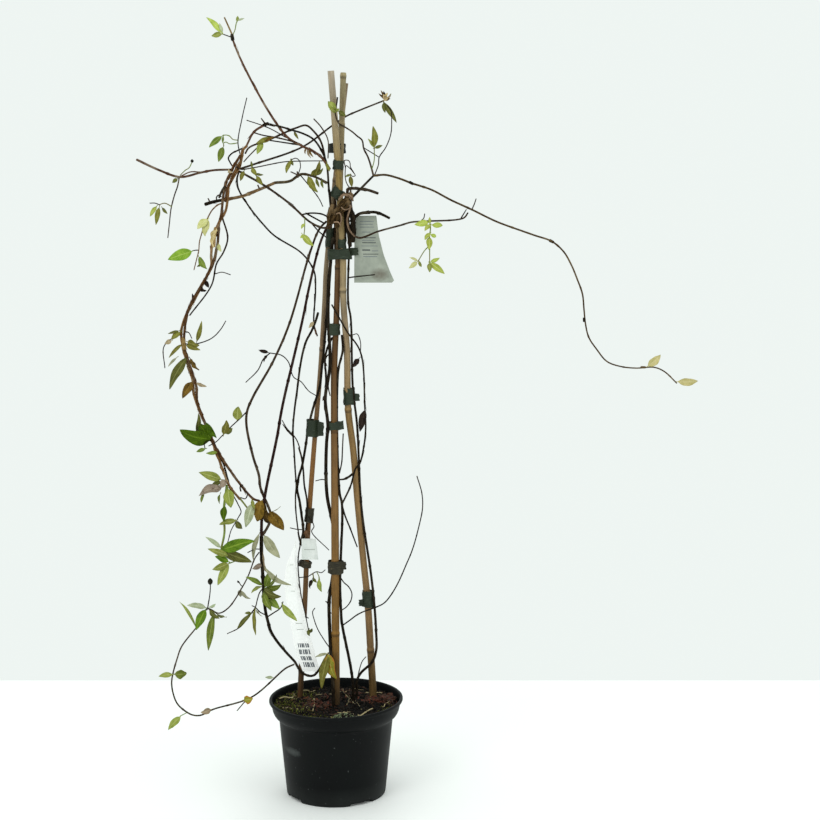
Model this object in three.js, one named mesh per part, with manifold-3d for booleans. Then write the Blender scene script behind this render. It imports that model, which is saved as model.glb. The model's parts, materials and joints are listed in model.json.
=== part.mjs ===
// Potted climbing honeysuckle: a black nursery pot, three bamboo canes that lean together, old woody
// stems tied to them with plastic tape, and leafy shoots that hang out to both sides.
// Millimetres, z up. The origin is the centre of the pot's base, x is to the right and y to the back.
import * as THREE from 'three';
import { mergeVertices } from 'three/addons/utils/BufferGeometryUtils.js';
import Module from 'manifold-3d';

const wasm = await Module();
wasm.setup();

// Driving dimensions
const GAP = 0.3;
const SLIVER = 0.12;
const POT_HEIGHT = 125;
const RIM_RADIUS = 85;
const BASE_RADIUS = 63;
const BODY_TOP_RADIUS = 72.5;
const LIP_HEIGHT = 27;
const POT_WALL = 1.3;
const POT_SEGMENTS = 32;
const SOIL_SEGMENTS = 24;
const RIM_SAG_FRONT = 3;
const RIM_SAG_LEFT = 1.5;
const NOTCH_HEIGHT = 4;
const NOTCH_DEPTH = 8;
const NOTCH_WIDTH = 30;
const NOTCH_BEARINGS = [34, 124, 214, 304];
const DRAIN_RADIUS = 2.5;
const DRAIN_SIDES = 8;
const FLOOR_RING_TOP = 6.5;
const SOIL_LEVEL = 113.5;
const CANE_SIDES = 9;
const CANE_FOOT = 18;
const LEAF_THICKNESS = 0.7;
const SMALL_LEAF_WIDTH = 6;
const LARGE_LEAF_WIDTH = 14;
const LEAF_ROOT = 1.6;
const LEAF_FOLD = 0.22;
const TAPE_THICKNESS = 0.8;
const LABEL_THICKNESS = 0.8;

// Colours
const POT_BLACK = 0x1b1f22;
const SOIL_BROWN = 0x2b2118;
const BAMBOO = 0xa08450;
const BAMBOO_DARK = 0x86683c;
const DARK_BARK = 0x3a2a22;
const BROWN_BARK = 0x4a3128;
const PALE_BARK = 0x7b6347;
const ROPE_BARK = 0x8a6844;
const OLD_BARK = 0x7a4f2c;
const LEAF_GREEN = 0x6f9a28;
const TAPE_GREEN = 0x24382f;
const LABEL_WHITE = 0xc9ccc4;

// Solids: joins and cuts

// Turns a closed three.js geometry into a solid
function solidOf(geometry) {
  const bare = geometry.clone();
  bare.deleteAttribute('normal');
  bare.deleteAttribute('uv');
  const merged = mergeVertices(bare, 1e-4);
  const corners = merged.index.array;
  const kept = [];
  for (let i = 0; i < corners.length; i += 3) {
    const [a, b, c] = [corners[i], corners[i + 1], corners[i + 2]];
    if (a !== b && b !== c && c !== a) {
      kept.push(a, b, c);
    }
  }
  const vertProperties = new Float32Array(merged.attributes.position.array);
  const triVerts = new Uint32Array(kept);
  return new wasm.Manifold(new wasm.Mesh({ numProp: 3, vertProperties, triVerts }));
}

function geometryOf(solid) {
  const mesh = solid.getMesh();
  const geometry = new THREE.BufferGeometry();
  geometry.setAttribute('position', new THREE.BufferAttribute(new Float32Array(mesh.vertProperties), 3));
  geometry.setIndex(new THREE.BufferAttribute(new Uint32Array(mesh.triVerts), 1));
  return geometry;
}

function join(solids) {
  return solids.reduce((sum, solid) => sum.add(solid));
}

// Keeps the largest body of a solid, so that a scrap left by a cut is dropped, and merges the slivers
// that joins and cuts leave on its flat faces
function mainBody(solid) {
  const bodies = solid.asOriginal().simplify(SLIVER).decompose();
  return bodies.reduce((best, body) => (body.volume() > best.volume() ? body : best));
}

function named(name, colour, roughness, solid) {
  const material = new THREE.MeshStandardMaterial({ color: colour, roughness, metalness: 0 });
  const geometry = geometryOf(solid);
  geometry.computeVertexNormals();
  const mesh = new THREE.Mesh(geometry, material);
  mesh.name = name;
  return mesh;
}

// Stems

const run = (startRadius, endRadius, points) => ({ startRadius, endRadius, points });

const sidesFor = (radius) => (radius >= 1.9 ? 5 : radius >= 1.2 ? 4 : 3);

const toVector = ([x, y, z]) => new THREE.Vector3(x, y, z);

// Directions of a bent rod at each of its points: its tangent and two vectors across it
function framesAlong(points) {
  const last = points.length - 1;
  const frames = [];
  let across = new THREE.Vector3(0, 1, 0);
  for (let i = 0; i <= last; i += 1) {
    const before = points[Math.max(i - 1, 0)];
    const after = points[Math.min(i + 1, last)];
    const into = points[i].clone().sub(before).normalize();
    const out = after.clone().sub(points[i]).normalize();
    const tangent = into.add(out).normalize();
    if (Math.abs(across.dot(tangent)) > 0.98) {
      across = new THREE.Vector3(1, 0, 0);
    }
    across = across.clone().addScaledVector(tangent, -across.dot(tangent)).normalize();
    frames.push({ tangent, across, beside: across.clone().cross(tangent) });
  }
  return frames;
}

// A closed rod through the points, with a radius for each of them
function rod(points, radii, sides) {
  const last = points.length - 1;
  const geometry = new THREE.CylinderGeometry(1, 1, 1, sides, last);
  const frames = framesAlong(points);
  const place = geometry.attributes.position;
  for (let i = 0; i < place.count; i += 1) {
    const station = Math.round((place.getY(i) + 0.5) * last);
    const { across, beside } = frames[station];
    const point = points[station].clone();
    point.addScaledVector(across, place.getX(i) * radii[station]);
    point.addScaledVector(beside, place.getZ(i) * radii[station]);
    place.setXYZ(i, point.x, point.y, point.z);
  }
  return solidOf(geometry);
}

// A tapered stem. Few sides are set out wider, so that its section keeps the round stem's area.
function stemSolid({ startRadius, endRadius, points }, grow) {
  const sides = sidesFor((startRadius + endRadius) / 2);
  const widen = Math.sqrt((2 * Math.PI) / (sides * Math.sin((2 * Math.PI) / sides)));
  const flat = Math.cos(Math.PI / sides);
  const radii = points.map((point, i) => {
    const share = i / (points.length - 1);
    const radius = startRadius + (endRadius - startRadius) * share;
    return radius * widen + grow / flat;
  });
  const path = points.map(toVector);
  if (grow > 0) {
    lengthenEnds(path, grow);
  }
  return rod(path, radii, sides);
}

function lengthenEnds(path, extra) {
  const last = path.length - 1;
  const start = path[0].clone().sub(path[1]).setLength(extra);
  const end = path[last].clone().sub(path[last - 1]).setLength(extra);
  path[0].add(start);
  path[last].add(end);
}

// Leaves

const leaf = (base, tip, width, turn, arch) => ({ base, tip, width, turn, arch });

// Half width of a pointed oval leaf, as a share of its greatest half width
const leafOutline = (share) => Math.sin(Math.PI * share ** 0.85) ** 0.75;

const SMALL_LEAF_STATIONS = [0, 0.42, 1];
const LEAF_STATIONS = [0, 0.25, 0.65, 1];
const LARGE_LEAF_STATIONS = [0, 0.18, 0.45, 0.75, 1];
const LEAF_END_HALF_WIDTH = 0.45;

// A leaf blade, arched along its length and facing the front before it is turned about its own line.
// A large one is folded a little along its midrib. Both faces are split into the same triangles.
function leafSolid({ base, tip, width, turn, arch }, grow) {
  const start = toVector(base);
  const end = toVector(tip);
  const axis = end.clone().sub(start).normalize();
  start.addScaledVector(axis, -LEAF_ROOT - grow);
  end.addScaledVector(axis, grow);
  const length = start.distanceTo(end);
  const face = new THREE.Vector3(0, -1, 0);
  face.addScaledVector(axis, -face.dot(axis)).normalize();
  face.applyAxisAngle(axis, THREE.MathUtils.degToRad(turn));
  const side = axis.clone().cross(face);
  const large = width >= LARGE_LEAF_WIDTH;
  const middle = width > SMALL_LEAF_WIDTH ? LEAF_STATIONS : SMALL_LEAF_STATIONS;
  const stations = large ? LARGE_LEAF_STATIONS : middle;
  const columns = large ? [-1, 0, 1] : [-1, 1];
  const halfThickness = LEAF_THICKNESS / 2 + grow;
  const positions = [];
  for (const outward of [1, -1]) {
    for (const share of stations) {
      const half = Math.max((width / 2) * leafOutline(share), LEAF_END_HALF_WIDTH) + grow;
      const lift = arch * 4 * share * (1 - share);
      for (const column of columns) {
        const fold = large ? LEAF_FOLD * half * Math.abs(column) : 0;
        const point = start.clone().addScaledVector(axis, share * length);
        point.addScaledVector(side, column * half);
        point.addScaledVector(face, lift - fold + outward * halfThickness);
        positions.push(point.x, point.y, point.z);
      }
    }
  }
  const geometry = new THREE.BufferGeometry();
  geometry.setAttribute('position', new THREE.Float32BufferAttribute(positions, 3));
  geometry.setIndex(bladeTriangles(stations.length, columns.length));
  return solidOf(geometry);
}

// Triangles of a closed blade: a grid of points on its front, the same grid on its back, and the edge
function bladeTriangles(rows, columns) {
  const back = rows * columns;
  const at = (row, column) => row * columns + column;
  const triangles = [];
  for (let row = 0; row < rows - 1; row += 1) {
    for (let column = 0; column < columns - 1; column += 1) {
      const a = at(row, column);
      const b = at(row, column + 1);
      const c = at(row + 1, column + 1);
      const d = at(row + 1, column);
      triangles.push(a, b, c, a, c, d);
      triangles.push(back + a, back + c, back + b, back + a, back + d, back + c);
    }
  }
  const wall = (a, b) => triangles.push(a, back + a, back + b, a, back + b, b);
  for (let column = 0; column < columns - 1; column += 1) {
    wall(at(0, column), at(0, column + 1));
    wall(at(rows - 1, column + 1), at(rows - 1, column));
  }
  for (let row = 0; row < rows - 1; row += 1) {
    wall(at(row, columns - 1), at(row + 1, columns - 1));
    wall(at(row + 1, 0), at(row, 0));
  }
  return triangles;
}

// A stem with its twigs and leaves in one body. A grown one is the room that its neighbours leave it.
function spraySolid({ runs, leaves }, grow = 0) {
  const stems = runs.map((each) => stemSolid(each, grow));
  const blades = leaves.map((each) => leafSolid(each, grow));
  return join([...stems, ...blades]);
}

// Stems that rise from the soil

function stemMiddleLeft() {
  const climb = run(2.3, 2, [
    [-3, -12, 100], [-3, -11, 135], [-7, -2, 203], [-8, -1, 244], [-7, 0, 256], [-3, 7, 283],
    [-1, 8, 329], [-10, -2, 387], [-10, -3, 447], [-8, -3, 472], [-11, -5, 506], [-5, -5, 546],
    [-7, -3, 610], [-6, -3, 640], [-2, -5, 689], [0, -9, 704],
  ]);
  const spur = run(0.9, 0.7, [[-8, -1, 244], [-12, -4, 248]]);
  const lowSpur = run(0.9, 0.7, [[-6, -4, 183], [-9, -10, 182]]);
  const thinTwig = run(0.6, 0.5, [[-6, -4, 186], [-22, -11, 214], [-28, -14, 237], [-25, -15, 242]]);
  const sideTwig = run(0.6, 0.5, [[-9, -2, 402], [-24, 0, 401]]);
  const leaves = [
    leaf([-9, -9, 182], [1, -25, 153], 15, 10, 3),
    leaf([-9, -9, 182], [-17, -28, 142], 12, 15, 3),
    leaf([-9, -9, 182], [-25, -16, 179], 5, 50, 1),
  ];
  const runs = [climb, spur, lowSpur, thinTwig, sideTwig];
  return { name: 'stem_middle_left', colour: DARK_BARK, runs, leaves };
}

function stemMiddleRight() {
  const climb = run(1.9, 1.4, [
    [21, 15, 100], [21, 12, 140], [8, 0, 220], [7, -1, 235], [6, -1, 270], [9, -2, 372], [6, -2, 387],
    [5, -2, 538], [11, -5, 566], [10, -6, 584],
  ]);
  const elbow = run(0.8, 0.7, [
    [6, -1, 279], [17, -5, 267], [21, -6, 259], [20, -6, 250], [15, -5, 242], [7, -1, 235],
  ]);
  const rightTwig = run(0.9, 0.7, [
    [9, 0, 216], [27, -3, 230], [36, 0, 234], [49, 7, 237], [61, 6, 243], [70, 4, 254], [80, 2, 272],
    [97, -2, 313], [110, -5, 368], [109, -6, 387], [103, -6, 408],
  ]);
  const cutFork = run(1.2, 0.8, [[9, -2, 370], [28, -5, 318]]);
  const upperFork = run(1.2, 1, [
    [9, -2, 372], [20, 2, 395], [26, 5, 416], [31, 5, 422], [37, 2, 447], [39, 0, 468], [38, 0, 493],
    [33, -5, 563], [16, -9, 590], [-2, -9, 622],
  ]);
  const blackSpur = run(1, 1.6, [[6, -2, 403], [12, -4, 404], [22, -3, 410]]);
  const innerFork = run(0.9, 0.8, [[6, -2, 411], [9, -3, 425], [11, -3, 461]]);
  const tendril = run(0.5, 0.5, [[33, -5, 563], [33, -7, 576], [29, -9, 586], [24, -10, 585]]);
  const leaves = [
    leaf([39, -1, 492], [32, -8, 464], 10, 20, 2),
    leaf([39, 0, 480], [31, -2, 473], 6, 50, 1),
    leaf([32, -5, 556], [24, -10, 545], 8, 20, 1),
  ];
  const runs = [climb, elbow, rightTwig, cutFork, upperFork, blackSpur, innerFork, tendril];
  return { name: 'stem_middle_right', colour: DARK_BARK, runs, leaves };
}

function stemRightCane() {
  const climb = run(1.7, 1.3, [
    [25, 22, 100], [26, 22, 125], [26, 20, 138], [31, 21, 148], [46, 17, 164], [51, 17, 179],
    [51, 16, 205], [49, 14, 238], [45, 14, 277], [33, 12, 365], [28, 7, 471], [23, 3, 518],
    [21, -3, 605], [18, -5, 625], [21, -12, 719],
  ]);
  const thinRise = run(0.6, 0.5, [[26, 20, 139], [33, 14, 165], [38, 12, 172]]);
  const labelTwig = run(0.8, 0.6, [[18, -7, 655], [24, -9, 656], [51, -10, 659]]);
  return { name: 'stem_right_cane', colour: DARK_BARK, runs: [climb, thinRise, labelTwig], leaves: [] };
}

function stemLeftCane() {
  const climb = run(0.6, 1.5, [
    [-34, 12, 202], [-47, 16, 274], [-48, 16, 290], [-45, 16, 317], [-50, 12, 362], [-49, 9, 393],
    [-52, 2, 465], [-50, 0, 488], [-38, -8, 564], [-19, -9, 612],
  ]);
  const second = run(1.6, 1.5, [
    [-45, 16, 317], [-41, 16, 334], [-48, 11, 389], [-36, 13, 450], [-30, 9, 481], [-22, 8, 507],
    [-18, 8, 522], [-13, 8, 565], [-8, 3, 630], [-5, 4, 667],
  ]);
  const third = run(1.2, 1.1, [
    [-45, 6, 442], [-42, 8, 430], [-36, 14, 374], [-37, 15, 341], [-43, 16, 315],
  ]);
  const budSpur = run(0.7, 0.6, [[-39, 13, 224], [-35, 10, 223]]);
  const sideTwig = run(0.7, 0.5, [[-44, 6, 442], [-51, 2, 458], [-59, -1, 467], [-65, -3, 478]]);
  const sideTwigTwo = run(0.8, 0.5, [[-51, 2, 456], [-64, -5, 473]]);
  const crossTwig = run(0.6, 0.5, [
    [-47, 16, 274], [-41, 10, 276], [-35, 9, 277], [-24, 10, 283], [-18, 9, 282], [-13, 7, 286],
  ]);
  const leafStalk = run(0.7, 0.5, [[-29, 10, 281], [-28, 9, 274], [-31, 8, 266]]);
  const leafStalkTwo = run(0.5, 0.5, [[-24, 10, 283], [-21, 8, 277], [-20, 8, 270]]);
  const looseArc = run(0.6, 0.5, [
    [-35, 15, 354], [-30, 10, 349], [-27, 9, 341], [-30, 9, 335], [-8, 4, 312],
  ]);
  const shortTwig = run(0.6, 0.5, [[-41, 15, 336], [-50, 9, 338], [-57, 7, 340]]);
  const budStalk = run(0.5, 0.6, [
    [-22, 8, 507], [-32, 3, 514], [-41, -2, 526], [-50, -10, 533], [-56, -13, 552], [-64, -15, 560],
    [-78, -16, 563],
  ]);
  const budTwig = run(0.7, 0.5, [[-78, -16, 563], [-86, -17, 556], [-93, -18, 542], [-108, -20, 527]]);
  const leaves = [
    leaf([-34, 12, 204], [-30, 6, 210], 5, 10, 0.5),
    leaf([-34, 12, 208], [-34, 8, 200], 6, 20, 1),
    leaf([-29, 9, 274], [-33, 6, 262], 6, 30, 1),
    leaf([-28, 9, 275], [-24, 5, 270], 4, 30, 0.5),
    leaf([-21, 8, 275], [-18, 4, 258], 7, 20, 2),
    leaf([-38, 15, 337], [-33, 8, 326], 9, 10, 1),
    leaf([-79, -16, 563], [-92, -19, 567], 5, 20, 1),
    leaf([-80, -16, 561], [-86, -20, 552], 5, 40, 1),
  ];
  const runs = [climb, second, third, budSpur, sideTwig, sideTwigTwo, crossTwig, leafStalk, leafStalkTwo,
    looseArc, shortTwig, budStalk, budTwig];
  return { name: 'stem_left_cane', colour: DARK_BARK, runs, leaves };
}

// Long stems on the left

function mainStem() {
  const foot = run(1.4, 1.6, [
    [-10, -5, 180], [-26, -19, 157], [-35, -24, 158], [-43, -25, 164], [-50, -26, 176],
  ]);
  const trunk = run(1.6, 2.4, [
    [-50, -26, 176], [-72, -28, 203], [-79, -29, 215], [-86, -30, 244], [-88, -30, 269],
    [-90, -28, 336],
  ]);
  const outer = run(1.7, 1.3, [
    [-90, -28, 336], [-83, -26, 346], [-78, -26, 359], [-80, -27, 370], [-90, -30, 396],
    [-92, -31, 413], [-99, -30, 436], [-107, -28, 476], [-106, -27, 492], [-99, -25, 509],
    [-73, -20, 555], [-53, -15, 602], [-30, -10, 681], [-17, -12, 714], [-8, -13, 724],
  ]);
  const inner = run(1.9, 1.5, [
    [-90, -28, 336], [-89, -30, 359], [-85, -31, 387], [-69, -30, 462], [-63, -28, 496],
    [-39, -18, 598], [-26, -14, 659], [-15, -15, 699], [-6, -16, 720],
  ]);
  const leafTwig = run(0.7, 0.5, [[-106, -27, 492], [-125, -38, 474], [-143, -42, 456], [-152, -42, 451]]);
  const hangingTip = run(0.7, 0.5, [
    [-88, -30, 271], [-92, -35, 267], [-97, -41, 250], [-103, -42, 241], [-116, -44, 225],
    [-132, -46, 217],
  ]);
  const sideTwig = run(0.7, 0.5, [[-84, -30, 236], [-92, -36, 242], [-97, -41, 249], [-101, -44, 252]]);
  const rightTwig = run(0.8, 0.6, [[-84, -30, 234], [-66, -38, 248], [-63, -40, 256]]);
  const curl = run(0.6, 0.5, [[-90, -29, 320], [-98, -35, 321], [-106, -40, 318]]);
  const leaves = [
    leaf([-118, -34, 481], [-116, -38, 499], 12, 20, 1),
    leaf([-134, -41, 464], [-129, -46, 483], 10, 20, 1),
    leaf([-133, -41, 466], [-123, -36, 472], 7, 30, 1),
    leaf([-92, -29, 340], [-100, -38, 308], 7.5, 30, 3),
    leaf([-87, -27, 338], [-67, -36, 310], 13, 10, 3),
    leaf([-89, -28, 321], [-81, -32, 288], 9, 30, 3),
    leaf([-89, -30, 301], [-101, -38, 297], 7, 20, 2),
    leaf([-86, -31, 299], [-53, -44, 277], 9, 35, 6),
    leaf([-89, -31, 274], [-108, -42, 288], 7, 50, 2),
    leaf([-89, -31, 273], [-102, -42, 268], 6, 60, 2),
    leaf([-87, -31, 271], [-70, -44, 291], 8, 50, 3),
    leaf([-87, -31, 271], [-80, -24, 291], 9, 20, 3),
    leaf([-87, -31, 270], [-65, -48, 264], 12, 10, 4),
    leaf([-87, -31, 269], [-67, -42, 247], 12, 15, 4),
    leaf([-87, -31, 268], [-77, -46, 246], 10, 35, 4),
    leaf([-87, -31, 269], [-84, -24, 247], 8, 30, 2),
    leaf([-87, -31, 271], [-66, -22, 273], 10, 30, 3),
    leaf([-64, -40, 254], [-45, -50, 234], 8.5, 10, 5),
    leaf([-101, -42, 242], [-120, -44, 223], 6, 40, 2),
    leaf([-97, -41, 250], [-97, -46, 215], 6, 45, 2),
    leaf([-102, -42, 242], [-110, -46, 243], 4, 40, 0.5),
    leaf([-97, -41, 248], [-90, -36, 236], 4, 40, 0.5),
    leaf([-87, -29, 383], [-95, -31, 355], 17, 25, 5),
    leaf([-84, -28, 379], [-80, -20, 349], 14, 40, 4),
    leaf([-80, -27, 369], [-62, -30, 344], 17, 10, 4),
    leaf([-79, -27, 366], [-65, -34, 374], 3.5, 60, 0.5),
  ];
  const runs = [foot, trunk, outer, inner, leafTwig, hangingTip, sideTwig, rightTwig, curl];
  return { name: 'main_stem', colour: BROWN_BARK, runs, leaves };
}

function lowerLoop() {
  const loop = run(1.1, 0.8, [
    [-51, -28, 173], [-61, -31, 169], [-103, -41, 135], [-150, -50, 122], [-166, -52, 115],
    [-176, -53, 116], [-186, -53, 122], [-194, -53, 130], [-199, -52, 142], [-201, -50, 158],
    [-194, -45, 187], [-189, -42, 200], [-168, -37, 227], [-157, -36, 246], [-143, -38, 241],
    [-130, -40, 249], [-114, -39, 273], [-106, -37, 288], [-98, -32, 309], [-93, -30, 316],
  ]);
  const budStalk = run(0.7, 0.5, [[-157, -36, 246], [-154, -38, 263], [-153, -38, 279]]);
  const tipPetiole = run(0.5, 0.5, [[-182, -53, 119], [-190, -58, 116]]);
  const deadTwig = run(0.8, 0.5, [[-103, -41, 135], [-109, -43, 132], [-121, -46, 119]]);
  const bud = run(3.2, 3.2, [[-153, -38, 277], [-153, -38, 285]]);
  const smallStalk = run(0.5, 0.5, [[-113, -39, 275], [-115, -40, 277], [-117, -41, 281]]);
  const smallBud = run(1.5, 1.5, [[-117, -41, 280], [-119, -42, 283]]);
  const leaves = [
    leaf([-159, -36, 246], [-170, -50, 223], 12, 10, 3),
    leaf([-172, -39, 224], [-188, -52, 259], 5, 55, 2),
    leaf([-158, -36, 247], [-181, -44, 253], 8, 40, 2),
    leaf([-155, -36, 246], [-142, -46, 236], 8, 30, 2),
    leaf([-146, -38, 241], [-134, -30, 234], 8, 40, 1.5),
    leaf([-148, -38, 242], [-156, -44, 195], 10, 25, 3),
    leaf([-156, -36, 248], [-146, -44, 254], 5, 50, 1),
    leaf([-199, -49, 166], [-216, -56, 166], 7, 30, 2),
    leaf([-199, -49, 167], [-183, -44, 166], 12, 0, 2),
    leaf([-189, -57, 116], [-204, -66, 101], 9, 10, 2),
    leaf([-152, -50, 122], [-164, -58, 120], 8, 20, 1),
    leaf([-113, -43, 132], [-101, -48, 135], 11, 0, 2),
    leaf([-76, -35, 158], [-86, -40, 160], 4, 40, 0.5),
    leaf([-115, -39, 271], [-103, -46, 261], 7, 30, 2),
    leaf([-115, -39, 272], [-117, -32, 260], 7, 30, 1),
  ];
  const runs = [loop, budStalk, tipPetiole, deadTwig, bud, smallStalk, smallBud];
  return { name: 'lower_loop', colour: BROWN_BARK, runs, leaves };
}

// Old knotted wood in front of the canes

function oldBark() {
  const upperKnot = run(3, 2.4, [[23, -20, 757], [8, -23, 741], [3, -22, 732], [-1, -20, 722]]);
  const lowerKnot = run(3.2, 3, [
    [24, -14, 700], [25, -17, 715], [24, -19, 730], [20, -21, 742], [17, -20, 757],
  ]);
  const middleKnot = run(2.6, 3.2, [[5, -20, 717], [9, -23, 733], [14, -24, 740], [20, -22, 748]]);
  const stub = run(2, 1.4, [[3, -22, 730], [-1, -21, 742]]);
  const leftMat = run(2.8, 2.4, [[0, -21, 744], [-4, -19, 730], [-5, -16, 716]]);
  const stripRight = run(0.8, 0.8, [[11, -27, 741], [15, -28, 738], [20, -28, 739], [23, -26, 742]]);
  const stripLeft = run(0.8, 0.8, [[5, -25, 733], [9, -27, 734], [11, -27, 728], [10, -24, 722]]);
  const stripLow = run(0.8, 0.8, [[2, -24, 723], [7, -25, 723], [10, -23, 719]]);
  const stripHigh = run(1.2, 1.2, [[8, -25, 750], [14, -26, 756], [21, -25, 755], [25, -22, 749]]);
  const rightMat = run(2.6, 2.4, [[19, -16, 746], [18, -16, 732], [19, -15, 714], [21, -13, 694]]);
  const runs = [upperKnot, lowerKnot, middleKnot, stub, leftMat, stripRight, stripLeft, stripLow,
    stripHigh, rightMat];
  return { name: 'old_bark', colour: OLD_BARK, runs, leaves: [] };
}

// Stems to the left of the cane tops

function topArches() {
  const archOne = run(1.4, 1.1, [
    [-2, -21, 741], [-4, -23, 762], [-7, -21, 794], [-14, -19, 811], [-23, -17, 823], [-36, -15, 830],
    [-49, -14, 834], [-66, -13, 839], [-81, -13, 841],
  ]);
  const archEnd = run(1.1, 0.9, [[-81, -13, 841], [-95, -13, 832], [-105, -14, 814]]);
  const nub = run(1.1, 0.7, [[-81, -13, 841], [-86, -15, 848]]);
  const archTwo = run(1.3, 1.1, [
    [-7, -21, 791], [-14, -12, 820], [-23, -9, 833], [-32, -8, 840], [-44, -9, 837], [-78, -14, 822],
    [-101, -15, 813],
  ]);
  const archThree = run(1, 0.8, [[-32, -17, 812], [-39, -17, 817], [-95, -13, 831]]);
  const longShoot = run(1.6, 1.2, [
    [-3, -22, 787], [-15, -20, 803], [-39, -17, 816], [-54, -14, 825], [-79, -6, 859], [-113, 6, 922],
    [-123, 9, 947],
  ]);
  const thinArch = run(0.6, 0.5, [[-56, -13, 825], [-78, -12, 837], [-104, -12, 846]]);
  const lowerArch = run(1, 0.8, [[-39, -17, 816], [-78, -14, 822]]);
  const sideArch = run(0.7, 0.6, [[-85, -15, 819], [-101, -17, 803]]);
  const tipStub = run(1.1, 0.9, [[-122, 9, 949], [-127, 10, 960], [-132, 11, 971]]);
  const tipStalk = run(0.5, 0.5, [[-123, 9, 947], [-116, 6, 966], [-110, 5, 969]]);
  const topTwig = run(0.8, 0.7, [[-22, -19, 847], [-13, -21, 837], [-5, -23, 822], [-5, -22, 800]]);
  const tipKnot = run(2.3, 2.1, [[-122, 8, 944], [-123, 9, 950]]);
  const petiole = run(0.6, 0.5, [[-123, 9, 947], [-135, 6, 951]]);
  const leaves = [
    leaf([-116, 6, 966], [-115, 4, 972], 4, 30, 0.5),
    leaf([-116, 6, 967], [-107, 3, 969], 2.5, 30, 0.5),
    leaf([-134, 6, 951], [-152, -1, 970], 7.5, 15, 2),
    leaf([-134, 6, 950], [-147, 2, 948], 7, 20, 2),
    leaf([-134, 6, 952], [-137, 1, 963], 4, 20, 1),
    leaf([-84, -15, 820], [-89, -22, 806], 8, 15, 2),
    leaf([-75, -14, 823], [-91, -21, 819], 7, 20, 1),
    leaf([-83, -14, 823], [-90, -20, 821], 4, 20, 0.5),
    leaf([-47, -10, 833], [-41, -19, 823], 3.5, 10, 0.5),
    leaf([-31, -18, 812], [-26, -21, 800], 3.2, 20, 0.5),
    leaf([-29, -18, 812], [-23, -22, 801], 3.2, 20, 0.5),
    leaf([-32, -18, 812], [-33, -21, 805], 2.5, 20, 0.5),
    leaf([-7, -22, 795], [-3, -25, 784], 4.5, 20, 0.5),
  ];
  const runs = [archOne, archEnd, nub, archTwo, archThree, longShoot, thinArch, lowerArch, sideArch,
    tipStub, tipStalk, topTwig, tipKnot, petiole];
  return { name: 'top_arches', colour: BROWN_BARK, runs, leaves };
}

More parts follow.
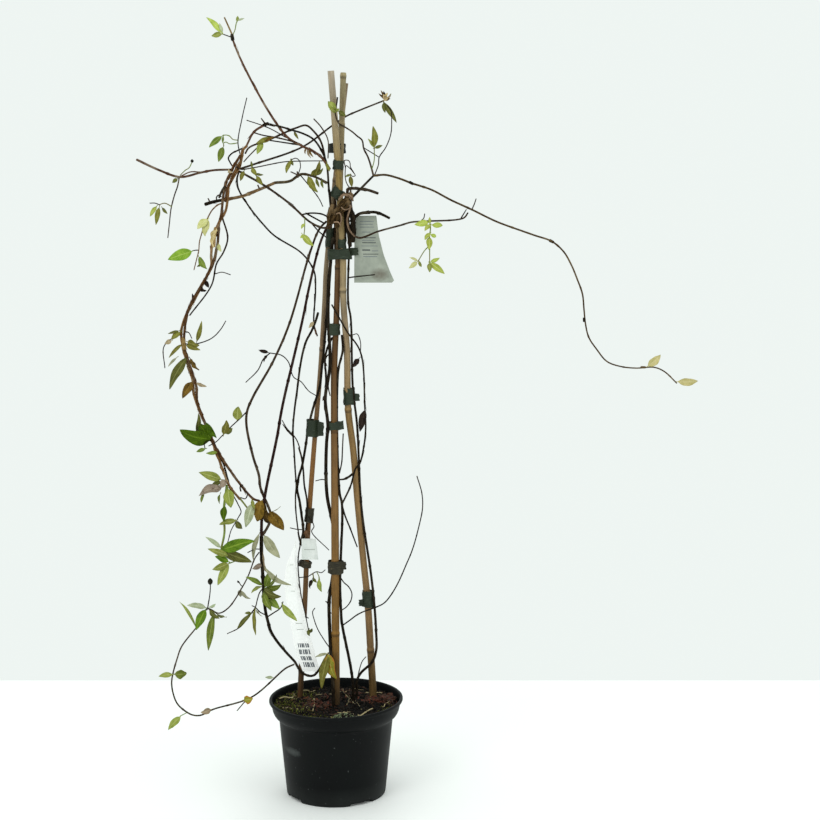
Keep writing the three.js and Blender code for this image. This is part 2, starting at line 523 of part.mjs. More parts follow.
function ropeStems() {
  const strandOne = run(1.6, 1.5, [
    [-104, -14, 815], [-109, -12, 810], [-111, -10, 801], [-113, -8, 792], [-117, -6, 785],
    [-121, -4, 779], [-125, -4, 772], [-128, -4, 766], [-129, -4, 757], [-130, -5, 746],
    [-132, -6, 736], [-137, -6, 728], [-142, -7, 718], [-147, -8, 707], [-149, -8, 694],
    [-150, -8, 681], [-150, -9, 670], [-185, -11, 601], [-188, -10, 586], [-186, -11, 569],
    [-174, -15, 528], [-172, -17, 510], [-150, -25, 455], [-132, -29, 407], [-127, -30, 397],
    [-116, -30, 383],
  ]);
  const strandTwo = run(1.6, 1.5, [
    [-112, -13, 804], [-116, -12, 798], [-120, -10, 792], [-123, -8, 786], [-126, -8, 780],
    [-130, -7, 773], [-132, -7, 766], [-134, -7, 757], [-135, -7, 749], [-136, -7, 740],
    [-137, -8, 731], [-140, -6, 721], [-141, -6, 710], [-142, -6, 698], [-145, -8, 682],
    [-149, -11, 668], [-162, -13, 646], [-173, -14, 627], [-180, -13, 611], [-184, -14, 574],
    [-180, -16, 557], [-169, -18, 520], [-168, -21, 504], [-147, -29, 452], [-140, -29, 438],
    [-100, -31, 384], [-92, -31, 381],
  ]);
  const strandThree = run(1.1, 0.9, [
    [-136, -5, 729], [-130, -2, 704], [-135, -3, 687], [-144, -4, 672], [-150, -8, 646],
    [-177, -11, 609],
  ]);
  const lowerStrand = run(1.1, 0.9, [[-142, -27, 438], [-136, -28, 427], [-129, -30, 402]]);
  const greenEnd = run(1.2, 1, [[-116, -30, 384], [-106, -32, 372], [-101, -33, 370]]);
  const curl = run(0.6, 0.5, [[-115, -30, 385], [-109, -33, 384], [-106, -36, 390], [-107, -38, 394]]);
  const blackBud = run(0.7, 1, [[-112, -31, 401], [-115, -34, 399], [-114, -36, 394]]);
  const thinFall = run(0.7, 0.5, [[-129, -30, 398], [-114, -36, 368], [-120, -38, 357]]);
  const leafyFall = run(1.6, 1.3, [[-132, -29, 400], [-135, -40, 369], [-134, -43, 344], [-138, -44, 324]]);
  const thinRise = run(0.5, 0.5, [[-120, -38, 357], [-126, -41, 346], [-132, -43, 328], [-137, -44, 326]]);
  const leafBase = run(0.7, 0.6, [[-138, -44, 323], [-120, -47, 310], [-128, -48, 306]]);
  const clusterTwig = run(0.7, 0.5, [
    [-150, -25, 455], [-155, -32, 456], [-158, -36, 453], [-157, -38, 447],
  ]);
  const knotTwig = run(0.8, 0.5, [[-188, -10, 586], [-194, -13, 583], [-199, -15, 580], [-196, -17, 588]]);
  const knotFall = run(0.6, 0.5, [[-194, -13, 583], [-204, -16, 577], [-209, -18, 569], [-207, -22, 545]]);
  const knotRise = run(0.7, 0.5, [
    [-183, -14, 574], [-171, -18, 574], [-150, -22, 581], [-138, -24, 592], [-131, -25, 603],
  ]);
  const sideShoot = run(0.9, 0.6, [
    [-136, -3, 746], [-141, -8, 744], [-148, -11, 737], [-153, -13, 728], [-158, -14, 718],
    [-164, -17, 688], [-170, -18, 665],
  ]);
  const longThread = run(0.7, 0.5, [
    [-117, -12, 790], [-112, -13, 787], [-96, -12, 789], [-59, -11, 796], [-39, -10, 797],
    [-11, -16, 797],
  ]);
  const curlTop = run(1, 0.9, [
    [-110, -12, 812], [-115, -10, 810], [-124, -4, 806], [-128, -2, 801], [-126, -3, 796],
    [-122, -7, 790],
  ]);
  const leafyThread = run(0.6, 0.5, [[-113, -10, 806], [-115, -11, 820], [-110, -9, 848], [-104, -8, 873]]);
  const leafStalk = run(0.5, 0.5, [
    [-115, -11, 822], [-121, -13, 823], [-125, -14, 827], [-130, -16, 828], [-133, -16, 827],
  ]);
  const leafStalkTwo = run(0.5, 0.5, [
    [-115, -11, 819], [-121, -9, 818], [-126, -7, 818], [-130, -6, 820], [-133, -6, 819],
    [-133, -6, 815],
  ]);
  const peel = run(2.2, 2.8, [[-144, -6, 716], [-146, -8, 706], [-147, -9, 694]]);
  const node = run(2.4, 2.8, [[-185, -13, 581], [-184, -15, 568]]);
  const ring = run(0.8, 0.8, [[-142, -2, 748], [-143, -4, 753], [-140, -5, 756], [-137, -5, 754]]);
  const leafPetiole = run(0.6, 0.5, [[-164, -16, 689], [-168, -17, 689], [-172, -18, 688]]);
  const leafyTwig = run(0.5, 0.5, [[-98, -12, 790], [-94, -15, 781], [-89, -17, 774], [-84, -19, 767]]);
  const sideThread = run(0.5, 0.5, [[-145, -6, 660], [-137, -9, 662], [-126, -12, 659]]);
  const starStalk = run(0.6, 0.5, [[-183, -13, 589], [-178, -15, 588], [-174, -17, 581]]);
  const middleStrand = run(1.1, 1, [
    [-112, -11, 797], [-115, -11, 793], [-118, -10, 787], [-122, -8, 781], [-125, -7, 775],
  ]);
  const leaves = [
    leaf([-138, -28, 407], [-165, -40, 418], 11, 15, 3),
    leaf([-137, -30, 398], [-165, -42, 391], 13, 10, 4),
    leaf([-137, -29, 405], [-152, -22, 398], 7, 30, 2),
    leaf([-132, -29, 407], [-141, -36, 399], 9, 20, 1),
    leaf([-139, -33, 391], [-141, -30, 377], 5, 40, 2),
    leaf([-130, -31, 397], [-126, -40, 374], 14, 5, 3),
    leaf([-133, -38, 377], [-134, -46, 358], 9, 20, 3),
    leaf([-119, -38, 358], [-140, -46, 354], 8, 20, 2),
    leaf([-120, -38, 358], [-112, -42, 348], 9, 20, 2),
    leaf([-138, -44, 323], [-96, -56, 336], 15, 0, 6),
    leaf([-137, -44, 322], [-100, -50, 308], 13, 15, 4),
    leaf([-138, -44, 324], [-156, -52, 340], 6, 30, 2),
    leaf([-128, -46, 315], [-153, -56, 326], 8, 10, 3),
    leaf([-128, -48, 306], [-148, -56, 300], 9, 10, 2),
    leaf([-128, -48, 307], [-142, -54, 280], 10, 10, 3),
    leaf([-127, -48, 307], [-146, -42, 314], 9, 20, 2),
    leaf([-100, -32, 379], [-108, -42, 350], 12, 5, 3),
    leaf([-101, -31, 384], [-97, -38, 372], 5, 20, 1),
    leaf([-151, -26, 457], [-186, -48, 471], 21, 0, 6),
    leaf([-150, -26, 456], [-165, -38, 479], 15, 15, 4),
    leaf([-159, -23, 479], [-143, -36, 460], 9, 15, 3),
    leaf([-168, -30, 465], [-163, -46, 491], 7, 30, 2),
    leaf([-156, -38, 447], [-167, -44, 444], 5, 20, 1),
    leaf([-142, -28, 441], [-156, -36, 441], 5, 20, 1),
    leaf([-174, -15, 528], [-186, -24, 508], 11, 5, 2),
    leaf([-170, -18, 527], [-156, -24, 522], 5, 20, 1),
    leaf([-177, -15, 557], [-166, -22, 542], 7, 20, 1),
    leaf([-188, -12, 589], [-199, -19, 580], 7, 20, 1),
    leaf([-199, -16, 578], [-207, -20, 575], 7, 20, 0.5),
    leaf([-186, -12, 574], [-202, -22, 558], 5, 20, 2),
    leaf([-181, -15, 558], [-201, -30, 520], 12, 5, 4),
    leaf([-168, -18, 577], [-160, -28, 603], 6, 10, 3),
    leaf([-180, -15, 577], [-164, -24, 573], 11, 10, 2),
    leaf([-182, -15, 573], [-163, -22, 567], 6, 10, 2),
    leaf([-152, -14, 727], [-165, -20, 715], 10, 10, 2),
    leaf([-152, -14, 727], [-156, -20, 706], 10, 15, 2),
    leaf([-171, -18, 688], [-200, -28, 678], 14, 0, 4),
    leaf([-164, -17, 682], [-153, -24, 666], 9, 20, 2),
    leaf([-143, -6, 718], [-147, -15, 692], 9, 20, 2),
    leaf([-142, -6, 698], [-137, -12, 687], 6, 20, 1),
    leaf([-157, -9, 652], [-153, -14, 643], 6, 20, 1),
    leaf([-163, -10, 644], [-156, -15, 639], 7, 20, 1),
    leaf([-107, -13, 786], [-112, -18, 773], 6, 20, 1),
    leaf([-98, -13, 789], [-92, -18, 779], 6, 20, 2),
    leaf([-94, -15, 782], [-84, -18, 780], 3.5, 30, 1),
    leaf([-159, -38, 392], [-162, -44, 381], 4.5, 20, 1),
    leaf([-189, -12, 590], [-203, -19, 587], 3.5, 30, 1),
    leaf([-192, -16, 558], [-203, -22, 547], 3.5, 30, 1),
    leaf([-161, -18, 671], [-166, -20, 669], 3, 20, 0.5),
    leaf([-172, -10, 627], [-173, -14, 636], 4, 20, 1),
    leaf([-93, -15, 780], [-85, -20, 768], 6, 20, 1),
    leaf([-98, -12, 789], [-99, -15, 797], 3, 20, 0.5),
    leaf([-133, -16, 827], [-149, -22, 813], 7.5, 10, 2),
    leaf([-132, -16, 827], [-133, -18, 818], 3, 20, 0.5),
    leaf([-133, -6, 815], [-139, -12, 796], 8.5, 10, 2),
  ];
  const runs = [strandOne, strandTwo, strandThree, lowerStrand, greenEnd, curl, blackBud, thinFall,
    leafyFall, thinRise, leafBase, clusterTwig, knotTwig, knotFall, knotRise, sideShoot, longThread,
    curlTop, leafyThread, leafStalk, leafStalkTwo, peel, node, ring, leafPetiole, leafyTwig, sideThread,
    starStalk, middleStrand];
  return { name: 'rope', colour: ROPE_BARK, runs, leaves };
}

function crossingTwig() {
  const twig = run(1.3, 1, [
    [-114, -1, 788], [-96, 3, 794], [-38, 10, 815], [-3, 14, 840], [15, 14, 852], [33, 14, 860],
    [62, 10, 871],
  ]);
  const huskStalk = run(0.6, 0.5, [[60, 10, 870], [67, 8, 874], [71, 7, 879]]);
  const leaves = [
    leaf([62, 10, 872], [57, 4, 881], 5, 20, 1),
    leaf([63, 10, 872], [61, 3, 884], 5, 10, 1),
    leaf([66, 8, 874], [66, 3, 885], 5, 30, 1),
    leaf([67, 8, 874], [71, 3, 881], 5, 20, 1),
    leaf([62, 10, 870], [64, 6, 856], 5.5, 20, 1),
    leaf([62, 10, 870], [78, 2, 844], 7, 15, 2),
  ];
  return { name: 'crossing_twig', colour: BROWN_BARK, runs: [twig, huskStalk], leaves };
}

function cutBranch() {
  const cutEnd = run(2.2, 1.9, [[-158, 6, 745], [-138, 5, 750]]);
  const branch = run(1.9, 1.8, [[-138, 5, 750], [-111, 1, 755], [-71, -4, 771]]);
  const upperBranch = run(1.8, 1.3, [
    [-71, -4, 771], [-52, -8, 773], [-39, -12, 781], [-25, -15, 779], [-13, -18, 774], [-5, -21, 770],
  ]);
  const nubLow = run(1, 0.8, [[-152, 6, 747], [-154, 3, 752]]);
  const nubMiddle = run(1.2, 0.9, [[-90, -2, 763], [-92, -5, 768]]);
  const nubHigh = run(1, 0.7, [[-42, -11, 780], [-51, -12, 784]]);
  const thinDown = run(0.6, 0.5, [[-40, -12, 781], [-17, -14, 752], [-12, -15, 742]]);
  const hook = run(0.5, 0.5, [
    [-42, -11, 781], [-39, -14, 790], [-40, -18, 797], [-44, -20, 800], [-50, -21, 798],
  ]);
  const leaves = [
    leaf([-50, -21, 798], [-56, -24, 782], 6, 10, 1),
    leaf([-50, -21, 798], [-47, -24, 791], 4, 30, 0.5),
    leaf([-30, -14, 779], [-18, -22, 759], 9, 10, 3),
    leaf([-22, -16, 778], [-15, -25, 797], 7, 20, 2),
    leaf([-26, -15, 779], [-20, -20, 787], 6, 30, 1),
    leaf([-20, -16, 777], [-16, -20, 765], 4, 30, 1),
    leaf([-13, -18, 775], [-11, -22, 764], 4, 30, 1),
    leaf([-20, -16, 779], [-11, -24, 788], 4.5, 20, 1),
  ];
  const runs = [cutEnd, branch, upperBranch, nubLow, nubMiddle, nubHigh, thinDown, hook];
  return { name: 'cut_branch', colour: PALE_BARK, runs, leaves };
}

function archedStem() {
  const blackStem = run(1.4, 1.3, [
    [-115, -2, 785], [-81, -11, 766], [-52, -15, 745], [-30, -18, 725], [-20, -19, 719],
    [-11, -20, 716], [-1, -20, 719],
  ]);
  const branch = run(0.9, 0.8, [[-25, -18, 721], [-17, -20, 712], [-7, -20, 704]]);
  const stubOne = run(1, 1, [[-38, -17, 732], [-27, -14, 734], [-14, -12, 733], [-7, -12, 730]]);
  const stubTwo = run(1, 1, [[-33, -15, 734], [-11, -18, 722]]);
  const thinStem = run(1.1, 1, [
    [-115, -2, 785], [-118, 3, 776], [-117, 6, 764], [-104, 6, 742], [-88, 3, 722], [-73, -2, 707],
    [-41, -6, 687], [-30, -7, 675], [-23, -8, 661], [-22, -9, 640], [-24, -12, 597], [-20, -13, 584],
  ]);
  const leafyHang = run(0.5, 0.5, [[-34, -18, 729], [-35, -22, 706]]);
  const leaves = [
    leaf([-37, -22, 709], [-23, -28, 694], 8, 10, 2),
    leaf([-34, -20, 721], [-38, -24, 715], 4, 20, 1),
    leaf([-35, -22, 707], [-39, -26, 704], 4, 20, 0.5),
    leaf([-24, -12, 601], [-30, -16, 594], 5, 20, 1),
    leaf([-23, -12, 596], [-20, -15, 583], 3, 20, 0.5),
  ];
  const runs = [blackStem, branch, stubOne, stubTwo, thinStem, leafyHang];
  return { name: 'arched_stem', colour: DARK_BARK, runs, leaves };
}

function leftShoot() {
  const shoot = run(1.5, 1.3, [
    [-240, -2, 799], [-212, -4, 786], [-187, -4, 778], [-163, -4, 783], [-147, -4, 786],
    [-123, -6, 787],
  ]);
  const upperStrand = run(0.7, 0.6, [[-186, -4, 779], [-174, -7, 784], [-162, -5, 784]]);
  const budStalk = run(0.5, 0.5, [[-187, -4, 780], [-175, -10, 789], [-171, -12, 796]]);
  const hangingTwig = run(0.8, 0.5, [[-188, -4, 778], [-198, -10, 739], [-202, -13, 704]]);
  const leafStalk = run(0.6, 0.5, [[-197, -10, 742], [-205, -13, 746], [-212, -15, 744]]);
  const tendril = run(0.5, 0.5, [[-211, -15, 744], [-222, -21, 746]]);
  const bud = run(2, 2, [[-171, -12, 795], [-171, -12, 799]]);
  const leaves = [
    leaf([-190, -5, 776], [-196, -9, 771], 5, 20, 0.5),
    leaf([-214, -15, 743], [-222, -22, 730], 5.5, 10, 1),
    leaf([-211, -15, 742], [-215, -22, 720], 6.5, 10, 2),
    leaf([-208, -15, 741], [-201, -20, 733], 4, 20, 1),
    leaf([-128, -5, 787], [-123, -13, 783], 5, 30, 1),
  ];
  const runs = [shoot, upperStrand, budStalk, hangingTwig, leafStalk, tendril, bud];
  return { name: 'left_shoot', colour: BROWN_BARK, runs, leaves };
}

// Stems to the right of the old wood

function rightVine() {
  const rise = run(1.6, 1.3, [[21, -19, 750], [50, -20, 779]]);
  const vine = run(1.5, 0.9, [
    [50, -20, 779], [64, -21, 780], [80, -23, 776], [120, -28, 762], [169, -34, 738], [198, -37, 724],
    [265, -44, 700], [279, -46, 688], [288, -48, 673], [302, -51, 637], [306, -53, 601],
    [310, -54, 585], [332, -56, 556], [348, -57, 550], [367, -58, 548], [389, -59, 549],
    [401, -60, 544], [416, -61, 530],
  ]);
  const upBranch = run(1.2, 0.9, [
    [50, -20, 779], [43, -14, 802], [38, -10, 812], [36, -12, 822], [16, -22, 837],
  ]);
  const thinRise = run(0.6, 0.5, [
    [51, -20, 779], [56, -22, 792], [57, -22, 801], [65, -21, 813], [71, -18, 829], [72, -12, 847],
    [71, -6, 858], [67, -1, 864],
  ]);
  const link = run(0.5, 0.5, [[57, -22, 801], [38, -11, 813]]);
  const smallTwig = run(0.7, 0.5, [[169, -34, 738], [174, -37, 751]]);
  const leafStalk = run(0.5, 0.5, [[48, -18, 787], [51, -22, 798], [51, -24, 812]]);
  const knuckleOne = run(1.9, 1.7, [[94, -25, 771], [98, -25, 769]]);
  const knuckleTwo = run(1.9, 1.7, [[263, -42, 701], [267, -43, 699]]);
  const knuckleThree = run(1.9, 1.7, [[304, -53, 608], [304, -53, 602]]);
  const knuckleFour = run(1.7, 1.6, [[373, -59, 549], [378, -59, 549]]);
  const tendril = run(0.5, 0.5, [
    [23, -21, 762], [16, -25, 776], [17, -25, 791], [24, -26, 785], [28, -26, 779], [22, -27, 780],
  ]);
  const tendrilLoop = run(0.5, 0.5, [
    [16, -25, 789], [15, -24, 797], [20, -25, 797], [22, -26, 793], [22, -26, 790], [26, -26, 783],
  ]);
  const leaves = [
    leaf([51, -24, 812], [50, -26, 838], 9, 20, 2),
    leaf([51, -24, 812], [44, -28, 823], 4, 20, 0.5),
    leaf([51, -24, 812], [61, -28, 815], 4, 20, 0.5),
    leaf([380, -59, 550], [396, -62, 564], 10.5, 10, 2),
    leaf([416, -61, 532], [441, -64, 533], 10, 5, 3),
    leaf([22, -27, 780], [24, -30, 765], 5.5, 10, 1),
    leaf([22, -27, 780], [16, -29, 777], 3.5, 20, 0.5),
  ];
  const runs = [rise, vine, upBranch, thinRise, link, smallTwig, leafStalk, knuckleOne, knuckleTwo,
    knuckleThree, knuckleFour, tendril, tendrilLoop];
  return { name: 'right_vine', colour: PALE_BARK, runs, leaves };
}

function rightSpray() {
  const loop = run(1.2, 1.1, [
    [17, -22, 741], [22, -25, 743], [19, -27, 731], [18, -27, 724], [21, -25, 713], [27, -24, 706],
  ]);
  const stem = run(1.2, 1, [
    [27, -24, 706], [33, -23, 704], [41, -24, 706], [53, -26, 711], [82, -30, 719], [96, -32, 723],
    [109, -34, 724], [159, -39, 728], [164, -40, 734],
  ]);
  const upTwig = run(0.6, 0.5, [[107, -34, 724], [111, -36, 728], [112, -37, 733]]);
  const upTwigTwo = run(0.7, 0.5, [[156, -39, 728], [162, -44, 738]]);
  const hang = run(0.7, 0.5, [
    [118, -35, 724], [119, -39, 716], [118, -41, 706], [118, -42, 697], [118, -44, 675],
  ]);
  const hangLeft = run(0.5, 0.5, [[118, -42, 695], [112, -44, 689], [104, -46, 676]]);
  const leaves = [
    leaf([118, -36, 723], [100, -42, 720], 8, 10, 2),
    leaf([119, -37, 720], [112, -44, 713], 6, 20, 1),
    leaf([119, -37, 720], [134, -32, 719], 7, 10, 2),
    leaf([118, -37, 721], [118, -40, 729], 4, 20, 0.5),
    leaf([119, -40, 710], [112, -46, 702], 6, 20, 1),
    leaf([119, -40, 709], [126, -36, 705], 5, 10, 1),
    leaf([118, -41, 706], [117, -46, 690], 8, 10, 2),
    leaf([118, -44, 675], [136, -50, 661], 8, 5, 2),
    leaf([118, -44, 675], [130, -48, 680], 5, 10, 1),
    leaf([118, -44, 675], [118, -50, 663], 6, 20, 1),
    leaf([104, -46, 676], [93, -52, 668], 6, 10, 1),
    leaf([104, -46, 676], [94, -52, 681], 3.5, 30, 1),
    leaf([105, -46, 677], [108, -42, 669], 4, 20, 0.5),
  ];
  const runs = [loop, stem, upTwig, upTwigTwo, hang, hangLeft];
  return { name: 'right_spray', colour: BROWN_BARK, runs, leaves };
}

function rightStubs() {
  const upperStub = run(1.9, 1.7, [
    [18, -17, 759], [19, -16, 763], [27, -14, 764], [43, -10, 762], [55, -8, 758],
  ]);
  const lowerStub = run(1.9, 1.6, [
    [22, -16, 724], [32, -13, 733], [42, -11, 735], [53, -10, 735], [69, -8, 728],
  ]);
  const joint = run(1.2, 1.1, [[26, -15, 727], [23, -12, 741], [22, -12, 754], [22, -15, 764]]);
  return { name: 'right_stubs', colour: PALE_BARK, runs: [upperStub, lowerStub, joint], leaves: [] };
}

function caneTopShoot() {
  const stem = run(1, 0.8, [[16, -22, 837], [8, -27, 842], [5, -28, 850], [4, -29, 857]]);
  const spur = run(0.8, 1, [[4, -29, 857], [6, -28, 864], [7, -27, 872]]);
  const leaves = [
    leaf([5, -28, 856], [-4, -34, 867], 9, 10, 1),
    leaf([5, -28, 855], [-2, -36, 857], 7, 20, 1),
    leaf([5, -28, 857], [9, -34, 858], 5, 20, 1),
    leaf([8, -28, 856], [17, -30, 850], 6.5, 10, 1),
  ];
  return { name: 'cane_top_shoot', colour: LEAF_GREEN, runs: [stem, spur], leaves };
}

// Canes

const cane = (name, colour, stations) => ({ name, colour, stations });

// Each station is a point of the cane's line and the radius there
function caneSolid({ stations }, grow) {
  const path = stations.map(([x, y, z]) => new THREE.Vector3(x, y, z));
  if (grow > 0) {
    lengthenEnds(path, grow);
  }
  const radii = stations.map((station) => station[3] + grow / Math.cos(Math.PI / CANE_SIDES));
  return rod(path, radii, CANE_SIDES);
}

function canes() {
  const left = cane('cane_left', BAMBOO, [
    [-51, 28, CANE_FOOT, 3.9], [-47.5, 27, 113, 3.8], [-40, 24, 243, 3.3], [-36, 22, 324, 3.2],
    [-27, 18, 438, 3.1], [-18, 15, 539, 3], [-12, 12, 627, 2.9], [-10, 11, 664, 2.9], [-1, 10, 750, 2.9],
    [16, 9.5, 892, 2.8],
  ]);
  const middle = cane('cane_middle', BAMBOO_DARK, [
    [-0.5, -2, CANE_FOOT, 5.2], [0, -2, 116, 5.1], [0, -2, 206, 5], [0, -1, 300, 4.9], [0, -1, 364, 4.8],
    [0, 0, 490, 4.5], [0, 0, 541, 4], [3, 0, 603, 3.7], [5, 0, 664, 3.6], [13, 1.5, 904, 3.6],
  ]);
  const right = cane('cane_right', BAMBOO, [
    [49, 28, CANE_FOOT, 4.8], [47, 27, 113, 4.7], [44, 24, 174, 4.6], [40, 22, 244, 4.4],
    [35, 19, 296, 4.2], [28, 14, 374, 4.2], [23, 11, 439, 4.2], [17, 8, 490, 4.2], [16, 0, 565, 4],
    [12, -5, 628, 3.9], [12, -9, 684, 3.9], [4, -17, 834, 4.1], [-1, -22, 904, 4],
  ]);
  return [left, middle, right];
}

// Tape ties

// A band of tape round canes and stems: an oval ring about its centre, with a flat tail where it has one
const tie = (name, centre, halfWidth, halfDepth, height, tilt = 0, tails = []) => ({
  name, centre, halfWidth, halfDepth, height, tilt, tails,
});

// A tail's centre is given from the band's centre
const tail = (x, y, z, width, height) => ({ x, y, z, width, height });

const TIE_CURVE_STEPS = 5;

function tieSolid({ centre, halfWidth, halfDepth, height, tilt, tails }) {
  const outline = new THREE.Shape();
  outline.absellipse(0, 0, halfWidth, halfDepth, 0, 2 * Math.PI);
  const hole = new THREE.Path();
  hole.absellipse(0, 0, halfWidth - TAPE_THICKNESS, halfDepth - TAPE_THICKNESS, 0, 2 * Math.PI);
  outline.holes.push(hole);
  const band = new THREE.ExtrudeGeometry(outline, {
    depth: height, bevelEnabled: false, curveSegments: TIE_CURVE_STEPS,
  });
  band.translate(0, 0, -height / 2);
  const flaps = tails.map(({ x, y, z, width, height: flapHeight }) => {
    const flap = new THREE.BoxGeometry(width, TAPE_THICKNESS, flapHeight);
    return solidOf(flap.translate(x, y, z));
  });
  const turned = new THREE.Matrix4().makeRotationY(THREE.MathUtils.degToRad(tilt));
  turned.setPosition(toVector(centre));
  const whole = geometryOf(join([solidOf(band), ...flaps]));
  whole.applyMatrix4(turned);
  return solidOf(whole);
}

function ties() {
  return [
    tie('tie_left_lower', [-39.5, 20.3, 291], 9.7, 7.2, 8, 12),
    tie('tie_left_middle', [-33, 19, 354], 6.2, 6, 18, 6),
    tie('tie_left_upper', [-28.4, 14.2, 466], 8.6, 8.5, 21, 4, [tail(10.5, -3, 0, 8, 19)]),
    tie('tie_middle', [2, -0.5, 471], 11, 6.6, 10, -6),
    tie('tie_right_upper', [18.5, 7, 507], 7.6, 6.2, 21, 0, [tail(9.6, -2.5, -1, 6.5, 10)]),
    tie('tie_middle_lower', [0.5, 1.6, 291], 10.8, 9.2, 16, 0, [tail(9.5, -6.2, 3, 8, 11)]),
    tie('tie_right_lower', [41.5, 19.6, 246], 8.6, 8, 21, 0, [tail(-10, -2, -5, 5, 9)]),
    tie('tie_middle_upper', [-0.5, -0.6, 591], 8.6, 5.6, 14),
    tie('tie_ring', [8, -1, 684], 16.4, 15, 13, -2, [tail(18.4, -4.8, 2.5, 8.6, 10)]),
    tie('tie_tape_left', [-4.5, 6, 704], 6, 8.6, 24, 3),
    tie('tie_tape_centre', [11.2, -10, 696.6], 5.2, 5.2, 11),
    tie('tie_diagonal', [4.5, -13.5, 758], 8.4, 6.2, 13, 35),
    tie('tie_upper', [7.5, -15, 792], 7.2, 6, 11, 4),
    tie('tie_top', [4.2, 5.2, 813], 12, 9, 11),
  ];
}

// Labels

// A thin upright plate in the plane y = depth, from points of its outline in x and z
function plateSolid(outline, depth) {
  const shape = new THREE.Shape(outline.map(([x, z]) => new THREE.Vector2(x, z)));
  const plate = new THREE.ExtrudeGeometry(shape, { depth: LABEL_THICKNESS, bevelEnabled: false });
  plate.rotateX(Math.PI / 2);
  plate.translate(0, depth, 0);
  return solidOf(plate);
}

const PLANT_LABEL_OUTLINE = [
  [25.5, 649], [72, 649], [75, 651], [70, 662], [62, 683], [56, 707], [53, 731], [28, 731], [26, 707],
];
const LABEL_STRIP_OUTLINE = [
  [-43, 151], [-38, 147], [-28, 147], [-21, 151], [-27, 173], [-35, 205], [-42, 239], [-47, 270],
  [-50.6, 294], [-51, 320], [-63, 290], [-66, 270], [-64, 245], [-59, 218], [-52, 173],
];
const SMALL_TAG_OUTLINE = [[-43, 297], [-22, 298], [-25, 325], [-43, 325]];

const labels = () => [
  { name: 'plant_label', solid: plateSolid(PLANT_LABEL_OUTLINE, -4.3) },
  { name: 'label_strip', solid: plateSolid(LABEL_STRIP_OUTLINE, 19) },
  { name: 'small_tag', solid: plateSolid(SMALL_TAG_OUTLINE, 13.6) },
];

// Pot and soil

function latheSolid(profile, segments, shape) {
  const points = profile.map(([radius, height]) => new THREE.Vector2(radius, height));
  const geometry = new THREE.LatheGeometry(points, segments);
  geometry.rotateX(Math.PI / 2);
  const place = geometry.attributes.position;
  for (let i = 0; i < place.count; i += 1) {
    const z = shape(place.getX(i), place.getY(i), place.getZ(i));
    place.setZ(i, z);
  }
  return solidOf(geometry);
}

// The soft rim dips a little to the front and to the left
function rimSag(x, y, z) {
  const height = Math.max(0, (z - (POT_HEIGHT - LIP_HEIGHT)) / LIP_HEIGHT);
  const front = (RIM_SAG_FRONT * (RIM_RADIUS - y)) / (2 * RIM_RADIUS);
  const left = (RIM_SAG_LEFT * (RIM_RADIUS - x)) / (2 * RIM_RADIUS);
  return z - height * (front + left);
}

// Radii and heights of the pot's section, from the middle of the base up. Outside, the wall steps out
// into a lip band that ends in a rolled rim. Inside, the floor is raised into a ring at its edge.
const OUTSIDE_PROFILE = [
  [0, 0],
  [BASE_RADIUS - 1, 0],
  [BASE_RADIUS, 1.5],
  [BODY_TOP_RADIUS, POT_HEIGHT - LIP_HEIGHT],
  [BODY_TOP_RADIUS + 4.9, POT_HEIGHT - 23],
  [BODY_TOP_RADIUS + 8.1, POT_HEIGHT - 16],
  [RIM_RADIUS - 2.8, POT_HEIGHT - 6],
  [RIM_RADIUS, POT_HEIGHT - 4],
  [RIM_RADIUS - 0.7, POT_HEIGHT],
  [RIM_RADIUS - 2.2, POT_HEIGHT],
];
const INSIDE_PROFILE = [
  [0, POT_WALL],
  [BASE_RADIUS - 12, POT_WALL],
  [BASE_RADIUS - 9, FLOOR_RING_TOP],
  [BASE_RADIUS - POT_WALL, FLOOR_RING_TOP],
  [BODY_TOP_RADIUS - POT_WALL, POT_HEIGHT - LIP_HEIGHT],
  [BODY_TOP_RADIUS + 3.5, POT_HEIGHT - 22],
  [BODY_TOP_RADIUS + 6.7, POT_HEIGHT - 15],
  [RIM_RADIUS - 4.2, POT_HEIGHT - 6],
];

// A notch under the pot's edge with a drain hole up through its floor ring
function notchSolid(bearing) {
  const notch = new THREE.BoxGeometry(2 * NOTCH_DEPTH, NOTCH_WIDTH, 2 * NOTCH_HEIGHT);
  notch.translate(BASE_RADIUS, 0, 0);
  const drain = new THREE.CylinderGeometry(DRAIN_RADIUS, DRAIN_RADIUS, 4 * NOTCH_HEIGHT, DRAIN_SIDES);
  drain.rotateX(Math.PI / 2);
  drain.translate(BASE_RADIUS - NOTCH_DEPTH / 2, 0, 0);
  const cut = geometryOf(solidOf(notch).add(solidOf(drain)));
  return solidOf(cut.rotateZ(THREE.MathUtils.degToRad(bearing)));
}

function potSolid() {
  const inside = [...INSIDE_PROFILE].reverse();
  const shell = latheSolid([...OUTSIDE_PROFILE, ...inside], POT_SEGMENTS, rimSag);
  const cut = NOTCH_BEARINGS.reduce((pot, bearing) => pot.subtract(notchSolid(bearing)), shell);
  return mainBody(cut);
}

// Lumps on the soil: each has its place, its height and its reach
const SOIL_LUMPS = [
  { x: 8, y: -70, rise: 7, reach: 10 },
  { x: 20, y: -66, rise: 5, reach: 8 },
  { x: -50, y: -40, rise: 3, reach: 16 },
  { x: -62, y: 12, rise: 3, reach: 14 },
  { x: -30, y: -36, rise: 3.5, reach: 12 },
  { x: 52, y: 0, rise: 4.5, reach: 15 },
  { x: 64, y: 22, rise: 4, reach: 12 },
  { x: 16, y: 30, rise: 2.5, reach: 18 },
  { x: 34, y: -30, rise: -2, reach: 16 },
];

